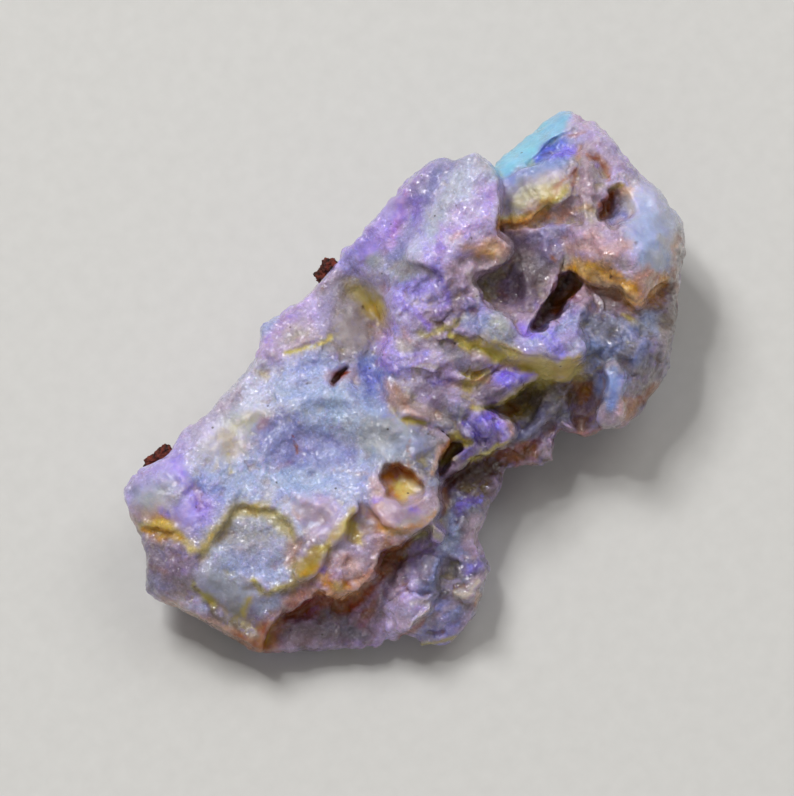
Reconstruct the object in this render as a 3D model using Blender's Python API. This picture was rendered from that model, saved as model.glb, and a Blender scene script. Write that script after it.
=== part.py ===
"""Rough opal: one natural lump of pale precious opal, lying on its flattest side.

The stone is a thick slab with a folded wing rising over its middle, a broad head with
an open cavity beside the wing, and a low foot under the slab's front edge. Its forms are
traced as they are seen from above, along one slanting line of sight. Trace points run in
trace units, x to the right and y towards the front. Heights are in millimetres above the
face that the stone rests on.
"""

import math

import bmesh
import bpy
import numpy as np
from mathutils import Vector, noise

NAME = "opal"

# Driving dimensions
STONE_LENGTH = 0.046  # metres along X, the longest way through the stone
TRACED_LENGTH = 655.0  # the same length in trace units
UNIT = STONE_LENGTH / TRACED_LENGTH  # metres in one trace unit
MM = 0.001
SIGHT_ELEVATION = math.radians(68)  # the line of sight comes down this steeply
LONG_AXIS_TURN = math.radians(38)  # the long axis lies this far round from the trace's right
FLAT_CUT = 0.12 * MM  # how much the resting face takes off the underside
THINNEST = 0.9  # millimetres of stone left between a hollow and the underside
THIN_EDGE = 8.0  # trace units inside the rim over which the stone grows that thick

# Mesh
GRID_STEP = 3.0  # trace units between the points of the raw surface
SLIVER = GRID_STEP / 8  # trace units within which points of the grid's border become one
MOST_TRIANGLES = 9200  # before the crumbs are joined on
LEVEL_WITHIN = 0.03 * MM  # points this close to the resting face are put on it
WELD = 1e-7  # metres within which points become one
SHARP_FROM = math.radians(35)  # an edge bent more than this is shaded sharp
CRUMB_FINENESS = 2  # how often a crumb's faces are split

# Ledges, ribs and furrows
LINE_STEPS = 3  # stretches of a smooth line between two of its points
SHEET_SOFTNESS = 18.0  # trace units over which a spot is rounded off
END_FADE = 0.15  # share of a line over which each end dies away

# Noise
NOISE_FALL = 0.9  # how soon the finer octaves grow weaker
NOISE_STEP = 2.1  # how much finer each octave is
WARP_SIZE = 15.0  # trace units across one wobble of a ledge line
WARP_REACH = 2.2  # trace units that a ledge line wobbles
WARP_OFFSETS = (5.5, 61.2)
RIPPLES = ((42.0, 0.30, 3.1), (16.0, 0.16, 8.7))  # size in trace units, height in millimetres, offset
HOLLOWS = ((62.0, 1.0, 21.3), (24.0, 0.35, 34.9))  # the same, for the resting side
LUMPS = ((7.5, 0.75, 2.2), (3.1, 0.34, 9.4), (1.4, 0.14, 17.8))  # sizes in millimetres, for the flanks

# Rim and flanks
RIM_ROLL = 6.5  # trace units over which the top rolls over to the widest line
RIM_DROP = 0.35  # millimetres that the widest line lies at least below the top
FLANK_LEAN = 5.8  # trace units that the underside runs in for each millimetre it drops
LEAST_FLANK = 24.0  # trace units
FLANK_CURVE = 1.5  # 1 would run in evenly, and more turns under sooner
FLANK_ROUNDS = 110  # how often the flanks are smoothed before the lumps go on
FLANK_FADE = 12.0  # trace units inside the rim over which the flank's lumps grow
ON_RIM = 0.01  # trace units within which a point counts as on the outline

# Ironstone crumbs on the back flank: trace point and height, and radii in millimetres
CRUMB_ROUGHNESS = 0.4  # how uneven a crumb is, as a share of its radius
CRUMB_LUMPS = 1.7  # lumps across a crumb's radius
CRUMBS = (
    ("crumb by the tip", (152, 461, 6.4), (0.6, 0.4, 0.5)),
    ("crumb beside it", (164, 454, 6.8), (0.7, 0.5, 0.6)),
    ("crumb under the wing", (330, 266, 8.2), (0.6, 0.6, 0.7)),
    ("crumb below it", (322, 275, 7.6), (0.55, 0.5, 0.6)),
)

# The stone's outline, along the line of sight
OUTLINE = (
    (122, 489), (124, 484), (130, 480), (138, 475), (146, 466), (158, 459), (165, 455), (170, 451),
    (172, 446), (176, 440), (178, 434), (181, 429), (188, 424), (197, 422), (200, 417), (208, 411),
    (214, 404), (219, 398), (240, 378), (246, 370), (251, 364), (254, 357), (255, 352), (260, 345),
    (259, 335), (258, 327), (261, 322), (268, 318), (277, 314), (279, 316), (281, 318), (280, 312),
    (288, 306), (297, 301), (303, 295), (312, 287), (319, 281), (323, 276), (330, 270), (334, 262),
    (338, 256), (342, 249), (348, 244), (354, 241), (358, 236), (361, 235), (361, 230), (364, 224),
    (372, 219), (380, 211), (388, 205), (392, 200), (399, 196), (400, 188), (406, 181), (412, 173),
    (420, 167), (428, 160), (438, 158), (446, 158), (454, 160), (460, 159), (467, 156), (472, 153),
    (478, 151), (481, 152), (483, 156), (490, 160), (495, 166), (496, 162), (512, 151), (530, 137),
    (545, 124), (556, 114), (561, 110), (567, 108.5), (574, 110), (580, 114), (583, 117), (590, 118),
    (596, 119), (601, 124), (608, 131), (618, 144), (627, 155), (640, 169), (652, 181), (663, 193),
    (672, 204), (680, 213), (685, 220), (686, 230), (687, 240), (686, 258), (684, 272), (683, 282),
    (682, 292), (680, 298), (679, 310), (677, 322), (675, 335), (672, 347), (670, 358), (669, 369),
    (666, 377), (663, 384), (657, 389), (652, 395), (648, 402), (645, 409), (639, 414), (634, 420),
    (629, 425), (622, 427), (616, 429), (608, 429), (600, 432), (592, 436), (584, 438), (578, 435),
    (571, 432), (563, 431), (560, 432), (557, 438), (555, 446), (554, 453), (556, 459), (553, 463),
    (546, 462), (538, 464), (530, 466), (520, 466), (512, 467), (507, 470), (504, 475), (502, 483),
    (498, 492), (494, 499), (490, 507), (487, 517), (484, 525), (482, 528), (479, 529), (478, 538),
    (480, 548), (484, 555), (488, 562), (489, 570), (488, 578), (485, 584), (481, 592), (478, 600),
    (477, 610), (474, 618), (470, 624), (465, 630), (459, 636), (455, 641), (450, 644), (442, 645),
    (435, 644), (427, 645), (420, 648), (419, 643), (419, 638), (412, 634), (405, 633), (400, 634),
    (396, 638), (391, 637), (387, 635), (383, 637), (380, 642), (377, 646), (368, 647), (350, 649),
    (330, 649), (310, 651), (290, 652), (270, 653), (258, 652), (252, 650), (243, 644), (222, 632),
    (202, 620), (182, 609), (165, 600), (153, 593), (148, 588), (146, 582), (145, 572), (146, 565),
    (146, 556), (143, 545), (141, 536), (136, 530), (130, 520), (126, 511), (123, 500),
)

# Where the stone's widest line runs: trace point and height
RIM_HEIGHTS = (
    (122, 489, 6.6), (158, 459, 8), (219, 398, 8.5), (258, 340, 8.6), (300, 298, 8.9), (338, 256, 9.9),
    (361, 235, 11), (399, 196, 12.3), (440, 158, 13.8), (480, 152, 14.5), (496, 164, 10), (530, 137, 8.1),
    (567, 109, 8.3), (596, 119, 9), (640, 169, 8.6), (682, 215, 7.9), (687, 245, 6.9), (682, 292, 5.8),
    (670, 358, 5.2), (652, 395, 5), (629, 425, 5.3), (600, 432, 4.9), (562, 431, 4.6), (553, 462, 4.1),
    (510, 467, 4.3), (487, 517, 4.6), (478, 540, 4.1), (489, 570, 3.3), (477, 610, 2.6), (450, 644, 1.8),
    (420, 646, 1.7), (400, 634, 2.2), (330, 649, 1.6), (260, 652, 1.8), (222, 632, 3), (182, 609, 3.7),
    (148, 586, 4.1), (145, 565, 4.8), (136, 530, 5.8),
)

# Spots of the low foot, which the masses stand on: trace point and height
FOOT = (
    (150, 590, 5), (200, 612, 4.2), (250, 640, 3.2), (300, 630, 3.4), (330, 647, 2.4), (300, 600, 4.2),
    (340, 612, 3.9), (370, 600, 4.3), (385, 565, 4.6), (400, 600, 4.6), (410, 572, 4.8), (430, 555, 5.4),
    (400, 625, 3.4), (430, 635, 2.8), (450, 640, 2.4), (460, 600, 4.3), (475, 600, 3.8), (485, 570, 4.2),
    (455, 560, 4.9), (440, 530, 5.9), (460, 510, 6.2), (480, 500, 5.6), (450, 490, 6), (490, 470, 5.5),
    (510, 455, 5.4), (545, 455, 5), (553, 430, 5.8), (520, 425, 6.4), (525, 398, 5.8), (560, 400, 6.9),
    (590, 425, 5.8), (585, 400, 5.9), (620, 405, 7.4), (640, 405, 6.3), (640, 370, 8.4), (668, 370, 6.4),
    (678, 300, 6.9), (600, 340, 9.9), (640, 340, 9.5), (640, 318, 8.8), (660, 320, 8.5), (600, 310, 9.6),
    (575, 320, 10.4), (540, 390, 7.3), (500, 420, 6.5),
)


def strung(points, closed):
    """A smooth line through points of two or three values."""
    known = np.array(points, float)
    count = len(known)
    before, after, beyond = (np.roll(known, shift, axis=0) for shift in (1, -1, -2))
    if not closed:
        before[0] = 2 * known[0] - known[1]
        beyond[-2] = 2 * known[-1] - known[-2]
        count -= 1
    share = (np.arange(LINE_STEPS) / LINE_STEPS)[None, :, None]
    a, b, c, d = (side[:count, None, :] for side in (before, known, after, beyond))
    line = 2 * b + (c - a) * share
    line = line + (2 * a - 5 * b + 4 * c - d) * share**2
    line = line + (3 * b - a - 3 * c + d) * share**3
    line = 0.5 * line.reshape(-1, known.shape[1])
    return line if closed else np.vstack([line, known[-1]])


def eased(low, high, value):
    """0 below low, 1 above high, and an even curve between."""
    share = np.clip((value - low) / (high - low), 0, 1)
    return share * share * (3 - 2 * share)


def to_stretch(x, y, start, end):
    """Distance to a straight stretch, the share of it passed, and the side, positive on its left."""
    across, down = end[0] - start[0], end[1] - start[1]
    share = ((x - start[0]) * across + (y - start[1]) * down) / (across**2 + down**2 + 1e-12)
    share = np.clip(share, 0, 1)
    gap = np.hypot(x - start[0] - share * across, y - start[1] - share * down)
    return gap, share, (x - start[0]) * down - (y - start[1]) * across


def inside_by(x, y, loop):
    """How far inside a closed line each point lies, negative outside, and the nearest stretch's edge."""
    gap = np.full(x.shape, np.inf)
    edge = np.zeros(x.shape)
    within = np.zeros(x.shape, bool)
    for start, end in zip(loop, np.roll(loop, -1, axis=0), strict=True):
        near, share, _ = to_stretch(x, y, start, end)
        closer = near < gap
        gap = np.where(closer, near, gap)
        edge = np.where(closer, start[2] + (end[2] - start[2]) * share, edge)
        if start[1] != end[1]:
            crossing = (end[0] - start[0]) * (y - start[1]) / (end[1] - start[1]) + start[0]
            within ^= ((start[1] > y) != (end[1] > y)) & (x < crossing)
    return np.where(within, gap, -gap), edge


def close_to(x, y, line, reach):
    """Which points lie in a line's box, widened by reach."""
    low, high = line[:, :2].min(axis=0) - reach, line[:, :2].max(axis=0) + reach
    return (x > low[0]) & (x < high[0]) & (y > low[1]) & (y < high[1])


class Sheet:
    """A smooth surface through spots, each a trace point and a value."""

    def __init__(self, spots):
        spots = np.array(spots, float)
        self.centres = spots[:, :2]
        self.level = spots[:, 2].mean()
        gaps = np.linalg.norm(self.centres[:, None] - self.centres[None], axis=2)
        self.weights = np.linalg.solve(np.hypot(gaps, SHEET_SOFTNESS), spots[:, 2] - self.level)

    def at(self, x, y):
        value = np.full(x.shape, self.level)
        for (u, v), weight in zip(self.centres, self.weights, strict=True):
            value += weight * np.sqrt((x - u) ** 2 + (y - v) ** 2 + SHEET_SOFTNESS**2)
        return value


class Plate:
    """A region with its own surface. A rim point's third value is how softly that stretch steps down."""

    def __init__(self, name, rim, spots, edge=2.0, mode="set"):
        self.name = name
        self.rim = strung([point if len(point) == 3 else (*point, edge) for point in rim], closed=True)
        self.surface = Sheet(spots)
        self.mode = mode

    def shape(self, height, x, y, wobbled):
        near = close_to(x, y, self.rim, self.rim[:, 2].max() + 2 * WARP_REACH)
        depth, edge = inside_by(wobbled[0][near], wobbled[1][near], self.rim)
        share = eased(-edge, edge, depth)
        old = height[near]
        new = self.surface.at(x[near], y[near])
        if self.mode == "carve":
            new = np.minimum(new, old)
        height[near] = old + (new - old) * share


class Stroke:
    """A rib or a furrow along a line, or a lip: a step whose high side is on the line's left."""

    def __init__(self, name, path, rise, width, kind="round", cliff=1.5):
        self.name = name
        self.path = strung(path, closed=False)
        self.rise = rise
        self.width = width
        self.kind = kind
        self.cliff = cliff

    def shape(self, height, x, y, wobbled):
        near = close_to(x, y, self.path, 3 * self.width)
        gap = np.full(int(near.sum()), np.inf)
        side = np.zeros(gap.shape)
        passed = np.zeros(gap.shape)
        lengths = np.linalg.norm(np.diff(self.path, axis=0), axis=1)
        starts = np.concatenate([[0], np.cumsum(lengths)])
        for index, length in enumerate(lengths):
            stretch = self.path[index : index + 2]
            away, share, turn = to_stretch(wobbled[0][near], wobbled[1][near], *stretch)
            closer = away < gap
            gap = np.where(closer, away, gap)
            side = np.where(closer, turn, side)
            passed = np.where(closer, (starts[index] + share * length) / starts[-1], passed)
        ends = eased(0, END_FADE, passed) * eased(0, END_FADE, 1 - passed)
        height[near] += self.rise * self.profile(gap, side) * ends

    def profile(self, gap, side):
        if self.kind == "lip":
            onto = np.where(side > 0, gap, -gap)
            return eased(-self.cliff, self.cliff, onto) * np.exp(-((np.maximum(onto, 0) / self.width) ** 2))
        if self.kind == "sharp":
            return np.clip(1 - gap / self.width, 0, 1)
        return np.exp(-((gap / self.width) ** 2))


def masses():
    """The three masses that stand above the foot, lowest first."""
    return (
        Plate(
            "slab",
            rim=(
                (110, 489), (140, 462), (170, 440), (190, 415), (235, 372), (248, 350), (250, 322),
                (290, 295), (330, 262), (348, 250), (364, 262), (372, 285), (384, 308), (394, 330),
                (396, 360), (404, 395), (425, 418), (445, 434), (450, 437), (449, 442), (443, 450),
                (440, 458), (437, 466), (436, 475), (443, 480), (440, 487), (441, 497), (443, 505),
                (441, 512), (436, 518), (430, 523), (420, 530), (410, 537), (400, 544), (390, 547),
                (381, 551), (378, 557), (376, 565), (374, 572), (370, 579), (365, 583), (360, 587),
                (352, 593), (342, 596), (334, 597), (326, 595), (320, 590), (314, 597), (306, 602),
                (300, 606), (290, 609), (282, 613), (276, 620), (271, 627), (267, 635), (264, 645),
                (262, 665), (200, 640), (140, 610), (130, 560), (110, 520),
            ),
            spots=(
                (130, 488, 7.6), (150, 510, 7.7), (180, 450, 8.6), (165, 480, 8.9), (200, 480, 9),
                (220, 430, 9.2), (250, 450, 9.3), (255, 385, 9.4), (290, 350, 9.8), (320, 300, 9.9),
                (335, 275, 10.1), (300, 400, 9.7), (330, 350, 9.9), (345, 400, 9.7), (380, 420, 9.8),
                (420, 440, 9.7), (445, 440, 9.4), (310, 445, 8.5), (340, 445, 8.6), (290, 470, 8.7),
                (330, 490, 9), (280, 490, 8.9), (240, 490, 9), (300, 520, 9), (330, 515, 9.3),
                (380, 460, 9.5), (385, 520, 9.2), (420, 512, 9.2), (438, 500, 8.9), (400, 538, 8.5),
                (350, 530, 8.7), (350, 580, 7.4), (330, 594, 6.8), (368, 570, 7.5), (300, 565, 7.6),
                (270, 590, 6.6), (258, 620, 5), (230, 612, 5.3), (200, 590, 6.4), (165, 570, 6.7),
                (170, 540, 7.5), (200, 540, 8.4), (150, 590, 5.2), (350, 290, 9.2), (370, 315, 8.8),
                (383, 338, 8.6), (345, 330, 9.7), (360, 362, 9), (375, 388, 8.8), (260, 560, 7.7),
                (220, 580, 7),
            ),
            edge=1.8,
        ),
        Plate(
            "crest",
            rim=(
                (350, 262, 6), (340, 252, 5), (352, 230), (390, 190), (430, 145), (480, 140), (495, 160),
                (499, 172), (503, 182), (503, 195), (502, 205), (502, 215), (499, 222), (496, 230),
                (503, 238), (510, 243), (513, 248), (511, 256), (507, 262), (500, 268), (492, 271),
                (485, 274), (478, 277), (474, 280), (478, 287), (481, 295), (482, 300), (490, 305),
                (496, 311), (506, 314), (512, 318), (515, 325), (518, 334), (510, 345), (480, 342),
                (456, 340, 3), (462, 372, 3), (470, 392, 4), (462, 410, 4), (452, 428, 3), (430, 426, 3),
                (404, 416, 4), (390, 404, 5), (384, 388, 5), (380, 372, 4), (381, 352, 5), (388, 334, 6),
                (384, 318, 8), (372, 300, 10), (360, 282, 10),
            ),
            spots=(
                (361, 235, 12), (372, 262, 11.3), (352, 258, 10.6), (380, 220, 12.6), (400, 195, 13.3),
                (420, 172, 14.2), (440, 162, 14.8), (460, 163, 15.3), (478, 155, 15.5), (495, 170, 15.4),
                (501, 195, 15.2), (498, 220, 15.2), (470, 200, 15.5), (450, 190, 15.3), (430, 200, 14.4),
                (415, 215, 13.6), (400, 240, 12.9), (388, 262, 12.2), (392, 285, 11.7), (420, 250, 14.1),
                (440, 235, 14.6), (460, 230, 15), (480, 225, 15.3), (505, 243, 14.4), (510, 250, 14.1),
                (500, 262, 13.5), (480, 268, 13.3), (474, 280, 12.9), (440, 270, 13.8), (450, 300, 12.7),
                (420, 290, 13), (400, 310, 12.2), (470, 310, 12.6), (490, 310, 13), (512, 322, 12.8),
                (392, 330, 11), (396, 350, 11.3), (386, 365, 10.4), (392, 390, 9.9), (410, 402, 10),
                (430, 418, 9.8), (440, 400, 10.3), (420, 372, 11), (430, 345, 11.7), (460, 330, 12.4),
                (450, 385, 10.5), (452, 420, 9.8), (465, 395, 10.2), (380, 300, 10.4),
            ),
            edge=2.0,
        ),
        Plate(
            "head",
            rim=(
                (496, 150), (540, 105), (590, 100), (650, 160), (700, 215), (705, 280), (682, 282, 5),
                (668, 282, 3), (662, 284), (656, 290), (650, 296), (645, 305), (640, 310), (632, 306),
                (628, 298), (622, 292), (615, 287), (600, 283), (585, 280), (578, 273), (573, 268),
                (570, 270), (566, 274), (560, 275), (560, 272), (565, 262), (560, 245, 4), (556, 228, 3),
                (545, 224), (535, 225), (520, 226), (505, 226), (498, 230), (500, 215), (501, 195),
                (498, 175),
            ),
            spots=(
                (496, 165, 9.6), (530, 140, 9), (560, 112, 9.2), (503, 178, 11.2), (540, 155, 10.7),
                (575, 130, 10.7), (590, 122, 10.9), (600, 138, 11.3), (622, 156, 10.4), (642, 178, 10.3),
                (665, 203, 9.9), (680, 222, 9.2), (684, 262, 7.9), (620, 170, 11.2), (640, 205, 11.5),
                (652, 230, 11.8), (660, 250, 11.5), (674, 240, 10.2), (600, 175, 12.1), (588, 195, 12.4),
                (570, 235, 11.6), (600, 235, 12.8), (620, 242, 12.8), (640, 250, 12.5), (610, 262, 12.3),
                (585, 262, 11.9), (652, 280, 11), (640, 297, 10.6), (620, 280, 11.2), (600, 276, 11.1),
                (572, 262, 10.9), (505, 200, 11.6), (530, 185, 12), (560, 170, 12.3), (560, 195, 12.3),
                (530, 212, 11.7), (508, 222, 11.1), (560, 215, 11.5), (590, 150, 12), (672, 265, 9.6),
                (680, 285, 8),
            ),
            edge=2.0,
        ),
    )


def wing_forms():
    """What juts from the wing's near side, from the yellow flank down to the blade."""
    return (
        Plate(
            "tongue flank",
            rim=(
                (452, 336), (470, 334), (490, 342), (510, 350), (530, 357), (550, 359), (570, 358),
                (582, 353), (585, 358), (580, 367), (573, 376), (565, 380), (556, 379), (545, 378),
                (530, 376), (512, 374), (500, 372), (490, 366), (478, 358), (464, 351), (450, 345),
            ),
            spots=(
                (455, 336, 12), (454, 344, 11.6), (468, 351, 11.3), (484, 360, 10.9), (470, 336, 11.9),
                (490, 344, 11.8), (510, 352, 11.6), (530, 359, 11.3), (550, 361, 11.2), (570, 360, 10.9),
                (580, 357, 10.6), (497, 358, 10.6), (500, 367, 10.2), (510, 368, 9.9), (530, 372, 9.2),
                (545, 377, 8.9), (556, 378, 8.8), (565, 378, 8.8), (575, 370, 9),
            ),
            edge=1.6,
        ),
        Plate(
            "fin",
            rim=(
                (468, 386), (478, 381), (486, 376), (500, 368), (515, 367), (530, 371), (538, 373),
                (536, 379), (531, 384), (525, 388), (518, 394), (510, 398), (500, 402), (490, 405),
                (480, 408), (466, 408, 4), (458, 398, 4),
            ),
            spots=(
                (470, 388, 10.2), (485, 380, 10.1), (500, 370, 10.1), (515, 369, 10), (532, 373, 9.8),
                (525, 384, 9.9), (510, 392, 10.2), (500, 398, 10.2), (485, 404, 10), (470, 400, 10),
                (500, 385, 10.7), (515, 379, 10.5),
            ),
            edge=1.5,
        ),
        Plate(
            "finger flank",
            rim=(
                (440, 362), (470, 376), (480, 373), (490, 366), (496, 360), (499, 364), (492, 372),
                (485, 384), (472, 390), (455, 386), (440, 375),
            ),
            spots=(
                (440, 368, 10.9), (470, 378, 10.9), (485, 372, 10.8), (495, 363, 10.9), (490, 374, 10.3),
                (480, 384, 10.1), (468, 386, 10.1),
            ),
            edge=3.5,
        ),
        Plate(
            "finger",
            rim=(
                (425, 343, 3), (440, 341), (455, 342), (470, 347), (485, 352), (493, 355), (495, 360),
                (492, 365), (485, 369), (478, 373), (470, 377), (458, 374), (445, 371), (432, 369),
                (420, 366, 3), (414, 356, 4),
            ),
            spots=(
                (428, 345, 11.7), (445, 344, 11.6), (470, 350, 11.4), (490, 357, 11.2), (492, 362, 10.9),
                (478, 370, 10.9), (460, 370, 11), (430, 366, 11.1), (460, 356, 11.9), (440, 354, 11.7),
                (480, 360, 11.6),
            ),
            edge=1.6,
        ),
        Plate(
            "tongue",
            rim=(
                (462, 330), (470, 322), (478, 310), (483, 302), (496, 311), (506, 314), (512, 318),
                (516, 326), (520, 334), (526, 335), (535, 330), (541, 329), (545, 325), (549, 321),
                (553, 319), (557, 321), (560, 324), (565, 326), (570, 322, 2.5), (578, 322, 3),
                (584, 330), (585, 342), (583, 352), (575, 356), (565, 359), (550, 359), (540, 358),
                (530, 357), (520, 354), (510, 350), (500, 345), (490, 342), (480, 337), (470, 334),
            ),
            spots=(
                (466, 330, 12.5), (480, 305, 12.9), (480, 320, 13.1), (500, 325, 13.1), (512, 322, 12.9),
                (500, 338, 12.7), (520, 338, 12.4), (538, 333, 12.3), (553, 322, 12.1), (560, 340, 12.3),
                (580, 332, 11.6), (583, 345, 11.4), (570, 356, 11.7), (545, 356, 11.9), (520, 350, 12.2),
                (545, 345, 12.4), (490, 336, 12.7), (572, 325, 11.7),
            ),
            edge=1.5,
        ),
        Plate(
            "blade",
            rim=(
                (455, 420), (465, 410), (475, 406), (485, 408), (495, 413), (503, 417), (508, 420),
                (514, 424), (516, 431), (514, 437), (508, 442), (500, 447), (492, 451), (484, 453),
                (478, 456), (470, 462), (462, 469), (455, 473), (450, 477), (445, 481), (441, 487),
                (440, 480), (444, 472, 2.5), (450, 462, 3), (458, 452, 3), (464, 445, 2.5), (462, 438),
                (452, 430),
            ),
            spots=(
                (458, 420, 10), (470, 410, 9.9), (485, 410, 9.6), (500, 418, 9.2), (513, 428, 8.7),
                (510, 438, 8.5), (495, 447, 8.5), (480, 452, 8.5), (490, 430, 9.7), (475, 430, 9.9),
                (465, 440, 9.2), (462, 460, 8.3), (452, 472, 7.6), (444, 482, 7),
            ),
            edge=1.5,
        ),
        Plate(
            "notch",
            rim=(
                (449, 438), (455, 436), (462, 440), (466, 446), (458, 452), (450, 462), (444, 472),
                (440, 480), (436, 475), (437, 466), (440, 458), (443, 450), (447, 443),
            ),
            spots=(
                (452, 440, 8.7), (460, 445, 8.8), (446, 452, 8), (441, 464, 7.5), (440, 475, 7.3),
                (452, 455, 8.2),
            ),
            mode="carve",
            edge=1.5,
        ),
        Plate(
            "neck",
            rim=(
                (444, 402), (456, 398), (468, 402), (478, 406), (476, 414), (464, 418), (452, 416),
                (443, 410),
            ),
            spots=(
                (450, 404, 10.5), (464, 404, 10.3), (475, 409, 10), (462, 415, 10), (450, 412, 10.2),
            ),
            edge=4,
        ),
        Plate(
            "olive wedge",
            rim=(
                (443, 427), (450, 427), (460, 434), (470, 437), (474, 441), (466, 447), (458, 444),
                (451, 440),
            ),
            spots=(
                (447, 430, 9.4), (452, 434, 9.3), (462, 438, 9.1), (470, 441, 8.8), (456, 441, 8.7),
            ),
            edge=2,
        ),
    )


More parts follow.
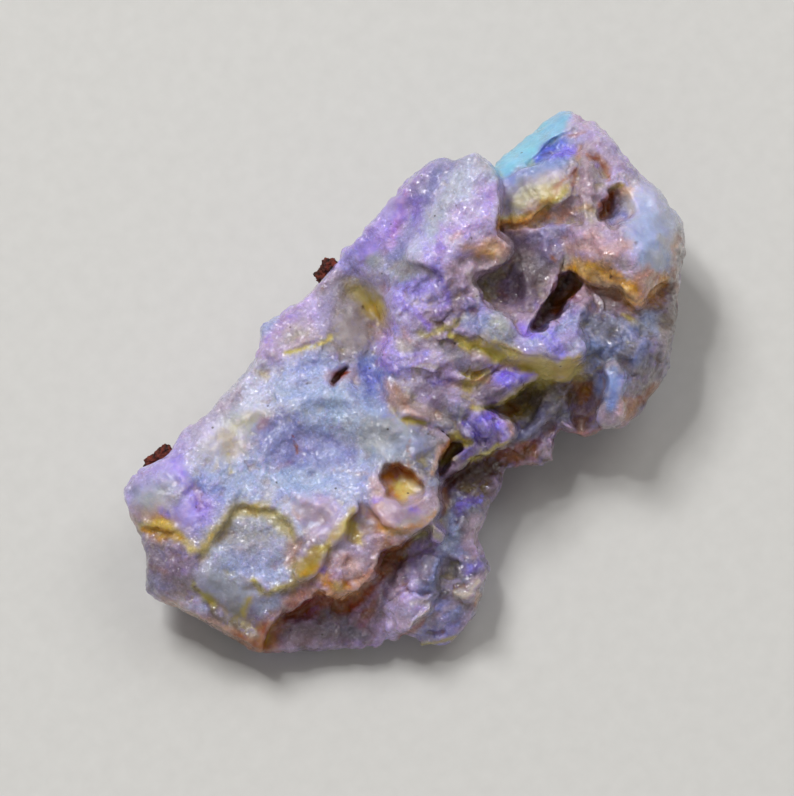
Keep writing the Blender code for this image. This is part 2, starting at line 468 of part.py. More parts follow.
def head_forms():
    """The head's facet, terraces, hollows and knob."""
    return (
        Plate(
            "deep blue hollow",
            rim=(
                (530, 158, 3), (538, 150, 3), (546, 140, 3), (556, 135, 3), (566, 134, 3), (578, 136, 4),
                (584, 146, 4), (578, 153, 3), (566, 153, 2), (552, 158, 2), (538, 164, 3),
            ),
            spots=(
                (535, 158, 11), (548, 146, 10.6), (560, 142, 10.7), (575, 143, 11), (568, 149, 11),
                (545, 156, 11),
            ),
            mode="carve",
            edge=4,
        ),
        Plate(
            "facet",
            rim=(
                (496, 158), (512, 147), (530, 133), (545, 120), (556, 110), (567, 104), (580, 110),
                (579, 118, 3), (576, 125, 2.5), (568, 131), (556, 135), (547, 143), (536, 154),
                (521, 165), (510, 172), (504, 177), (499, 170),
            ),
            spots=(
                (496, 164, 9.9), (512, 152, 9.6), (530, 138, 9.2), (545, 125, 9), (556, 115, 9),
                (567, 109, 9.2), (576, 114, 9.8), (576, 122, 10.7), (566, 131, 10.9), (555, 135, 10.8),
                (545, 144, 11), (533, 156, 11.1), (520, 165, 11.2), (508, 173, 11.2), (502, 174, 11),
            ),
            edge=1.3,
        ),
        Plate(
            "terrace",
            rim=(
                (499, 180), (510, 176), (522, 168), (538, 162), (552, 157), (562, 153), (572, 153),
                (577, 156), (577, 165), (575, 178), (574, 188), (572, 195), (566, 200), (556, 206),
                (548, 204), (544, 208), (540, 213), (530, 221), (518, 224), (506, 223), (500, 226),
                (499, 215), (502, 200),
            ),
            spots=(
                (504, 182, 11.6), (522, 172, 11.8), (545, 163, 12.2), (568, 157, 12.5), (574, 175, 12.6),
                (570, 193, 12.7), (556, 203, 12.5), (545, 203, 12.4), (530, 218, 11.8), (512, 222, 11.5),
                (505, 205, 11.7), (530, 190, 12.2), (550, 180, 12.6), (560, 190, 12.8), (525, 200, 12.2),
            ),
            edge=1.4,
        ),
        Plate(
            "terrace step",
            rim=(
                (530, 222), (540, 213), (548, 205), (556, 207), (566, 201), (574, 196), (580, 200),
                (582, 214), (580, 224), (565, 224), (550, 224), (540, 225),
            ),
            spots=(
                (535, 222, 10.8), (548, 210, 11.2), (566, 206, 11.5), (578, 205, 11.7), (578, 220, 11.2),
                (560, 220, 10.9), (545, 222, 10.7),
            ),
            edge=1.5,
        ),
        Plate(
            "cavity",
            rim=(
                (478, 277), (485, 273), (495, 270), (505, 265), (510, 257), (513, 248), (509, 242),
                (503, 238), (501, 230), (505, 226), (520, 226), (535, 226), (548, 224), (560, 224),
                (568, 228, 3), (568, 240, 3), (566, 250, 3), (564, 258, 2.5), (560, 266, 2.5), (559, 275),
                (554, 286), (549, 296), (542, 307), (536, 317), (530, 328), (524, 335), (518, 332),
                (514, 320), (505, 314), (495, 310), (488, 303), (482, 298), (480, 288),
            ),
            spots=(
                (506, 230, 11.2), (525, 230, 11.2), (545, 228, 11.3), (564, 232, 11.3), (540, 240, 10.8),
                (520, 245, 10.6), (562, 250, 11), (520, 262, 10.2), (545, 262, 10.5), (556, 272, 10.4),
                (500, 276, 9.5), (486, 282, 9.5), (492, 296, 9.5), (505, 306, 9.8), (520, 290, 9.8),
                (540, 290, 10), (550, 290, 10.1), (535, 312, 10.5), (515, 318, 10.6), (526, 328, 11.2),
            ),
            mode="set",
            edge=2.2,
        ),
        Plate(
            "slit",
            rim=(
                (559, 276), (566, 274), (570, 270), (573, 268), (578, 275), (583, 282), (578, 290),
                (572, 298), (566, 305), (561, 312), (560, 318), (553, 318), (548, 322), (544, 327),
                (541, 330), (536, 328), (531, 326), (536, 316), (542, 306), (548, 297), (553, 287),
            ),
            spots=(
                (568, 276, 7.6), (575, 282, 7.6), (562, 292, 6.9), (550, 308, 6.9), (540, 324, 7.4),
                (560, 312, 7.2),
            ),
            mode="carve",
            edge=1.3,
        ),
        Plate(
            "socket",
            rim=(
                (597, 214), (603, 207), (601, 200), (608, 196), (608, 190), (615, 186), (621, 183, 3),
                (630, 186, 3), (637, 189, 3), (639, 198, 3), (638, 208, 3), (636, 214, 2), (629, 219),
                (622, 221), (615, 228), (609, 226), (606, 220), (601, 220),
            ),
            spots=(
                (600, 213, 9.8), (606, 202, 9.9), (614, 190, 10.8), (625, 190, 11.2), (634, 200, 11.4),
                (630, 214, 11.2), (620, 216, 10.9), (611, 224, 10.7), (605, 218, 10),
            ),
            mode="carve",
            edge=2.2,
        ),
        Plate(
            "red pocket",
            rim=(
                (588, 158), (594, 154), (602, 155), (607, 161), (610, 170), (607, 177), (601, 173),
                (597, 166),
            ),
            spots=(
                (592, 158, 11.6), (603, 160, 11.2), (606, 172, 11.2), (598, 164, 11.6),
            ),
            mode="carve",
            edge=3.6,
        ),
        Plate(
            "under brow",
            rim=(
                (588, 286, 4), (602, 287, 4), (615, 290, 4), (622, 297, 4), (630, 308, 4), (640, 313, 4),
                (646, 308, 4), (652, 299, 4), (658, 292, 4), (664, 296), (664, 312), (664, 328),
                (652, 334), (640, 337), (630, 330), (622, 325), (619, 317), (610, 310), (600, 303),
                (590, 296),
            ),
            spots=(
                (592, 290, 11), (610, 295, 10.9), (620, 305, 10.4), (632, 318, 9.2), (645, 325, 8.4),
                (660, 325, 8.3), (655, 305, 9), (640, 320, 8.6),
            ),
            mode="carve",
            edge=2,
        ),
        Plate(
            "knob",
            rim=(
                (604, 367), (610, 361), (618, 362), (624, 368), (626, 380), (625, 395), (626, 408),
                (624, 420), (616, 430), (604, 428), (598, 424), (597, 415), (601, 405), (604, 390),
                (606, 378),
            ),
            spots=(
                (606, 368, 9.5), (614, 366, 9.9), (621, 378, 9.5), (609, 385, 9.4), (620, 400, 8.8),
                (606, 402, 8.6), (615, 412, 8.4), (605, 420, 7.6), (620, 423, 7.4),
            ),
            edge=2,
        ),
        Plate(
            "left pocket",
            rim=(
                (564, 390, 4), (574, 382, 4), (584, 378), (592, 372), (600, 369), (605, 376), (605, 390),
                (601, 404, 4), (596, 412, 4), (586, 412, 4), (574, 410, 4), (565, 402, 4),
            ),
            spots=(
                (572, 390, 7.3), (590, 378, 7.9), (602, 378, 7.8), (600, 400, 7), (585, 404, 6.7),
                (572, 402, 6.7),
            ),
            mode="carve",
            edge=2.5,
        ),
        Plate(
            "orange hole",
            rim=(
                (578, 392), (584, 387), (590, 390), (592, 396), (585, 400), (579, 398),
            ),
            spots=(
                (585, 393, 6.3),
            ),
            mode="carve",
            edge=4,
        ),
    )


def slab_forms():
    """The slab's hollows and turned-up folds."""
    return (
        Plate(
            "orange hollow",
            rim=(
                (382, 468), (387, 463), (392, 466), (399, 464), (406, 469), (412, 470), (415, 477),
                (422, 480), (425, 489), (422, 496, 3), (415, 499, 3), (409, 502, 3), (401, 504, 3),
                (396, 500, 2.5), (388, 497), (386, 488), (379, 478),
            ),
            spots=(
                (388, 470, 8.6), (400, 470, 8.1), (412, 478, 8.2), (420, 488, 8.3), (390, 484, 8.2),
                (400, 482, 7.9), (404, 492, 8.3), (402, 500, 8.8), (416, 496, 8.5),
            ),
            mode="carve",
            edge=2,
        ),
        Plate(
            "basin",
            rim=(
                (198, 560), (204, 549), (214, 541), (222, 528), (231, 514), (239, 506), (250, 505),
                (260, 509), (268, 507), (275, 510), (279, 517), (287, 523), (292, 530), (288, 540),
                (280, 552), (270, 566), (258, 578), (248, 584), (232, 586), (215, 580), (203, 572),
            ),
            spots=(
                (204, 560, 7.6), (215, 545, 7.9), (232, 520, 8.1), (250, 510, 8.2), (272, 514, 8.3),
                (286, 528, 8.4), (270, 545, 8.3), (250, 555, 7.9), (235, 570, 7.2), (218, 570, 7.2),
                (255, 575, 7.3),
            ),
            mode="carve",
            edge=4.2,
        ),
        Plate(
            "crescent flap",
            rim=(
                (340, 508), (350, 498), (356, 500), (357, 508), (350, 516), (347, 523), (346, 531),
                (338, 541), (330, 546), (326, 553), (322, 566), (312, 576), (300, 580, 3), (296, 565, 5),
                (300, 545, 6), (315, 525, 8), (330, 515, 8),
            ),
            spots=(
                (352, 503, 9.6), (347, 520, 9.4), (340, 535, 9.2), (328, 545, 9), (322, 558, 8.6),
                (312, 572, 8), (302, 570, 8), (310, 545, 8.7), (330, 520, 9.3),
            ),
            edge=1.5,
        ),
        Plate(
            "fold hollow",
            rim=(
                (358, 502, 3), (366, 500, 4), (372, 506, 2.5), (375, 512), (381, 520), (388, 526),
                (380, 532, 3), (366, 538, 4), (355, 545, 3), (347, 541, 2), (347, 531), (348, 523),
                (352, 516), (357, 509),
            ),
            spots=(
                (362, 505, 8.9), (352, 522, 8), (350, 538, 7.9), (362, 528, 8.2), (374, 520, 8.5),
                (384, 528, 8.6),
            ),
            mode="carve",
            edge=1.8,
        ),
        Plate(
            "small pit",
            rim=(
                (331, 383), (333, 376), (338, 372), (342, 368), (348, 367), (346, 372), (342, 376),
                (341, 380), (337, 385),
            ),
            spots=(
                (339, 377, 8.2),
            ),
            mode="carve",
            edge=1.6,
        ),
    )


def foot_forms():
    """The raised patch and the cream lumps on the foot."""
    return (
        Plate(
            "foot patch",
            rim=(
                (383, 600), (380, 590), (392, 582), (402, 570), (400, 560), (412, 556), (430, 552),
                (440, 560), (436, 575), (438, 590), (432, 602), (430, 614), (420, 618), (410, 628),
                (396, 632), (386, 628), (383, 616),
            ),
            spots=(
                (388, 596, 4.6), (405, 575, 5.4), (420, 560, 5.8), (432, 560, 6), (434, 585, 5.6),
                (425, 605, 5.2), (405, 600, 5.6), (395, 620, 4.4), (412, 618, 5), (415, 585, 6),
            ),
            edge=2,
        ),
        Plate(
            "cream lump",
            rim=(
                (452, 590), (458, 585), (466, 586), (474, 583), (481, 580), (484, 586), (480, 594),
                (472, 600), (463, 600), (456, 597),
            ),
            spots=(
                (460, 592, 5.2), (470, 590, 5.4), (478, 586, 4.9),
            ),
            edge=2.5,
        ),
        Plate(
            "cream drop",
            rim=(
                (431, 524), (436, 522), (441, 528), (444, 534), (443, 540), (438, 543), (433, 540),
                (430, 533),
            ),
            spots=(
                (436, 530, 8.3), (438, 538, 7.4),
            ),
            edge=2,
        ),
    )


def wing_lines():
    """Ridges, furrows and ledges on the wing."""
    return (
        Stroke(
            "violet furrow",
            ((446, 158), (436, 175), (425, 198), (415, 220), (402, 245), (390, 262), (384, 278)),
            -0.25, 14,
        ),
        Stroke(
            "white ridge",
            ((466, 160), (458, 185), (446, 205), (430, 228), (415, 248), (402, 262)),
            0.15, 14,
        ),
        Stroke("outer ridge", ((418, 168), (404, 192), (396, 212), (384, 232), (374, 248)), 0.3, 8),
        Stroke("outer furrow", ((392, 200), (384, 222), (372, 240), (366, 256)), -0.2, 6),
        Stroke(
            "ledge under the white ridge",
            ((400, 263), (412, 263), (424, 264), (434, 268), (441, 276), (445, 288)),
            0.55, 16, "lip", 1.6,
        ),
        Stroke("lobe rim", ((455, 262), (468, 258), (482, 262), (494, 264)), -0.35, 6),
        Stroke("lobe shelf", ((468, 240), (480, 238), (495, 240), (505, 246)), -0.3, 9),
        Stroke("violet chip", ((409, 296), (416, 287), (424, 279), (433, 276)), 0.35, 12, "lip", 2.5),
        Stroke("chip groove", ((415, 300), (424, 303), (434, 302), (440, 297)), -0.25, 4),
        Stroke("chip edge", ((434, 276), (436, 285), (440, 294), (438, 302)), 0.22, 3.5, "sharp"),
        Stroke("mass ridge", ((476, 262), (468, 272), (462, 284), (466, 292)), 0.3, 6),
        Stroke("tongue ledge", ((456, 328), (462, 320), (470, 314), (478, 308), (480, 303)), -0.45, 4),
        Stroke("cream knuckle", ((466, 297), (474, 303), (477, 310)), 0.25, 4),
        Stroke(
            "cheek ridge",
            ((398, 292), (394, 308), (392, 322), (386, 336), (380, 352), (379, 366)),
            0.35, 9,
        ),
        Stroke("cheek hollow", ((405, 336), (400, 345), (395, 354)), -0.2, 6),
        Stroke("purple dent 1", ((402, 308), (410, 318), (416, 326)), -0.3, 8),
        Stroke("purple dent 2", ((424, 312), (434, 322), (446, 326)), -0.3, 8),
        Stroke("finger groove", ((446, 336), (458, 340), (472, 344), (486, 349), (497, 356)), -0.25, 4),
        Stroke("finger step", ((412, 366), (420, 369), (430, 371), (440, 372)), 0.45, 12, "lip", 1.4),
        Stroke("dark dent", ((430, 390), (438, 385), (446, 378)), -0.15, 6),
        Stroke("dent 3", ((424, 384), (432, 380)), -0.25, 6),
        Stroke("mass furrow", ((456, 376), (450, 392), (442, 406), (428, 418)), -0.3, 8),
        Stroke("mass rib", ((408, 380), (405, 395), (412, 410), (424, 417)), 0.3, 6),
        Stroke("fin ridge", ((478, 398), (495, 390), (515, 380), (532, 374)), 0.3, 5),
        Stroke("blade rib 1", ((462, 414), (470, 425), (478, 436), (484, 446)), -0.6, 4),
        Stroke("blade rib 2", ((476, 410), (484, 420), (488, 432)), 0.5, 4),
        Stroke("blade dent", ((494, 416), (498, 428), (494, 440)), -0.4, 4),
        Stroke("blade rib 3", ((470, 432), (462, 448), (452, 462)), 0.4, 4),
        Stroke(
            "lens ledge",
            ((398, 420), (406, 417), (414, 417), (422, 420), (428, 426)),
            0.5, 9, "lip", 2,
        ),
    )


def head_lines():
    """Ridges, furrows and ledges on the head and the shelf below it."""
    return (
        Stroke("pocket groove", ((583, 413), (581, 424), (584, 434)), -0.5, 5),
        Stroke("terrace rib 1", ((506, 196), (525, 185), (545, 175), (566, 165)), 0.15, 7),
        Stroke("pillar", ((592, 150), (588, 170), (584, 190), (582, 212), (580, 226)), 0.5, 7),
        Stroke("pillar groove", ((580, 158), (577, 175), (576, 190), (573, 197)), -0.4, 3),
        Stroke("pillar fold", ((594, 178), (592, 195), (592, 208)), 0.4, 4),
        Stroke("brow lump 1", ((572, 238), (584, 232), (598, 232)), 0.5, 8),
        Stroke("brow lump 2", ((598, 252), (610, 250), (622, 254)), 0.4, 8),
        Stroke("brow cleft", ((588, 226), (592, 240), (590, 254)), -0.35, 3),
        Stroke(
            "side seam",
            ((682, 233), (676, 241), (668, 252), (666, 262), (664, 276), (658, 284), (652, 290)),
            -0.35, 5,
        ),
        Stroke(
            "rim crest",
            ((590, 128), (606, 146), (624, 166), (642, 186), (660, 206), (672, 222)),
            0.55, 6,
        ),
        Stroke("pale saddle", ((642, 215), (655, 225), (664, 238)), 0.3, 8),
        Stroke("cavity rib 1", ((548, 232), (544, 248), (552, 264)), 0.4, 5),
        Stroke("cavity rib 2", ((512, 262), (524, 272), (530, 290), (524, 308)), 0.35, 8),
        Stroke("cavity lip", ((558, 276), (550, 294), (540, 310), (530, 326)), 0.4, 4),
        Stroke("head bridge", ((592, 292), (586, 302), (580, 312), (574, 322)), 0.6, 6),
        Stroke("bridge groove", ((586, 318), (584, 330), (586, 342)), -0.3, 4),
        Stroke("shelf rib 1", ((598, 330), (610, 340), (622, 350), (640, 356)), 0.25, 8),
        Stroke("shelf dent 1", ((610, 326), (626, 338), (640, 346)), -0.35, 6),
        Stroke("shelf dent 2", ((630, 358), (626, 366), (634, 378)), -0.25, 6),
        Stroke("shelf dent 3", ((600, 352), (596, 360)), -0.3, 6),
        Stroke("side dent", ((655, 356), (662, 364)), -0.5, 5),
        Stroke(
            "lower rib 1",
            ((566, 400), (552, 410), (540, 420), (528, 432), (516, 444), (508, 452)),
            0.6, 8,
        ),
        Stroke("lower groove", ((556, 424), (544, 434), (532, 444), (520, 452)), -0.5, 5),
        Stroke("lower rib 2", ((558, 420), (568, 426), (572, 432)), 0.8, 5),
        Stroke(
            "hollow under fin",
            ((506, 412), (515, 404), (528, 394), (545, 388), (560, 384)),
            -0.3, 10,
        ),
    )


def slab_lines():
    """Ridges, furrows and ledges on the slab."""
    return (
        Stroke("valley", ((350, 284), (362, 298), (374, 314), (382, 330), (384, 345)), -0.35, 9),
        Stroke("valley lip", ((288, 352), (300, 346), (314, 340), (330, 337)), 0.3, 5, "lip", 2),
        Stroke("slab rim rib", ((250, 372), (262, 356), (285, 335), (310, 310), (328, 288)), 0.3, 8),
        Stroke("bowl rim north", ((265, 425), (285, 408), (310, 398), (340, 396), (362, 402)), 0.4, 10),
        Stroke("bowl rim south", ((285, 492), (305, 494), (325, 490), (345, 484)), 0.35, 8),
        Stroke("blue saddle", ((350, 382), (362, 376), (375, 384)), -0.3, 9),
        Stroke("ochre groove", ((126, 521), (140, 527), (155, 531), (172, 534), (188, 537)), -0.3, 5),
        Stroke("ochre lip", ((140, 524), (160, 528), (180, 532)), 0.4, 8, "lip", 1.5),
        Stroke("tip dent", ((165, 466), (172, 480), (168, 494)), -0.3, 8),
        Stroke("violet dent", ((188, 484), (198, 496), (202, 514)), -0.35, 8),
        Stroke("basin scar", ((214, 541), (226, 536), (240, 534), (252, 538)), -0.25, 5),
        Stroke(
            "basin lower step",
            ((236, 588), (252, 582), (262, 586), (270, 592), (285, 588), (300, 579), (314, 571)),
            0.5, 16, "lip", 2,
        ),
        Stroke("saddle rib", ((300, 500), (318, 505), (335, 508)), 0.3, 6),
        Stroke(
            "orange fold",
            ((373, 504), (379, 514), (388, 524), (400, 530), (414, 527)),
            0.35, 6, "lip", 1.5,
        ),
        Stroke("drip rib", ((346, 548), (340, 566), (334, 584)), 0.4, 7),
        Stroke("drip rib 2", ((366, 545), (362, 562), (356, 578)), 0.3, 6),
        Stroke("south groove", ((170, 572), (190, 588), (215, 602), (240, 616), (262, 626)), -0.3, 6),
    )


def foot_lines():
    """Ridges, furrows and ledges on the foot."""
    return (
        Stroke("foot crack", ((384, 604), (396, 596), (406, 590), (418, 592), (434, 590)), -0.45, 3),
        Stroke("foot rib 1", ((406, 560), (402, 574), (396, 586)), 0.4, 3),
        Stroke("foot rib 2", ((420, 576), (428, 579), (436, 577)), 0.5, 2.5, "sharp"),
        Stroke("foot ledge", ((430, 600), (422, 612), (414, 622), (404, 630)), 0.7, 8, "lip", 1.5),
        Stroke("foot hollow", ((456, 556), (452, 566), (450, 580)), -0.7, 8),
        Stroke("foot rib 3", ((466, 512), (460, 526), (448, 538)), 0.35, 5),
        Stroke("toe groove", ((424, 630), (436, 632), (448, 630)), -0.4, 3),
        Stroke("toe ridge", ((262, 628), (290, 622), (320, 626), (350, 632)), 0.4, 8),
        Stroke("red hollow", ((330, 606), (350, 602), (368, 600)), -0.35, 9),
    )


def noise_at(x, y, size, offset):
    """Fractal noise of three octaves, about -1 to 1, over trace points."""
    points = zip(x / size, y / size, strict=True)
    return np.array([noise.fractal(Vector((u, v, offset)), NOISE_FALL, NOISE_STEP, 3) for u, v in points])


def top_heights(x, y):
    """The height of the seen side before it rolls over at the rim."""
    wobbles = [WARP_REACH * noise_at(x, y, WARP_SIZE, offset) for offset in WARP_OFFSETS]
    wobbled = (x + wobbles[0], y + wobbles[1])
    height = Sheet(FOOT).at(x, y)
    forms = (masses, wing_forms, head_forms, slab_forms, foot_forms)
    lines = (wing_lines, head_lines, slab_lines, foot_lines)
    for group in forms + lines:
        for form in group():
            form.shape(height, x, y, wobbled)
    for size, rise, offset in RIPPLES:
        height += rise * noise_at(x, y, size, offset)
    return height


def sides(x, y):
    """Heights in millimetres of the top and of the underside, and how far inside the outline they are."""
    outline = np.array([(*point, 0) for point in OUTLINE], float)
    depth = inside_by(x, y, outline)[0]
    depth = np.where(depth > ON_RIM, depth, 0)
    raw = top_heights(x, y)
    rim = np.minimum(Sheet(RIM_HEIGHTS).at(x, y), raw - RIM_DROP)
    roll = np.clip(depth / RIM_ROLL, 0, 1)
    top = rim + (raw - rim) * np.sqrt(1 - (1 - roll) ** 2)
    reach = np.maximum(FLANK_LEAN * rim, LEAST_FLANK)
    run = np.clip(depth / reach, 0, 1)
    under = rim * (1 - run) ** FLANK_CURVE
    for size, rise, offset in HOLLOWS:
        under += rise * run**2 * noise_at(x, y, size, offset)
    under = np.maximum(under, 0)
    under = np.minimum(under, top - THINNEST * np.clip(depth / THIN_EDGE, 0, 1))
    return top, under, depth


def placed(x, y, height):
    """World points in metres of trace points at a height in millimetres."""
    level = height * MM
    back = (-y * UNIT - level * math.cos(SIGHT_ELEVATION)) / math.sin(SIGHT_ELEVATION)
    right = x * UNIT
    turn_cos, turn_sin = math.cos(LONG_AXIS_TURN), math.sin(LONG_AXIS_TURN)
    return np.column_stack([right * turn_cos + back * turn_sin, back * turn_cos - right * turn_sin, level])


def nearest_on_outline(x, y):
    """The outline's nearest point to each trace point."""
    loop = np.array(OUTLINE, float)
    best = np.full(x.shape, np.inf)
    found = np.zeros((len(x), 2))
    for start, end in zip(loop, np.roll(loop, -1, axis=0), strict=True):
        gap, share, _ = to_stretch(x, y, start, end)
        closer = gap < best
        best = np.where(closer, gap, best)
        found[closer] = start + (end - start) * share[closer, None]
    return found


def pinched(vertex):
    """Whether faces meet in this point alone, with open border between them."""
    return sum(edge.is_boundary for edge in vertex.link_edges) > 2


def traced_grid():
    """A grid over the outline, in trace units, its border on the outline."""
    outline = np.array([(*point, 0) for point in OUTLINE], float)
    low, high = outline[:, :2].min(axis=0) - GRID_STEP, outline[:, :2].max(axis=0) + GRID_STEP
    counts = np.ceil((high - low) / GRID_STEP).astype(int)
    grid = bmesh.new()
    bmesh.ops.create_grid(grid, x_segments=int(counts[0]), y_segments=int(counts[1]), size=0.5)
    bmesh.ops.scale(grid, vec=(*(high - low), 1), verts=grid.verts)
    bmesh.ops.translate(grid, vec=(*((low + high) / 2), 0), verts=grid.verts)
    middles = np.array([face.calc_center_median() for face in grid.faces])
    kept = inside_by(middles[:, 0], middles[:, 1], outline)[0] > 0
    outside = [face for face, keep in zip(grid.faces, kept, strict=True) if not keep]
    while outside:
        bmesh.ops.delete(grid, geom=outside, context="FACES")
        outside = list({face for vertex in grid.verts if pinched(vertex) for face in vertex.link_faces})
    border = [vertex for vertex in grid.verts if vertex.is_boundary]
    spots = np.array([vertex.co for vertex in border])
    for vertex, (u, v) in zip(border, nearest_on_outline(spots[:, 0], spots[:, 1]), strict=True):
        vertex.co = (u, v, 0)
    bmesh.ops.remove_doubles(grid, verts=border, dist=SLIVER)
    bmesh.ops.triangulate(grid, faces=grid.faces)
    inner = [edge for edge in grid.edges if not edge.is_boundary]
    across = [edge for edge in inner if all(end.is_boundary for end in edge.verts)]
    bmesh.ops.subdivide_edges(grid, edges=across, cuts=1)
    return grid


def weather(stone, vertices, depths):
    """Rounds the pleats out of the flanks and the underside, and gives them lumps and scoops."""
    inner = [vertex for vertex, depth in zip(vertices, depths, strict=True) if depth > 0]
    every_way = {"use_axis_x": True, "use_axis_y": True, "use_axis_z": True}
    for _ in range(FLANK_ROUNDS):
        bmesh.ops.smooth_vert(stone, verts=inner, factor=0.5, **every_way)
    stone.normal_update()
    moves = []
    for vertex, depth in zip(vertices, depths, strict=True):
        spot = vertex.co / MM
        lumps = [rise * noise.noise(spot / size + Vector((offset, 0, 0))) for size, rise, offset in LUMPS]
        moves.append(vertex.normal * sum(lumps) * MM * min(depth / FLANK_FADE, 1))
    for vertex, move in zip(vertices, moves, strict=True):
        vertex.co += move


def raw_stone():
    """The closed surface, fine enough for every form: the grid twice, as top and as underside."""
    stone = traced_grid()
    top = list(stone.verts)
    copied = bmesh.ops.duplicate(stone, geom=stone.verts[:] + stone.edges[:] + stone.faces[:])
    under = [copied["vert_map"][vertex] for vertex in top]
    spots = np.array([vertex.co for vertex in top])
    *heights, depths = sides(spots[:, 0], spots[:, 1])
    for vertices, height in zip((top, under), heights, strict=True):
        for vertex, point in zip(vertices, placed(spots[:, 0], spots[:, 1], height), strict=True):
            vertex.co = point
    bmesh.ops.recalc_face_normals(stone, faces=stone.faces)
    weather(stone, under, depths)
    border = [vertex for vertex in stone.verts if vertex.is_boundary]
    bmesh.ops.remove_doubles(stone, verts=border, dist=WELD)
    bmesh.ops.recalc_face_normals(stone, faces=stone.faces)
    return stone


def cut_flat(stone):
    """Cuts the underside off level, and lowers the stone onto height 0."""
    cut = bmesh.ops.bisect_plane(
        stone,
        geom=stone.verts[:] + stone.edges[:] + stone.faces[:],
        dist=WELD,
        plane_co=(0, 0, FLAT_CUT),
        plane_no=(0, 0, 1),
        clear_inner=True,
    )
    rims = [item for item in cut["geom_cut"] if isinstance(item, bmesh.types.BMEdge)]
    bmesh.ops.triangle_fill(stone, edges=rims, use_beauty=True, normal=(0, 0, -1))
    bmesh.ops.triangulate(stone, faces=stone.faces)
    bmesh.ops.recalc_face_normals(stone, faces=stone.faces)
    bmesh.ops.translate(stone, vec=(0, 0, -FLAT_CUT), verts=stone.verts)


def crumbs():
    """The rough beads of ironstone, half sunk in the flank, in a collection of their own."""
    beads = bpy.data.collections.new("ironstone crumbs")
    bpy.context.scene.collection.children.link(beads)
    for seed, (name, spot, radii) in enumerate(CRUMBS):
        bead = bmesh.new()
        bmesh.ops.create_icosphere(bead, subdivisions=CRUMB_FINENESS, radius=1)
        for vertex in bead.verts:
            lump = noise.noise(vertex.co * CRUMB_LUMPS + Vector((seed, 0, 0)))
            vertex.co *= 1 + CRUMB_ROUGHNESS * lump
        bmesh.ops.scale(bead, vec=[radius * MM for radius in radii], verts=bead.verts)
        bmesh.ops.translate(bead, vec=placed(*np.array(spot, float)[:, None])[0], verts=bead.verts)
        mesh = bpy.data.meshes.new(name)
        bead.to_mesh(mesh)
        bead.free()
        helper = bpy.data.objects.new(name, mesh)
        helper.hide_render = True
        helper.display_type = "WIRE"
        beads.objects.link(helper)
    return beads


def finished(stone, beads):
    """The raw surface with fewest faces on its even stretches, the crumbs joined on, over the origin."""
    mesh = bpy.data.meshes.new("raw stone")
    ratio = MOST_TRIANGLES / len(stone.faces)
    stone.to_mesh(mesh)
    stone.free()
    raw = bpy.data.objects.new("raw stone", mesh)
    bpy.context.scene.collection.objects.link(raw)
    fewer = raw.modifiers.new("Fewer faces", "DECIMATE")
    fewer.ratio = ratio
    for bead in beads.objects:
        grown_on = raw.modifiers.new(bead.name, "BOOLEAN")
        grown_on.operation = "UNION"
        grown_on.solver = "MANIFOLD"
        grown_on.object = bead
    bpy.context.view_layer.update()
    thin = bpy.data.meshes.new_from_object(raw.evaluated_get(bpy.context.evaluated_depsgraph_get()))
    bpy.data.objects.remove(raw)
    bpy.data.meshes.remove(mesh)
    points = np.array([vertex.co for vertex in thin.vertices])
    middle = (points.min(axis=0) + points.max(axis=0)) / 2
    for vertex in thin.vertices:
        vertex.co.x -= middle[0]
        vertex.co.y -= middle[1]
        if vertex.co.z < LEVEL_WITHIN:
            vertex.co.z = 0
    return thin


def opal_material():
    """Pale milky opal with a wet, glossy skin."""
    material = bpy.data.materials.new("pale opal")
    material.use_nodes = True
    shader = material.node_tree.nodes["Principled BSDF"]
    shader.inputs["Base Color"].default_value = (0.42, 0.38, 0.52, 1)
    shader.inputs["Roughness"].default_value = 0.28
    shader.inputs["Metallic"].default_value = 0
    shader.inputs["IOR"].default_value = 1.45
    return material


def main():
    for leftover in list(bpy.data.objects):
        bpy.data.objects.remove(leftover)
    stone = raw_stone()
    cut_flat(stone)
    mesh = finished(stone, crumbs())
    mesh.name = NAME
    mesh.materials.clear()
    mesh.materials.append(opal_material())
    mesh.shade_smooth()
    mesh.set_sharp_from_angle(angle=SHARP_FROM)
    collection = bpy.data.collections.new("rough opal")
    bpy.context.scene.collection.children.link(collection)
    collection.objects.link(bpy.data.objects.new(NAME, mesh))


if __name__ == "__main__":
    main()
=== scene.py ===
"""Dresses the rough opal with its fine relief, its milky and coloured finish and its ironstone crumbs.

The stone's forms are traced as they are seen along one slanting line of sight. Trace points run
in trace units, x to the right and y towards the front. Heights are in millimetres above the face
that the stone rests on. Everything else is in metres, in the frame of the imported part.
"""

import logging
import math
from collections.abc import Iterable
from dataclasses import dataclass, field
from enum import Enum, auto

import bmesh
import bpy
import numpy as np
from mathutils import Matrix, Vector, noise


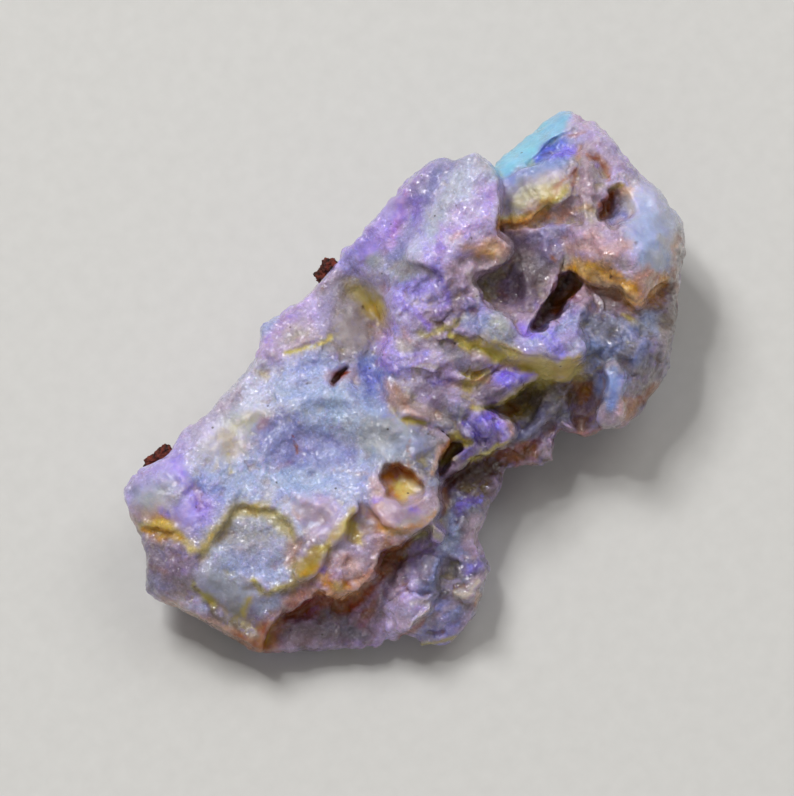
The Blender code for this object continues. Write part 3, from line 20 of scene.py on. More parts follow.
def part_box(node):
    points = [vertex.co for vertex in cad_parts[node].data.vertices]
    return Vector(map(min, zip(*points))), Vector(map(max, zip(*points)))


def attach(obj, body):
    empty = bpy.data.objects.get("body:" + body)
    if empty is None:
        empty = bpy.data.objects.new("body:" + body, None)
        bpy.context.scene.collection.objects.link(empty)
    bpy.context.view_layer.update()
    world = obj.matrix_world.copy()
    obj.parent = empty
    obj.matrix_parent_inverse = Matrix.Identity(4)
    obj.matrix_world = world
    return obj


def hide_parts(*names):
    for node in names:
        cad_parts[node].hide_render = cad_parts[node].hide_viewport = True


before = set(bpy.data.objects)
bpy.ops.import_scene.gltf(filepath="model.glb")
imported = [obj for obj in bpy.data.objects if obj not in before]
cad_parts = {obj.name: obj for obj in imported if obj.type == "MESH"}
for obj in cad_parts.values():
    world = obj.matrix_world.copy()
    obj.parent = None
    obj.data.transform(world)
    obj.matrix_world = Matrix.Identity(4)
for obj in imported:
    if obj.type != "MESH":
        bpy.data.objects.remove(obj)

Array = np.ndarray
Points = tuple[tuple[float, ...], ...]

LOG = logging.getLogger("rough opal")
CAD_NODE = "opal"
BODY = "root"

# The trace and how it lies in space, the same values as in the part's source
MM = 0.001
STONE_LENGTH = 0.046
TRACED_LENGTH = 655.0
UNIT = STONE_LENGTH / TRACED_LENGTH
SIGHT_ELEVATION = math.radians(68)
LONG_AXIS_TURN = math.radians(38)
PHOTO_SIZE = (794, 796)

# Noise that bends ledge lines and ripples the faces: sizes in trace units, heights in millimetres
NOISE_FALL = 0.9
NOISE_STEP = 2.1
WARP_SIZE = 15.0
WARP_REACH = 2.2
WARP_OFFSETS = (5.5, 61.2)
RIPPLES = ((42.0, 0.30, 3.1), (16.0, 0.16, 8.7))
HOLLOWS = ((62.0, 1.0, 21.3), (24.0, 0.35, 34.9))

TINY = 1e-12  # keeps a share of nothing from being a division by zero
WELD = 1e-6  # metres within which points become one

# Traced lines and spots
OUTLINE: Points = (
    (122, 489), (124, 484), (138, 475), (146, 466), (165, 455), (170, 451), (172, 446), (176, 440),
    (178, 434), (181, 429), (188, 424), (197, 422), (200, 417), (208, 411), (219, 398), (240, 378),
    (251, 364), (254, 357), (255, 352), (260, 345), (258, 327), (261, 322), (277, 314), (281, 318),
    (280, 312), (288, 306), (297, 301), (303, 295), (319, 281), (323, 276), (330, 270), (342, 249),
    (348, 244), (354, 241), (358, 236), (361, 235), (361, 230), (364, 224), (372, 219), (380, 211),
    (388, 205), (392, 200), (399, 196), (400, 188), (412, 173), (428, 160), (438, 158), (446, 158),
    (454, 160), (460, 159), (472, 153), (478, 151), (481, 152), (483, 156), (490, 160), (495, 166),
    (496, 162), (512, 151), (530, 137), (545, 124), (561, 110), (567, 108.5), (574, 110), (580, 114),
    (583, 117), (596, 119), (608, 131), (618, 144), (627, 155), (640, 169), (652, 181), (663, 193),
    (672, 204), (680, 213), (685, 220), (687, 240), (686, 258), (684, 272), (682, 292), (680, 298),
    (679, 310), (675, 335), (670, 358), (669, 369), (663, 384), (657, 389), (652, 395), (645, 409),
    (639, 414), (629, 425), (616, 429), (608, 429), (592, 436), (584, 438), (571, 432), (563, 431),
    (560, 432), (557, 438), (554, 453), (556, 459), (553, 463), (546, 462), (530, 466), (520, 466),
    (512, 467), (507, 470), (504, 475), (502, 483), (498, 492), (490, 507), (484, 525), (482, 528),
    (479, 529), (478, 538), (480, 548), (488, 562), (489, 570), (488, 578), (481, 592), (478, 600),
    (477, 610), (474, 618), (470, 624), (455, 641), (450, 644), (442, 645), (435, 644), (427, 645),
    (420, 648), (419, 638), (412, 634), (405, 633), (400, 634), (396, 638), (391, 637), (387, 635),
    (383, 637), (377, 646), (368, 647), (350, 649), (330, 649), (310, 651), (290, 652), (270, 653),
    (258, 652), (252, 650), (243, 644), (222, 632), (202, 620), (182, 609), (165, 600), (153, 593),
    (148, 588), (146, 582), (145, 572), (146, 565), (146, 556), (141, 536), (136, 530), (130, 520),
    (126, 511), (123, 500),
)

FOOT: Points = (
    (150, 590, 5), (250, 640, 3.2), (300, 630, 3.4), (330, 647, 2.4), (340, 612, 3.9), (385, 565, 4.6),
    (400, 600, 4.6), (410, 572, 4.8), (430, 555, 5.4), (400, 625, 3.4), (450, 640, 2.4), (460, 600, 4.3),
    (475, 600, 3.8), (455, 560, 4.9), (460, 510, 6.2), (480, 500, 5.6), (450, 490, 6), (490, 470, 5.5),
    (510, 455, 5.4), (545, 455, 5), (520, 425, 6.4), (525, 398, 5.8), (560, 400, 6.9), (590, 425, 5.8),
    (585, 400, 5.9), (620, 405, 7.4), (640, 405, 6.3), (640, 370, 8.4), (668, 370, 6.4), (678, 300, 6.9),
    (600, 340, 9.9), (640, 340, 9.5), (640, 318, 8.8), (660, 320, 8.5), (600, 310, 9.6), (575, 320, 10.4),
    (540, 390, 7.3), (500, 420, 6.5),
)

# Where the stone's widest line runs, seen along the line of sight: trace point and height
RIM_HEIGHTS: Points = (
    (122, 489, 6.6), (158, 459, 8), (219, 398, 8.5), (258, 340, 8.6), (300, 298, 8.9), (338, 256, 9.9),
    (361, 235, 11), (399, 196, 12.3), (440, 158, 13.8), (480, 152, 14.5), (496, 164, 10), (530, 137, 8.1),
    (567, 109, 8.3), (596, 119, 9), (640, 169, 8.6), (682, 215, 7.9), (687, 245, 6.9), (682, 292, 5.8),
    (670, 358, 5.2), (652, 395, 5), (629, 425, 5.3), (600, 432, 4.9), (562, 431, 4.6), (553, 462, 4.1),
    (510, 467, 4.3), (487, 517, 4.6), (478, 540, 4.1), (489, 570, 3.3), (477, 610, 2.6), (450, 644, 1.8),
    (420, 646, 1.7), (400, 634, 2.2), (330, 649, 1.6), (260, 652, 1.8), (222, 632, 3), (182, 609, 3.7),
    (148, 586, 4.1), (145, 565, 4.8), (136, 530, 5.8),
)


def strung(points: Points, closed: bool, steps: int = 3) -> Array:
    """A smooth line through points.

    Args:
        points: the points, each of two or three values.
        closed: whether the line comes back to its first point.
        steps: how many stretches lie between two points.

    Returns:
        The line's points, one a row.
    """
    known = np.array(points, float)
    count = len(known)
    before, after, beyond = (np.roll(known, shift, axis=0) for shift in (1, -1, -2))
    if not closed:
        before[0] = 2 * known[0] - known[1]
        beyond[-2] = 2 * known[-1] - known[-2]
        count -= 1
    share = (np.arange(steps) / steps)[None, :, None]
    a, b, c, d = (side[:count, None, :] for side in (before, known, after, beyond))
    line = 0.5 * (
        2 * b + (c - a) * share + (2 * a - 5 * b + 4 * c - d) * share**2 + (3 * b - a - 3 * c + d) * share**3
    )
    line = line.reshape(-1, known.shape[1])
    return line if closed else np.vstack([line, known[-1]])


def eased(low: float | Array, high: float | Array, value: Array) -> Array:
    """0 below low, 1 above high, and an even curve between."""
    share = np.clip((value - low) / (high - low), 0, 1)
    return share * share * (3 - 2 * share)


def to_stretch(x: Array, y: Array, start: Array, end: Array) -> tuple[Array, Array, Array]:
    """Where trace points lie beside one straight stretch.

    Args:
        x: the points' first coordinates.
        y: their second ones.
        start: where the stretch starts.
        end: where it ends.

    Returns:
        The distances to it, the shares of it passed, and the side, positive on its left.
    """
    across, down = end[0] - start[0], end[1] - start[1]
    share = ((x - start[0]) * across + (y - start[1]) * down) / (across**2 + down**2 + TINY)
    share = np.clip(share, 0, 1)
    gap = np.hypot(x - start[0] - share * across, y - start[1] - share * down)
    return gap, share, (x - start[0]) * down - (y - start[1]) * across


def inside_by(x: Array, y: Array, loop: Array) -> tuple[Array, Array]:
    """How far inside a closed line trace points lie.

    Args:
        x: the points' first coordinates.
        y: their second ones.
        loop: the line's points, each with an edge value as its third.

    Returns:
        The depths, negative outside, and the edge value of the nearest stretch.
    """
    gap = np.full(x.shape, np.inf)
    edge = np.zeros(x.shape)
    within = np.zeros(x.shape, bool)
    for start, end in zip(loop, np.roll(loop, -1, axis=0), strict=True):
        near, share, _ = to_stretch(x, y, start, end)
        closer = near < gap
        gap = np.where(closer, near, gap)
        edge = np.where(closer, start[2] + (end[2] - start[2]) * share, edge)
        if start[1] != end[1]:
            crossing = (end[0] - start[0]) * (y - start[1]) / (end[1] - start[1]) + start[0]
            within ^= ((start[1] > y) != (end[1] > y)) & (x < crossing)
    return np.where(within, gap, -gap), edge


def outline() -> Array:
    """The stone's outline as inside_by() takes it, with no edge values of its own."""
    return np.array([(*point, 0) for point in OUTLINE], float)


def nearest_on_outline(x: Array, y: Array) -> Array:
    """The outline's nearest point to each trace point, one a row."""
    loop = np.array(OUTLINE, float)
    best = np.full(x.shape, np.inf)
    found = np.zeros((len(x), 2))
    for start, end in zip(loop, np.roll(loop, -1, axis=0), strict=True):
        gap, share, _ = to_stretch(x, y, start, end)
        closer = gap < best
        best = np.where(closer, gap, best)
        found[closer] = start + (end - start) * share[closer, None]
    return found


def close_to(x: Array, y: Array, line: Array, reach: float) -> Array:
    """Which trace points lie in a line's box, widened by reach."""
    low, high = line[:, :2].min(axis=0) - reach, line[:, :2].max(axis=0) + reach
    return (x > low[0]) & (x < high[0]) & (y > low[1]) & (y < high[1])


def noise_at(x: Array, y: Array, size: float, offset: float, octaves: int = 3) -> Array:
    """Fractal noise, about -1 to 1, over trace points."""
    points = zip(x / size, y / size, strict=True)
    return np.array([
        noise.fractal(Vector((u, v, offset)), NOISE_FALL, NOISE_STEP, octaves) for u, v in points
    ])


def placed(x: Array, y: Array, height: Array) -> Array:
    """World points of trace points.

    Args:
        x: the first trace coordinates.
        y: the second ones.
        height: heights in millimetres.

    Returns:
        The points in metres, one a row, before the box is centred on the origin.
    """
    level = height * MM
    back = (-y * UNIT - level * math.cos(SIGHT_ELEVATION)) / math.sin(SIGHT_ELEVATION)
    right = x * UNIT
    turn_cos, turn_sin = math.cos(LONG_AXIS_TURN), math.sin(LONG_AXIS_TURN)
    return np.column_stack([right * turn_cos + back * turn_sin, back * turn_cos - right * turn_sin, level])


def traced(points: Array) -> tuple[Array, Array]:
    """Trace coordinates of world points, the way back from placed().

    Args:
        points: world points in metres, before the box is centred on the origin.

    Returns:
        The first and the second trace coordinates.
    """
    turn_cos, turn_sin = math.cos(LONG_AXIS_TURN), math.sin(LONG_AXIS_TURN)
    right = points[:, 0] * turn_cos - points[:, 1] * turn_sin
    back = points[:, 0] * turn_sin + points[:, 1] * turn_cos
    seen = back * math.sin(SIGHT_ELEVATION) + points[:, 2] * math.cos(SIGHT_ELEVATION)
    return right / UNIT, -seen / UNIT


def sight() -> Vector:
    """The direction from the stone towards the eye."""
    flat = math.cos(SIGHT_ELEVATION)
    return Vector(
        (-math.sin(LONG_AXIS_TURN) * flat, -math.cos(LONG_AXIS_TURN) * flat, math.sin(SIGHT_ELEVATION))
    )


@dataclass(frozen=True)
class Sheet:
    """A smooth surface through spots.

    Attributes:
        spots: trace points, each with its value.
        softness: trace units over which a spot is rounded off.
    """

    spots: Points
    softness: float = 18.0

    def at(self, x: Array, y: Array) -> Array:
        """The surface's values over trace points."""
        spots = np.array(self.spots, float)
        centres = spots[:, :2]
        level = spots[:, 2].mean()
        gaps = np.linalg.norm(centres[:, None] - centres[None], axis=2)
        weights = np.linalg.solve(np.hypot(gaps, self.softness), spots[:, 2] - level)
        value = np.full(x.shape, level)
        for (u, v), weight in zip(centres, weights, strict=True):
            value += weight * np.sqrt((x - u) ** 2 + (y - v) ** 2 + self.softness**2)
        return value


@dataclass
class Relief:
    """Heights over trace points, which landforms change one after another.

    Attributes:
        x: first trace coordinates.
        y: second trace coordinates.
        height: heights in millimetres.
        bent_x: first coordinates, moved by the noise that bends ledge lines.
        bent_y: second coordinates, moved the same way.
    """

    x: Array
    y: Array
    height: Array
    bent_x: Array
    bent_y: Array

    @classmethod
    def over(cls, x: Array, y: Array) -> "Relief":
        """The foot's plain surface over trace points."""
        bend_x, bend_y = (WARP_REACH * noise_at(x, y, WARP_SIZE, offset) for offset in WARP_OFFSETS)
        return cls(x, y, Sheet(FOOT).at(x, y), x + bend_x, y + bend_y)


class Mode(Enum):
    """How a plate takes the place of what is there already."""

    SET = auto()
    CARVE = auto()  # where it is lower, it stays as it is


@dataclass(frozen=True)
class Plate:
    """A region with its own surface. A rim point's third value is how softly that stretch steps down.

    Attributes:
        name: what the region is.
        rim: its outline in trace points.
        spots: trace points on it with their heights in millimetres.
        edge: how softly the rim steps down where a rim point says nothing.
        mode: how it takes the place of what is there.
    """

    name: str
    rim: Points
    spots: Points
    edge: float = 2.0
    mode: Mode = Mode.SET

    def shape(self, relief: Relief) -> None:
        """Lays the region into the relief."""
        corners = tuple(point if len(point) == 3 else (*point, self.edge) for point in self.rim)
        rim = strung(corners, closed=True)
        near = close_to(relief.x, relief.y, rim, rim[:, 2].max() + 2 * WARP_REACH)
        depth, edge = inside_by(relief.bent_x[near], relief.bent_y[near], rim)
        old = relief.height[near]
        new = Sheet(self.spots).at(relief.x[near], relief.y[near])
        if self.mode is Mode.CARVE:
            new = np.minimum(new, old)
        relief.height[near] = old + (new - old) * eased(-edge, edge, depth)


class Profile(Enum):
    """What a stroke looks like when it is cut across."""

    ROUND = auto()
    SHARP = auto()
    LIP = auto()  # a step whose high side is on the line's left


@dataclass(frozen=True)
class Stroke:
    """A rib, a furrow or a lip along a line.

    Attributes:
        name: what the line is.
        path: its trace points.
        rise: its height in millimetres, negative for a furrow.
        width: how far it spreads, in trace units.
        profile: its cut across.
        cliff: half the width of a lip's step, in trace units.
        fade: share of the line over which each end dies away.
    """

    name: str
    path: Points
    rise: float
    width: float
    profile: Profile = Profile.ROUND
    cliff: float = 1.5
    fade: float = 0.15

    def shape(self, relief: Relief) -> None:
        """Draws the line into the relief."""
        path = strung(self.path, closed=False)
        near = close_to(relief.x, relief.y, path, 3 * self.width)
        gap = np.full(int(near.sum()), np.inf)
        side = np.zeros(gap.shape)
        passed = np.zeros(gap.shape)
        lengths = np.linalg.norm(np.diff(path, axis=0), axis=1)
        starts = np.concatenate([[0], np.cumsum(lengths)])
        bent = relief.bent_x[near], relief.bent_y[near]
        for start, end, before, length in zip(path[:-1], path[1:], starts[:-1], lengths, strict=True):
            away, share, turn = to_stretch(*bent, start, end)
            closer = away < gap
            gap = np.where(closer, away, gap)
            side = np.where(closer, turn, side)
            passed = np.where(closer, (before + share * length) / starts[-1], passed)
        ends = eased(0, self.fade, passed) * eased(0, self.fade, 1 - passed)
        relief.height[near] += self.rise * self.cut(gap, side) * ends

    def cut(self, gap: Array, side: Array) -> Array:
        """The line's cut across, 0 to 1.

        Args:
            gap: distances to the line, in trace units.
            side: the side that the points lie on, positive on the line's left.

        Returns:
            The shares of the rise.
        """
        if self.profile is Profile.SHARP:
            return np.clip(1 - gap / self.width, 0, 1)
        if self.profile is Profile.ROUND:
            return np.exp(-((gap / self.width) ** 2))
        onto = np.where(side > 0, gap, -gap)
        return eased(-self.cliff, self.cliff, onto) * np.exp(-((np.maximum(onto, 0) / self.width) ** 2))


@dataclass(frozen=True)
class Region:
    """One part of the stone's seen side.

    Attributes:
        name: what the region is.
        plates: its surfaces, in the order that they are laid.
        strokes: the lines drawn over every region's plates.
    """

    name: str
    plates: tuple[Plate, ...] = ()
    strokes: tuple[Stroke, ...] = ()


# The three masses that stand above the foot, lowest first
MASSES_FORMS = Region("masses", (
    Plate("slab", (
        (110, 489), (140, 462), (170, 440), (190, 415), (235, 372), (248, 350), (250, 322), (290, 295),
        (330, 262), (348, 250), (364, 262), (372, 285), (384, 308), (394, 330), (396, 360), (404, 395),
        (425, 418), (445, 434), (450, 437), (449, 442), (443, 450), (437, 466), (436, 475), (443, 480),
        (440, 487), (441, 497), (443, 505), (441, 512), (436, 518), (430, 523), (410, 537), (400, 544),
        (390, 547), (381, 551), (378, 557), (374, 572), (370, 579), (352, 593), (342, 596), (334, 597),
        (326, 595), (320, 590), (314, 597), (300, 606), (290, 609), (282, 613), (271, 627), (267, 635),
        (264, 645), (262, 665), (200, 640), (140, 610), (130, 560), (110, 520),
    ), (
        (130, 488, 7.6), (150, 510, 7.7), (180, 450, 8.6), (165, 480, 8.9), (220, 430, 9.2), (250, 450, 9.3),
        (255, 385, 9.4), (290, 350, 9.8), (320, 300, 9.9), (335, 275, 10.1), (300, 400, 9.7),
        (345, 400, 9.7), (380, 420, 9.8), (445, 440, 9.4), (310, 445, 8.5), (340, 445, 8.6), (290, 470, 8.7),
        (330, 490, 9), (240, 490, 9), (300, 520, 9), (330, 515, 9.3), (385, 520, 9.2), (420, 512, 9.2),
        (438, 500, 8.9), (400, 538, 8.5), (350, 530, 8.7), (350, 580, 7.4), (330, 594, 6.8), (368, 570, 7.5),
        (300, 565, 7.6), (270, 590, 6.6), (258, 620, 5), (230, 612, 5.3), (165, 570, 6.7), (170, 540, 7.5),
        (200, 540, 8.4), (150, 590, 5.2), (350, 290, 9.2), (370, 315, 8.8), (345, 330, 9.7), (360, 362, 9),
        (375, 388, 8.8), (260, 560, 7.7), (220, 580, 7),
    ), 1.8),
    Plate("crest", (
        (350, 262, 6), (340, 252, 5), (352, 230), (390, 190), (430, 145), (480, 140), (495, 160), (503, 182),
        (503, 195), (502, 215), (496, 230), (503, 238), (510, 243), (513, 248), (511, 256), (507, 262),
        (500, 268), (478, 277), (474, 280), (478, 287), (482, 300), (490, 305), (496, 311), (506, 314),
        (512, 318), (518, 334), (510, 345), (480, 342), (456, 340, 3), (462, 372, 3), (470, 392, 4),
        (462, 410, 4), (452, 428, 3), (430, 426, 3), (404, 416, 4), (390, 404, 5), (384, 388, 5),
        (380, 372, 4), (381, 352, 5), (388, 334, 6), (384, 318, 8), (372, 300, 10), (360, 282, 10),
    ), (
        (361, 235, 12), (352, 258, 10.6), (440, 162, 14.8), (478, 155, 15.5), (501, 195, 15.2),
        (450, 190, 15.3), (415, 215, 13.6), (400, 240, 12.9), (388, 262, 12.2), (420, 250, 14.1),
        (440, 235, 14.6), (480, 225, 15.3), (510, 250, 14.1), (500, 262, 13.5), (474, 280, 12.9),
        (440, 270, 13.8), (420, 290, 13), (400, 310, 12.2), (470, 310, 12.6), (490, 310, 13),
        (512, 322, 12.8), (392, 330, 11), (396, 350, 11.3), (386, 365, 10.4), (430, 418, 9.8),
        (440, 400, 10.3), (430, 345, 11.7), (460, 330, 12.4), (450, 385, 10.5), (465, 395, 10.2),
        (380, 300, 10.4),
    ), 2),
    Plate("head", (
        (496, 150), (540, 105), (590, 100), (650, 160), (700, 215), (705, 280), (682, 282, 5), (668, 282, 3),
        (662, 284), (650, 296), (645, 305), (640, 310), (632, 306), (628, 298), (622, 292), (615, 287),
        (600, 283), (585, 280), (573, 268), (566, 274), (560, 275), (560, 272), (565, 262), (560, 245, 4),
        (556, 228, 3), (545, 224), (520, 226), (505, 226), (498, 230), (500, 215), (501, 195), (498, 175),
    ), (
        (496, 165, 9.6), (530, 140, 9), (503, 178, 11.2), (540, 155, 10.7), (575, 130, 10.7),
        (590, 122, 10.9), (622, 156, 10.4), (642, 178, 10.3), (680, 222, 9.2), (684, 262, 7.9),
        (620, 170, 11.2), (674, 240, 10.2), (600, 175, 12.1), (570, 235, 11.6), (620, 242, 12.8),
        (640, 250, 12.5), (610, 262, 12.3), (585, 262, 11.9), (652, 280, 11), (640, 297, 10.6),
        (620, 280, 11.2), (600, 276, 11.1), (572, 262, 10.9), (505, 200, 11.6), (530, 185, 12),
        (560, 170, 12.3), (560, 195, 12.3), (530, 212, 11.7), (560, 215, 11.5), (590, 150, 12),
        (672, 265, 9.6), (680, 285, 8),
    ), 2),
))

# What juts from the wing's near side, and the ridges and ledges on the wing
WING_FORMS = Region("wing", (
    Plate("tongue flank", (
        (452, 336), (470, 334), (490, 342), (510, 350), (530, 357), (550, 359), (570, 358), (582, 353),
        (585, 358), (580, 367), (573, 376), (565, 380), (545, 378), (530, 376), (512, 374), (500, 372),
        (490, 366), (478, 358), (464, 351), (450, 345),
    ), (
        (455, 336, 12), (454, 344, 11.6), (484, 360, 10.9), (470, 336, 11.9), (490, 344, 11.8),
        (510, 352, 11.6), (530, 359, 11.3), (570, 360, 10.9), (580, 357, 10.6), (497, 358, 10.6),
        (500, 367, 10.2), (510, 368, 9.9), (530, 372, 9.2), (545, 377, 8.9), (556, 378, 8.8),
        (565, 378, 8.8), (575, 370, 9),
    ), 1.6),
    Plate("fin", (
        (468, 386), (478, 381), (500, 368), (515, 367), (538, 373), (536, 379), (531, 384), (518, 394),
        (500, 402), (480, 408), (466, 408, 4), (458, 398, 4),
    ), (
        (470, 388, 10.2), (485, 380, 10.1), (515, 369, 10), (532, 373, 9.8), (525, 384, 9.9),
        (510, 392, 10.2), (500, 398, 10.2), (470, 400, 10), (500, 385, 10.7), (515, 379, 10.5),
    ), 1.5),
    Plate("finger flank", (
        (440, 362), (470, 376), (480, 373), (490, 366), (496, 360), (499, 364), (492, 372), (485, 384),
        (472, 390), (455, 386), (440, 375),
    ), (
        (440, 368, 10.9), (470, 378, 10.9), (485, 372, 10.8), (495, 363, 10.9), (490, 374, 10.3),
        (480, 384, 10.1), (468, 386, 10.1),
    ), 3.5),
    Plate("finger", (
        (425, 343, 3), (440, 341), (455, 342), (470, 347), (493, 355), (495, 360), (492, 365), (470, 377),
        (445, 371), (432, 369), (420, 366, 3), (414, 356, 4),
    ), (
        (428, 345, 11.7), (445, 344, 11.6), (470, 350, 11.4), (492, 362, 10.9), (478, 370, 10.9),
        (460, 370, 11), (430, 366, 11.1), (460, 356, 11.9), (480, 360, 11.6),
    ), 1.6),
    Plate("tongue", (
        (462, 330), (470, 322), (483, 302), (496, 311), (506, 314), (512, 318), (520, 334), (526, 335),
        (535, 330), (541, 329), (549, 321), (553, 319), (557, 321), (560, 324), (565, 326), (570, 322, 2.5),
        (578, 322, 3), (584, 330), (585, 342), (583, 352), (575, 356), (565, 359), (550, 359), (530, 357),
        (520, 354), (500, 345), (490, 342), (480, 337), (470, 334),
    ), (
        (466, 330, 12.5), (480, 305, 12.9), (480, 320, 13.1), (512, 322, 12.9), (500, 338, 12.7),
        (520, 338, 12.4), (538, 333, 12.3), (560, 340, 12.3), (580, 332, 11.6), (583, 345, 11.4),
        (570, 356, 11.7), (545, 356, 11.9), (520, 350, 12.2), (545, 345, 12.4), (490, 336, 12.7),
        (572, 325, 11.7),
    ), 1.5),
    Plate("blade", (
        (455, 420), (465, 410), (475, 406), (485, 408), (503, 417), (514, 424), (516, 431), (514, 437),
        (508, 442), (492, 451), (484, 453), (478, 456), (462, 469), (455, 473), (445, 481), (441, 487),
        (440, 480), (444, 472, 2.5), (450, 462, 3), (464, 445, 2.5), (462, 438), (452, 430),
    ), (
        (458, 420, 10), (470, 410, 9.9), (500, 418, 9.2), (513, 428, 8.7), (495, 447, 8.5), (490, 430, 9.7),
        (475, 430, 9.9), (465, 440, 9.2), (462, 460, 8.3), (444, 482, 7),
    ), 1.5),
    Plate("notch", (
        (449, 438), (455, 436), (462, 440), (466, 446), (458, 452), (450, 462), (440, 480), (436, 475),
        (437, 466), (443, 450),
    ), (
        (452, 440, 8.7), (460, 445, 8.8), (446, 452, 8), (440, 475, 7.3), (452, 455, 8.2),
    ), 1.5, Mode.CARVE),
    Plate("neck", (
        (444, 402), (456, 398), (478, 406), (476, 414), (464, 418), (452, 416), (443, 410),
    ), (
        (450, 404, 10.5), (464, 404, 10.3), (475, 409, 10), (462, 415, 10), (450, 412, 10.2),
    ), 4),
    Plate("olive wedge", (
        (443, 427), (450, 427), (460, 434), (470, 437), (474, 441), (466, 447), (458, 444), (451, 440),
    ), (
        (447, 430, 9.4), (452, 434, 9.3), (462, 438, 9.1), (470, 441, 8.8), (456, 441, 8.7),
    ), 2),
), (
    Stroke("violet furrow", (
        (446, 158), (436, 175), (425, 198), (415, 220), (402, 245), (390, 262), (384, 278),
    ), -0.25, 14),
    Stroke("white ridge", (
        (466, 160), (458, 185), (446, 205), (430, 228), (415, 248), (402, 262),
    ), 0.15, 14),
    Stroke("outer ridge", ((418, 168), (404, 192), (396, 212), (384, 232), (374, 248)), 0.3, 8),
    Stroke("outer furrow", ((392, 200), (384, 222), (372, 240), (366, 256)), -0.2, 6),
    Stroke("ledge under the white ridge", (
        (400, 263), (424, 264), (434, 268), (441, 276), (445, 288),
    ), 0.55, 16, Profile.LIP, 1.6),
    Stroke("lobe rim", ((455, 262), (468, 258), (482, 262), (494, 264)), -0.35, 6),
    Stroke("lobe shelf", ((468, 240), (480, 238), (495, 240), (505, 246)), -0.3, 9),
    Stroke("violet chip", ((409, 296), (416, 287), (424, 279), (433, 276)), 0.35, 12, Profile.LIP, 2.5),
    Stroke("chip groove", ((415, 300), (424, 303), (434, 302), (440, 297)), -0.25, 4),
    Stroke("chip edge", ((434, 276), (436, 285), (440, 294), (438, 302)), 0.22, 3.5, Profile.SHARP),
    Stroke("mass ridge", ((476, 262), (468, 272), (462, 284), (466, 292)), 0.3, 6),
    Stroke("tongue ledge", ((456, 328), (462, 320), (478, 308), (480, 303)), -0.45, 4),
    Stroke("cream knuckle", ((466, 297), (474, 303), (477, 310)), 0.25, 4),
    Stroke("cheek ridge", ((398, 292), (394, 308), (392, 322), (386, 336), (380, 352), (379, 366)), 0.35, 9),
    Stroke("cheek hollow", ((405, 336), (400, 345), (395, 354)), -0.2, 6),
    Stroke("purple dent 1", ((402, 308), (410, 318), (416, 326)), -0.3, 8),
    Stroke("purple dent 2", ((424, 312), (434, 322), (446, 326)), -0.3, 8),
    Stroke("finger groove", ((446, 336), (458, 340), (472, 344), (486, 349), (497, 356)), -0.25, 4),
    Stroke("finger step", ((412, 366), (420, 369), (430, 371), (440, 372)), 0.45, 12, Profile.LIP, 1.4),
    Stroke("dark dent", ((430, 390), (438, 385), (446, 378)), -0.15, 6),
    Stroke("dent 3", ((424, 384), (432, 380)), -0.25, 6),
    Stroke("mass furrow", ((456, 376), (450, 392), (442, 406), (428, 418)), -0.3, 8),
    Stroke("mass rib", ((408, 380), (405, 395), (412, 410), (424, 417)), 0.3, 6),
    Stroke("fin ridge", ((478, 398), (495, 390), (515, 380), (532, 374)), 0.3, 5),
    Stroke("blade rib 1", ((462, 414), (470, 425), (478, 436), (484, 446)), -0.6, 4),
    Stroke("blade rib 2", ((476, 410), (484, 420), (488, 432)), 0.5, 4),
    Stroke("blade dent", ((494, 416), (498, 428), (494, 440)), -0.4, 4),
    Stroke("blade rib 3", ((470, 432), (462, 448), (452, 462)), 0.4, 4),
    Stroke("lens ledge", (
        (398, 420), (406, 417), (414, 417), (422, 420), (428, 426),
    ), 0.5, 9, Profile.LIP, 2),
))

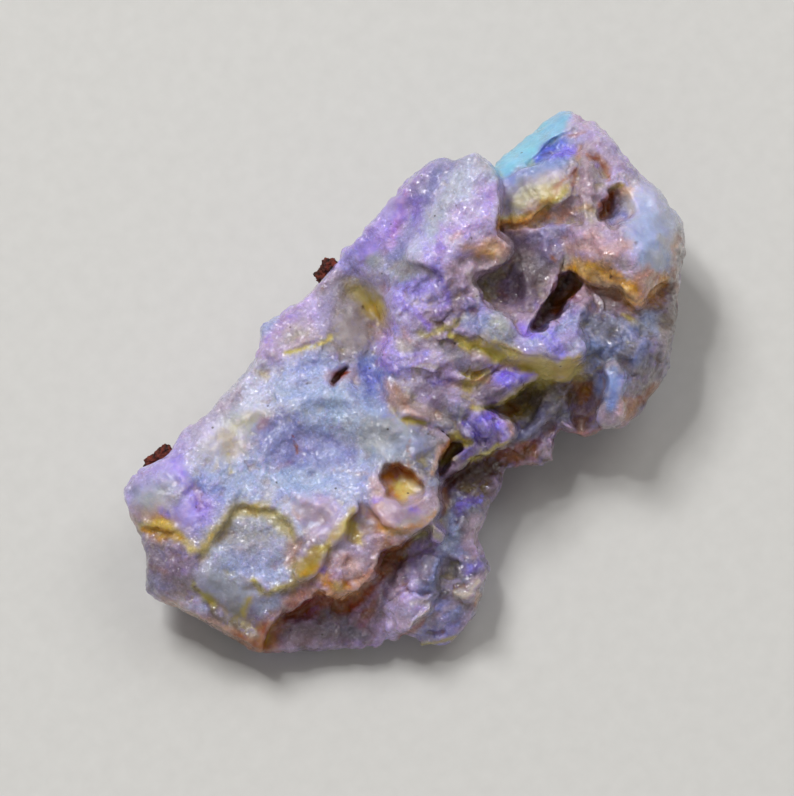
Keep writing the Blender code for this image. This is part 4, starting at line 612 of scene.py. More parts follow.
# The head's facet, terraces, hollows and knob, and the lines on it
HEAD_FORMS = Region("head", (
    Plate("deep blue hollow", (
        (530, 158, 3), (538, 150, 3), (546, 140, 3), (556, 135, 3), (566, 134, 3), (578, 136, 4),
        (584, 146, 4), (578, 153, 3), (566, 153, 2), (552, 158, 2), (538, 164, 3),
    ), (
        (535, 158, 11), (548, 146, 10.6), (560, 142, 10.7), (575, 143, 11), (545, 156, 11),
    ), 4, Mode.CARVE),
    Plate("facet", (
        (496, 158), (512, 147), (530, 133), (545, 120), (556, 110), (567, 104), (580, 110), (579, 118, 3),
        (576, 125, 2.5), (568, 131), (556, 135), (547, 143), (536, 154), (521, 165), (510, 172), (504, 177),
        (499, 170),
    ), (
        (496, 164, 9.9), (530, 138, 9.2), (545, 125, 9), (556, 115, 9), (567, 109, 9.2), (576, 114, 9.8),
        (576, 122, 10.7), (566, 131, 10.9), (555, 135, 10.8), (520, 165, 11.2), (502, 174, 11),
    ), 1.3),
    Plate("terrace", (
        (499, 180), (510, 176), (522, 168), (538, 162), (562, 153), (572, 153), (577, 156), (577, 165),
        (574, 188), (572, 195), (566, 200), (556, 206), (548, 204), (540, 213), (530, 221), (518, 224),
        (506, 223), (500, 226), (499, 215), (502, 200),
    ), (
        (504, 182, 11.6), (545, 163, 12.2), (568, 157, 12.5), (574, 175, 12.6), (556, 203, 12.5),
        (530, 218, 11.8), (512, 222, 11.5), (530, 190, 12.2), (560, 190, 12.8), (525, 200, 12.2),
    ), 1.4),
    Plate("terrace step", (
        (530, 222), (548, 205), (556, 207), (574, 196), (580, 200), (582, 214), (580, 224), (565, 224),
        (540, 225),
    ), (
        (535, 222, 10.8), (548, 210, 11.2), (578, 205, 11.7), (578, 220, 11.2), (545, 222, 10.7),
    ), 1.5),
    Plate("cavity", (
        (478, 277), (485, 273), (495, 270), (505, 265), (510, 257), (513, 248), (509, 242), (503, 238),
        (501, 230), (505, 226), (520, 226), (535, 226), (548, 224), (560, 224), (568, 228, 3), (568, 240, 3),
        (564, 258, 2.5), (560, 266, 2.5), (559, 275), (549, 296), (536, 317), (530, 328), (524, 335),
        (518, 332), (514, 320), (505, 314), (495, 310), (482, 298),
    ), (
        (506, 230, 11.2), (525, 230, 11.2), (545, 228, 11.3), (564, 232, 11.3), (540, 240, 10.8),
        (520, 245, 10.6), (562, 250, 11), (520, 262, 10.2), (545, 262, 10.5), (556, 272, 10.4),
        (500, 276, 9.5), (505, 306, 9.8), (520, 290, 9.8), (540, 290, 10), (535, 312, 10.5),
        (515, 318, 10.6), (526, 328, 11.2),
    ), 2.2),
    Plate("slit", (
        (559, 276), (566, 274), (573, 268), (583, 282), (578, 290), (566, 305), (561, 312), (560, 318),
        (553, 318), (548, 322), (541, 330), (531, 326), (536, 316), (548, 297),
    ), (
        (568, 276, 7.6), (562, 292, 6.9), (550, 308, 6.9), (540, 324, 7.4), (560, 312, 7.2),
    ), 1.3, Mode.CARVE),
    Plate("socket", (
        (597, 214), (603, 207), (601, 200), (608, 196), (608, 190), (615, 186), (621, 183, 3), (637, 189, 3),
        (639, 198, 3), (638, 208, 3), (636, 214, 2), (629, 219), (622, 221), (615, 228), (609, 226),
        (606, 220), (601, 220),
    ), (
        (600, 213, 9.8), (606, 202, 9.9), (614, 190, 10.8), (625, 190, 11.2), (634, 200, 11.4),
        (630, 214, 11.2), (620, 216, 10.9), (611, 224, 10.7), (605, 218, 10),
    ), 2.2, Mode.CARVE),
    Plate("red pocket", (
        (588, 158), (594, 154), (602, 155), (607, 161), (610, 170), (607, 177), (601, 173), (597, 166),
    ), (
        (592, 158, 11.6), (603, 160, 11.2), (606, 172, 11.2), (598, 164, 11.6),
    ), 3.6, Mode.CARVE),
    Plate("under brow", (
        (588, 286, 4), (602, 287, 4), (615, 290, 4), (622, 297, 4), (630, 308, 4), (640, 313, 4),
        (646, 308, 4), (658, 292, 4), (664, 296), (664, 312), (664, 328), (652, 334), (640, 337), (622, 325),
        (619, 317), (610, 310), (590, 296),
    ), (
        (592, 290, 11), (610, 295, 10.9), (632, 318, 9.2), (645, 325, 8.4), (660, 325, 8.3), (655, 305, 9),
        (640, 320, 8.6),
    ), 2, Mode.CARVE),
    Plate("knob", (
        (604, 367), (610, 361), (618, 362), (624, 368), (626, 380), (625, 395), (626, 408), (624, 420),
        (616, 430), (604, 428), (598, 424), (597, 415), (601, 405), (604, 390), (606, 378),
    ), (
        (606, 368, 9.5), (614, 366, 9.9), (621, 378, 9.5), (609, 385, 9.4), (620, 400, 8.8), (606, 402, 8.6),
        (615, 412, 8.4), (605, 420, 7.6), (620, 423, 7.4),
    ), 2),
    Plate("left pocket", (
        (564, 390, 4), (574, 382, 4), (584, 378), (592, 372), (600, 369), (605, 376), (605, 390),
        (601, 404, 4), (596, 412, 4), (586, 412, 4), (574, 410, 4), (565, 402, 4),
    ), (
        (572, 390, 7.3), (590, 378, 7.9), (602, 378, 7.8), (585, 404, 6.7), (572, 402, 6.7),
    ), 2.5, Mode.CARVE),
    Plate("orange hole", (
        (578, 392), (584, 387), (590, 390), (592, 396), (585, 400), (579, 398),
    ), (
        (585, 393, 6.3),
    ), 4, Mode.CARVE),
), (
    Stroke("pocket groove", ((583, 413), (581, 424), (584, 434)), -0.5, 5),
    Stroke("terrace rib 1", ((506, 196), (525, 185), (545, 175), (566, 165)), 0.15, 7),
    Stroke("pillar", ((592, 150), (588, 170), (584, 190), (582, 212), (580, 226)), 0.5, 7),
    Stroke("pillar groove", ((580, 158), (577, 175), (576, 190), (573, 197)), -0.4, 3),
    Stroke("pillar fold", ((594, 178), (592, 195), (592, 208)), 0.4, 4),
    Stroke("brow lump 1", ((572, 238), (584, 232), (598, 232)), 0.5, 8),
    Stroke("brow lump 2", ((598, 252), (610, 250), (622, 254)), 0.4, 8),
    Stroke("brow cleft", ((588, 226), (592, 240), (590, 254)), -0.35, 3),
    Stroke("side seam", ((682, 233), (668, 252), (664, 276), (652, 290)), -0.35, 5),
    Stroke("rim crest", ((590, 128), (606, 146), (624, 166), (642, 186), (660, 206), (672, 222)), 0.55, 6),
    Stroke("pale saddle", ((642, 215), (655, 225), (664, 238)), 0.3, 8),
    Stroke("cavity rib 1", ((548, 232), (544, 248), (552, 264)), 0.4, 5),
    Stroke("cavity rib 2", ((512, 262), (524, 272), (530, 290), (524, 308)), 0.35, 8),
    Stroke("cavity lip", ((558, 276), (550, 294), (540, 310), (530, 326)), 0.4, 4),
    Stroke("head bridge", ((592, 292), (586, 302), (580, 312), (574, 322)), 0.6, 6),
    Stroke("bridge groove", ((586, 318), (584, 330), (586, 342)), -0.3, 4),
    Stroke("shelf rib 1", ((598, 330), (610, 340), (622, 350), (640, 356)), 0.25, 8),
    Stroke("shelf dent 1", ((610, 326), (626, 338), (640, 346)), -0.35, 6),
    Stroke("shelf dent 2", ((630, 358), (626, 366), (634, 378)), -0.25, 6),
    Stroke("shelf dent 3", ((600, 352), (596, 360)), -0.3, 6),
    Stroke("side dent", ((655, 356), (662, 364)), -0.5, 5),
    Stroke("lower rib 1", ((566, 400), (552, 410), (540, 420), (528, 432), (516, 444), (508, 452)), 0.6, 8),
    Stroke("lower groove", ((556, 424), (544, 434), (532, 444), (520, 452)), -0.5, 5),
    Stroke("lower rib 2", ((558, 420), (568, 426), (572, 432)), 0.8, 5),
    Stroke("hollow under fin", ((506, 412), (515, 404), (528, 394), (545, 388), (560, 384)), -0.3, 10),
))

# The slab's hollows, turned-up folds and grooves
SLAB_FORMS = Region("slab", (
    Plate("orange hollow", (
        (382, 468), (387, 463), (392, 466), (399, 464), (406, 469), (412, 470), (415, 477), (422, 480),
        (425, 489), (422, 496, 3), (409, 502, 3), (401, 504, 3), (396, 500, 2.5), (388, 497), (386, 488),
        (379, 478),
    ), (
        (388, 470, 8.6), (400, 470, 8.1), (412, 478, 8.2), (420, 488, 8.3), (390, 484, 8.2), (400, 482, 7.9),
        (402, 500, 8.8),
    ), 2, Mode.CARVE),
    Plate("basin", (
        (198, 560), (204, 549), (214, 541), (222, 528), (231, 514), (239, 506), (250, 505), (260, 509),
        (268, 507), (275, 510), (279, 517), (287, 523), (292, 530), (288, 540), (280, 552), (270, 566),
        (258, 578), (248, 584), (232, 586), (215, 580), (203, 572),
    ), (
        (204, 560, 7.6), (215, 545, 7.9), (232, 520, 8.1), (272, 514, 8.3), (270, 545, 8.3), (250, 555, 7.9),
        (218, 570, 7.2), (255, 575, 7.3),
    ), 4.2, Mode.CARVE),
    Plate("crescent flap", (
        (340, 508), (350, 498), (356, 500), (357, 508), (350, 516), (347, 523), (346, 531), (338, 541),
        (330, 546), (326, 553), (322, 566), (312, 576), (300, 580, 3), (296, 565, 5), (300, 545, 6),
        (315, 525, 8), (330, 515, 8),
    ), (
        (352, 503, 9.6), (322, 558, 8.6), (312, 572, 8), (302, 570, 8), (310, 545, 8.7),
    ), 1.5),
    Plate("fold hollow", (
        (358, 502, 3), (366, 500, 4), (372, 506, 2.5), (375, 512), (381, 520), (388, 526), (380, 532, 3),
        (366, 538, 4), (355, 545, 3), (347, 541, 2), (347, 531), (348, 523), (357, 509),
    ), (
        (362, 505, 8.9), (352, 522, 8), (362, 528, 8.2), (374, 520, 8.5), (384, 528, 8.6),
    ), 1.8, Mode.CARVE),
    Plate("small pit", (
        (331, 383), (333, 376), (342, 368), (348, 367), (346, 372), (342, 376), (341, 380), (337, 385),
    ), (
        (339, 377, 8.2),
    ), 1.6, Mode.CARVE),
), (
    Stroke("valley", ((350, 284), (362, 298), (374, 314), (382, 330), (384, 345)), -0.35, 9),
    Stroke("valley lip", ((288, 352), (300, 346), (314, 340), (330, 337)), 0.3, 5, Profile.LIP, 2),
    Stroke("slab rim rib", ((250, 372), (262, 356), (285, 335), (310, 310), (328, 288)), 0.3, 8),
    Stroke("bowl rim north", ((265, 425), (285, 408), (310, 398), (340, 396), (362, 402)), 0.4, 10),
    Stroke("bowl rim south", ((285, 492), (305, 494), (325, 490), (345, 484)), 0.35, 8),
    Stroke("blue saddle", ((350, 382), (362, 376), (375, 384)), -0.3, 9),
    Stroke("ochre groove", ((126, 521), (140, 527), (155, 531), (172, 534), (188, 537)), -0.3, 5),
    Stroke("ochre lip", ((140, 524), (160, 528), (180, 532)), 0.4, 8, Profile.LIP, 1.5),
    Stroke("tip dent", ((165, 466), (172, 480), (168, 494)), -0.3, 8),
    Stroke("violet dent", ((188, 484), (198, 496), (202, 514)), -0.35, 8),
    Stroke("basin scar", ((214, 541), (226, 536), (240, 534), (252, 538)), -0.25, 5),
    Stroke("basin lower step", (
        (236, 588), (252, 582), (262, 586), (270, 592), (285, 588), (300, 579), (314, 571),
    ), 0.5, 16, Profile.LIP, 2),
    Stroke("saddle rib", ((300, 500), (318, 505), (335, 508)), 0.3, 6),
    Stroke("orange fold", (
        (373, 504), (379, 514), (388, 524), (400, 530), (414, 527),
    ), 0.35, 6, Profile.LIP, 1.5),
    Stroke("drip rib", ((346, 548), (340, 566), (334, 584)), 0.4, 7),
    Stroke("drip rib 2", ((366, 545), (362, 562), (356, 578)), 0.3, 6),
    Stroke("south groove", ((170, 572), (190, 588), (215, 602), (240, 616), (262, 626)), -0.3, 6),
))

# The raised patch, the cream lumps and the lines on the foot
FOOT_FORMS = Region("foot", (
    Plate("foot patch", (
        (383, 600), (380, 590), (392, 582), (402, 570), (400, 560), (412, 556), (430, 552), (440, 560),
        (436, 575), (438, 590), (432, 602), (430, 614), (420, 618), (410, 628), (396, 632), (386, 628),
        (383, 616),
    ), (
        (388, 596, 4.6), (405, 575, 5.4), (432, 560, 6), (434, 585, 5.6), (425, 605, 5.2), (405, 600, 5.6),
        (395, 620, 4.4), (412, 618, 5), (415, 585, 6),
    ), 2),
    Plate("cream lump", (
        (452, 590), (458, 585), (466, 586), (481, 580), (484, 586), (480, 594), (472, 600), (463, 600),
        (456, 597),
    ), (
        (460, 592, 5.2), (470, 590, 5.4), (478, 586, 4.9),
    ), 2.5),
    Plate("cream drop", (
        (431, 524), (436, 522), (441, 528), (444, 534), (443, 540), (438, 543), (433, 540), (430, 533),
    ), (
        (436, 530, 8.3), (438, 538, 7.4),
    ), 2),
), (
    Stroke("foot crack", ((384, 604), (396, 596), (406, 590), (418, 592), (434, 590)), -0.45, 3),
    Stroke("foot rib 1", ((406, 560), (402, 574), (396, 586)), 0.4, 3),
    Stroke("foot rib 2", ((420, 576), (428, 579), (436, 577)), 0.5, 2.5, Profile.SHARP),
    Stroke("foot ledge", ((430, 600), (422, 612), (414, 622), (404, 630)), 0.7, 8, Profile.LIP, 1.5),
    Stroke("foot hollow", ((456, 556), (452, 566), (450, 580)), -0.7, 8),
    Stroke("foot rib 3", ((466, 512), (460, 526), (448, 538)), 0.35, 5),
    Stroke("toe groove", ((424, 630), (436, 632), (448, 630)), -0.4, 3),
    Stroke("toe ridge", ((262, 628), (290, 622), (320, 626), (350, 632)), 0.4, 8),
    Stroke("red hollow", ((330, 606), (350, 602), (368, 600)), -0.35, 9),
))

REGIONS = (MASSES_FORMS, WING_FORMS, HEAD_FORMS, SLAB_FORMS, FOOT_FORMS)


class Tint(Enum):
    """The opal's colours, and those laid as painted shade and painted light, as sRGB hex values, named for
    what the eye takes them for.
    """

    MILK = "B6B9D2"
    PALE = "C8CBE4"
    SAGE = "A2A7AE"
    TAUPE = "90868A"
    BLUSH = "C6B4E2"
    LAVENDER = "B2A4E2"
    LILAC = "B2A6D4"
    VIOLET = "8E78E0"
    PURPLE = "BA96D8"
    INDIGO = "63539C"
    PERIWINKLE = "888ABC"
    COBALT = "6272C6"
    SKY = "8B9ACC"
    AZURE = "ACB8DC"
    CYAN = "8FC4DC"
    SLATE = "5F5E6D"
    MAUVE = "786680"
    ROSE = "AF99AA"
    SALMON = "C9A08C"
    CREAM = "BAB1A6"
    YELLOW = "CDBB66"
    OLIVE = "B4A456"
    GOLD = "C8923A"
    AMBER = "9A5C2C"
    MIDNIGHT = "332C58"
    STRAW = "DACB88"
    # Painted light: the warm glow of thin lit edges, also laid to lift shade
    HONEY_LIGHT = "E2AC62"
    # Painted light: lifts faces that turn away from the key lamp
    PEARL_LIGHT = "EADCFF"
    # Laid mostly as painted shade: on rims turned from the lamps, in hollows and under overhangs
    BISTRE = "52402F"
    RUST = "843A18"
    UMBER = "442012"


@dataclass(frozen=True)
class Patch:
    """A soft patch of one tint along a chain of dabs. Most are stains; some are painted shade and some
    painted light.

    Attributes:
        tint: its colour.
        strength: how much of what lies under it is covered, 0 to 1.
        dabs: trace points, each with a radius in trace units.
        border: where the cover starts to fade and where it ends, in radii.
        fraying: how far grit moves the border, in radii.
    """

    tint: Tint
    strength: float
    dabs: Points
    border: tuple[float, float] = (0.1, 1.55)
    fraying: float = 0.35

    def cover(self, x: Array, y: Array, grit: Array) -> Array:
        """How much of the patch lies over each trace point, 0 to 1. Grit frays its border."""
        dabs = np.array(self.dabs, float)
        cover = np.zeros(x.shape)
        near = close_to(x, y, dabs, dabs[:, 2].max() * 2)
        least = np.full(int(near.sum()), np.inf)
        ends = dabs[1:] if len(dabs) > 1 else dabs
        for start, end in zip(dabs[: len(ends)], ends, strict=True):
            gap, share, _ = to_stretch(x[near], y[near], start, end)
            least = np.minimum(least, gap / (start[2] + (end[2] - start[2]) * share))
        cover[near] = self.strength * (1 - eased(*self.border, least + self.fraying * grit[near]))
        return cover


@dataclass(frozen=True)
class Wash:
    """Broad areas of one tint, which run softly into their neighbours.

    Attributes:
        tint: their colour.
        spots: trace points, each with a radius in trace units.
        softness: how slowly a spot fades.
        fall: the power by which it fades further out.
    """

    tint: Tint
    spots: Points
    softness: float = 0.5
    fall: float = 2.5

    def weight(self, x: Array, y: Array) -> Array:
        """How strongly the tint bears on each trace point."""
        total = np.zeros(x.shape)
        for u, v, radius in self.spots:
            total += (1 + ((x - u) ** 2 + (y - v) ** 2) / (self.softness * radius**2)) ** -self.fall
        return total


BODY_TINT = Tint.MILK
FIERY = {Tint.VIOLET, Tint.INDIGO, Tint.PURPLE, Tint.COBALT}
PORE_RADIUS = 1.3

# Stains where the picture shows nothing: tint, size of its clouds in millimetres, offset, and threshold
HIDDEN_STAINS = (
    (Tint.LILAC, 6.0, 3.0, -0.2),
    (Tint.CREAM, 4.0, 11.0, 0.0),
    (Tint.AMBER, 3.2, 27.0, 0.15),
    (Tint.SLATE, 5.0, 41.0, 0.1),
)

# Where black pores are
PORES = (
    (242, 447), (228, 476), (196, 525), (361, 305), (331, 353), (374, 353), (394, 451), (471, 237),
    (508, 248), (493, 264), (468, 275), (452, 297), (634, 241), (570, 134), (165, 597), (612, 275),
    (302, 459), (305, 381),
)

T = Tint  # short, for the rows below

# Small glazes that lie over the stains, each spot on its own; some are painted shade and some painted light
GLAZES = (
    # Lavender: painted light on the wing's left rim, its side away from the lamps
    (T.LAVENDER, 0.6, ((350, 256, 9), (366, 244, 8), (376, 232, 9))),
    (T.SLATE, 0.3, ((632, 168, 10), (612, 146, 9), (590, 330, 8), (256, 608, 9), (132, 487, 9))),
    (T.SLATE, 0.3, (
        (300, 312, 9), (150, 582, 9), (460, 572, 9), (480, 568, 8), (485, 392, 8), (420, 330, 9),
    )),
    (T.TAUPE, 0.35, (
        (136, 512, 8), (465, 596, 8), (404, 610, 10), (440, 622, 9), (470, 320, 9), (556, 232, 9),
    )),
    # Bistre: painted shade on the right and lower rims
    (T.BISTRE, 0.25, ((655, 325, 9), (668, 322, 7), (640, 385, 8), (528, 452, 8))),
    # Umber: painted shade under the blade, in the lower notch and on the lower rim
    (T.UMBER, 0.35, ((492, 462, 7), (582, 425, 6), (524, 454, 6))),
    # Midnight: painted shade at the foot's neck under the blade
    (T.MIDNIGHT, 0.25, ((462, 508, 9),)),
    # Cream: painted light, lifting faces of the head turned from the key lamp
    (T.CREAM, 0.5, ((625, 262, 8), (655, 258, 8), (650, 282, 6))),
    # Pale: painted light, lifting the shaded neck of the foot and a face of the head turned from the key
    # lamp
    (T.PALE, 0.5, ((450, 545, 9), (656, 256, 7))),
    (T.SALMON, 0.4, ((590, 243, 12), (610, 250, 12), (418, 500, 7))),
    (T.STRAW, 0.5, ((515, 222, 4), (570, 368, 7), (338, 582, 6))),
)

# The broad tints of the seen side, which lie under the stains; some spots are painted shade and some painted
# light
WASHES = tuple(Wash(*row) for row in (
    # The lavender spot at the foot's neck is painted light, lifting its shade
    (T.LAVENDER, (
        (132, 487, 12), (166, 464, 14), (198, 500, 12), (350, 256, 12), (372, 236, 13), (395, 210, 15),
        (408, 300, 13), (392, 350, 9), (545, 335, 15), (418, 500, 8), (452, 540, 10), (428, 560, 12),
    )),
    # The blush spots on the wing's lower faces and on the brow's right end are painted light, lifting faces
    # turned from the key lamp
    (T.BLUSH, (
        (190, 432, 13), (490, 200, 14), (470, 225, 16), (448, 252, 14), (300, 312, 12), (272, 342, 11),
        (430, 382, 14), (402, 330, 11), (612, 146, 10), (632, 168, 10), (325, 508, 11), (575, 122, 7),
        (404, 610, 12), (625, 262, 10),
    )),
    (T.PALE, (
        (460, 185, 13), (432, 226, 12), (248, 388, 14), (650, 196, 12), (242, 585, 10), (480, 165, 8),
    )),
    (T.PERIWINKLE, (
        (422, 178, 15), (445, 163, 9), (282, 442, 17), (470, 320, 10), (556, 148, 9), (556, 232, 10),
        (590, 330, 9), (440, 622, 12), (262, 324, 9), (372, 408, 13),
    )),
    (T.AZURE, (
        (250, 480, 17), (290, 482, 16), (335, 482, 16), (325, 448, 14), (335, 398, 18), (300, 386, 14),
        (238, 562, 14), (262, 560, 13), (645, 235, 14), (655, 258, 9),
    )),
    (T.MILK, ((222, 575, 12), (205, 455, 14), (300, 505, 10), (662, 212, 9), (255, 370, 8))),
    (T.SAGE, (
        (355, 425, 13), (402, 268, 9), (515, 200, 12), (520, 178, 9), (250, 535, 18), (244, 425, 10),
        (150, 500, 9), (372, 258, 7), (500, 330, 9), (388, 436, 15),
    )),
    (T.SKY, ((370, 380, 13), (612, 385, 11), (512, 176, 8), (600, 345, 10), (210, 480, 14))),
    (T.CYAN, ((505, 165, 8), (525, 150, 8), (545, 132, 8), (562, 116, 7))),
    (T.COBALT, ((562, 145, 6), (548, 150, 5))),
    (T.TAUPE, (
        (345, 300, 15), (352, 330, 15), (168, 588, 12), (366, 522, 9), (236, 604, 8), (398, 396, 10),
        (345, 345, 7), (465, 360, 9), (640, 385, 8), (600, 410, 7), (136, 512, 10), (530, 262, 16),
        (588, 165, 10), (300, 545, 8), (465, 596, 7),
    )),
    (T.ROSE, (
        (420, 330, 12), (350, 562, 14), (405, 515, 12), (430, 500, 8), (600, 240, 15), (575, 236, 9),
        (588, 195, 9), (452, 276, 10), (470, 530, 10), (300, 336, 8),
    )),
    (T.SALMON, (
        (488, 248, 9), (530, 214, 9), (600, 272, 8), (384, 525, 8), (628, 404, 7), (650, 282, 8),
    )),
    (T.CREAM, ((555, 186, 10), (230, 440, 10), (674, 245, 8))),
    (T.MAUVE, (
        (452, 312, 12), (535, 300, 12), (505, 288, 9), (328, 630, 14), (176, 556, 13), (490, 292, 6),
        (550, 425, 9), (408, 574, 7), (450, 465, 7), (465, 335, 7), (485, 392, 9), (256, 608, 8),
    )),
    (T.VIOLET, ((485, 424, 9), (512, 378, 9), (410, 290, 6), (366, 246, 6))),
    (T.INDIGO, ((525, 430, 7), (464, 446, 8))),
    (T.SLATE, (
        (622, 335, 14), (650, 350, 12), (610, 310, 9), (560, 412, 8), (655, 325, 8), (150, 582, 8),
        (460, 572, 9), (420, 450, 12), (445, 410, 10), (480, 568, 8), (150, 556, 14),
    )),
    (T.OLIVE, ((370, 308, 8), (470, 380, 8), (515, 402, 10), (455, 438, 5), (308, 558, 8))),
    (T.YELLOW, ((480, 345, 6), (510, 362, 7))),
    (T.GOLD, ((158, 530, 8), (630, 294, 8), (662, 278, 5), (515, 224, 5), (402, 490, 7))),
    (T.AMBER, ((398, 474, 7), (528, 452, 8), (585, 392, 6), (338, 582, 9))),
    (T.RUST, (
        (390, 558, 10), (350, 602, 12), (306, 610, 10), (566, 288, 7), (603, 208, 3), (548, 312, 7),
        (270, 634, 7), (338, 377, 4),
    )),
    # Bistre spots: painted shade on rims turned from the lamps and under overhangs
    (T.BISTRE, (
        (232, 632, 9), (245, 640, 8), (684, 300, 6), (668, 322, 9), (650, 396, 7), (640, 408, 6),
        (560, 395, 10), (300, 638, 9), (545, 456, 7), (208, 614, 8), (450, 585, 9),
    )),
    # Midnight at the foot's neck under the blade: painted shade
    (T.MIDNIGHT, ((462, 508, 11),)),
    (T.STRAW, ((545, 368, 8), (570, 368, 7))),
    # Umber spots under the blade and the fin and in the notches: painted shade
    (T.UMBER, (
        (475, 476, 14), (492, 462, 8), (450, 448, 5), (545, 398, 7), (552, 300, 5), (582, 425, 5),
    )),
))
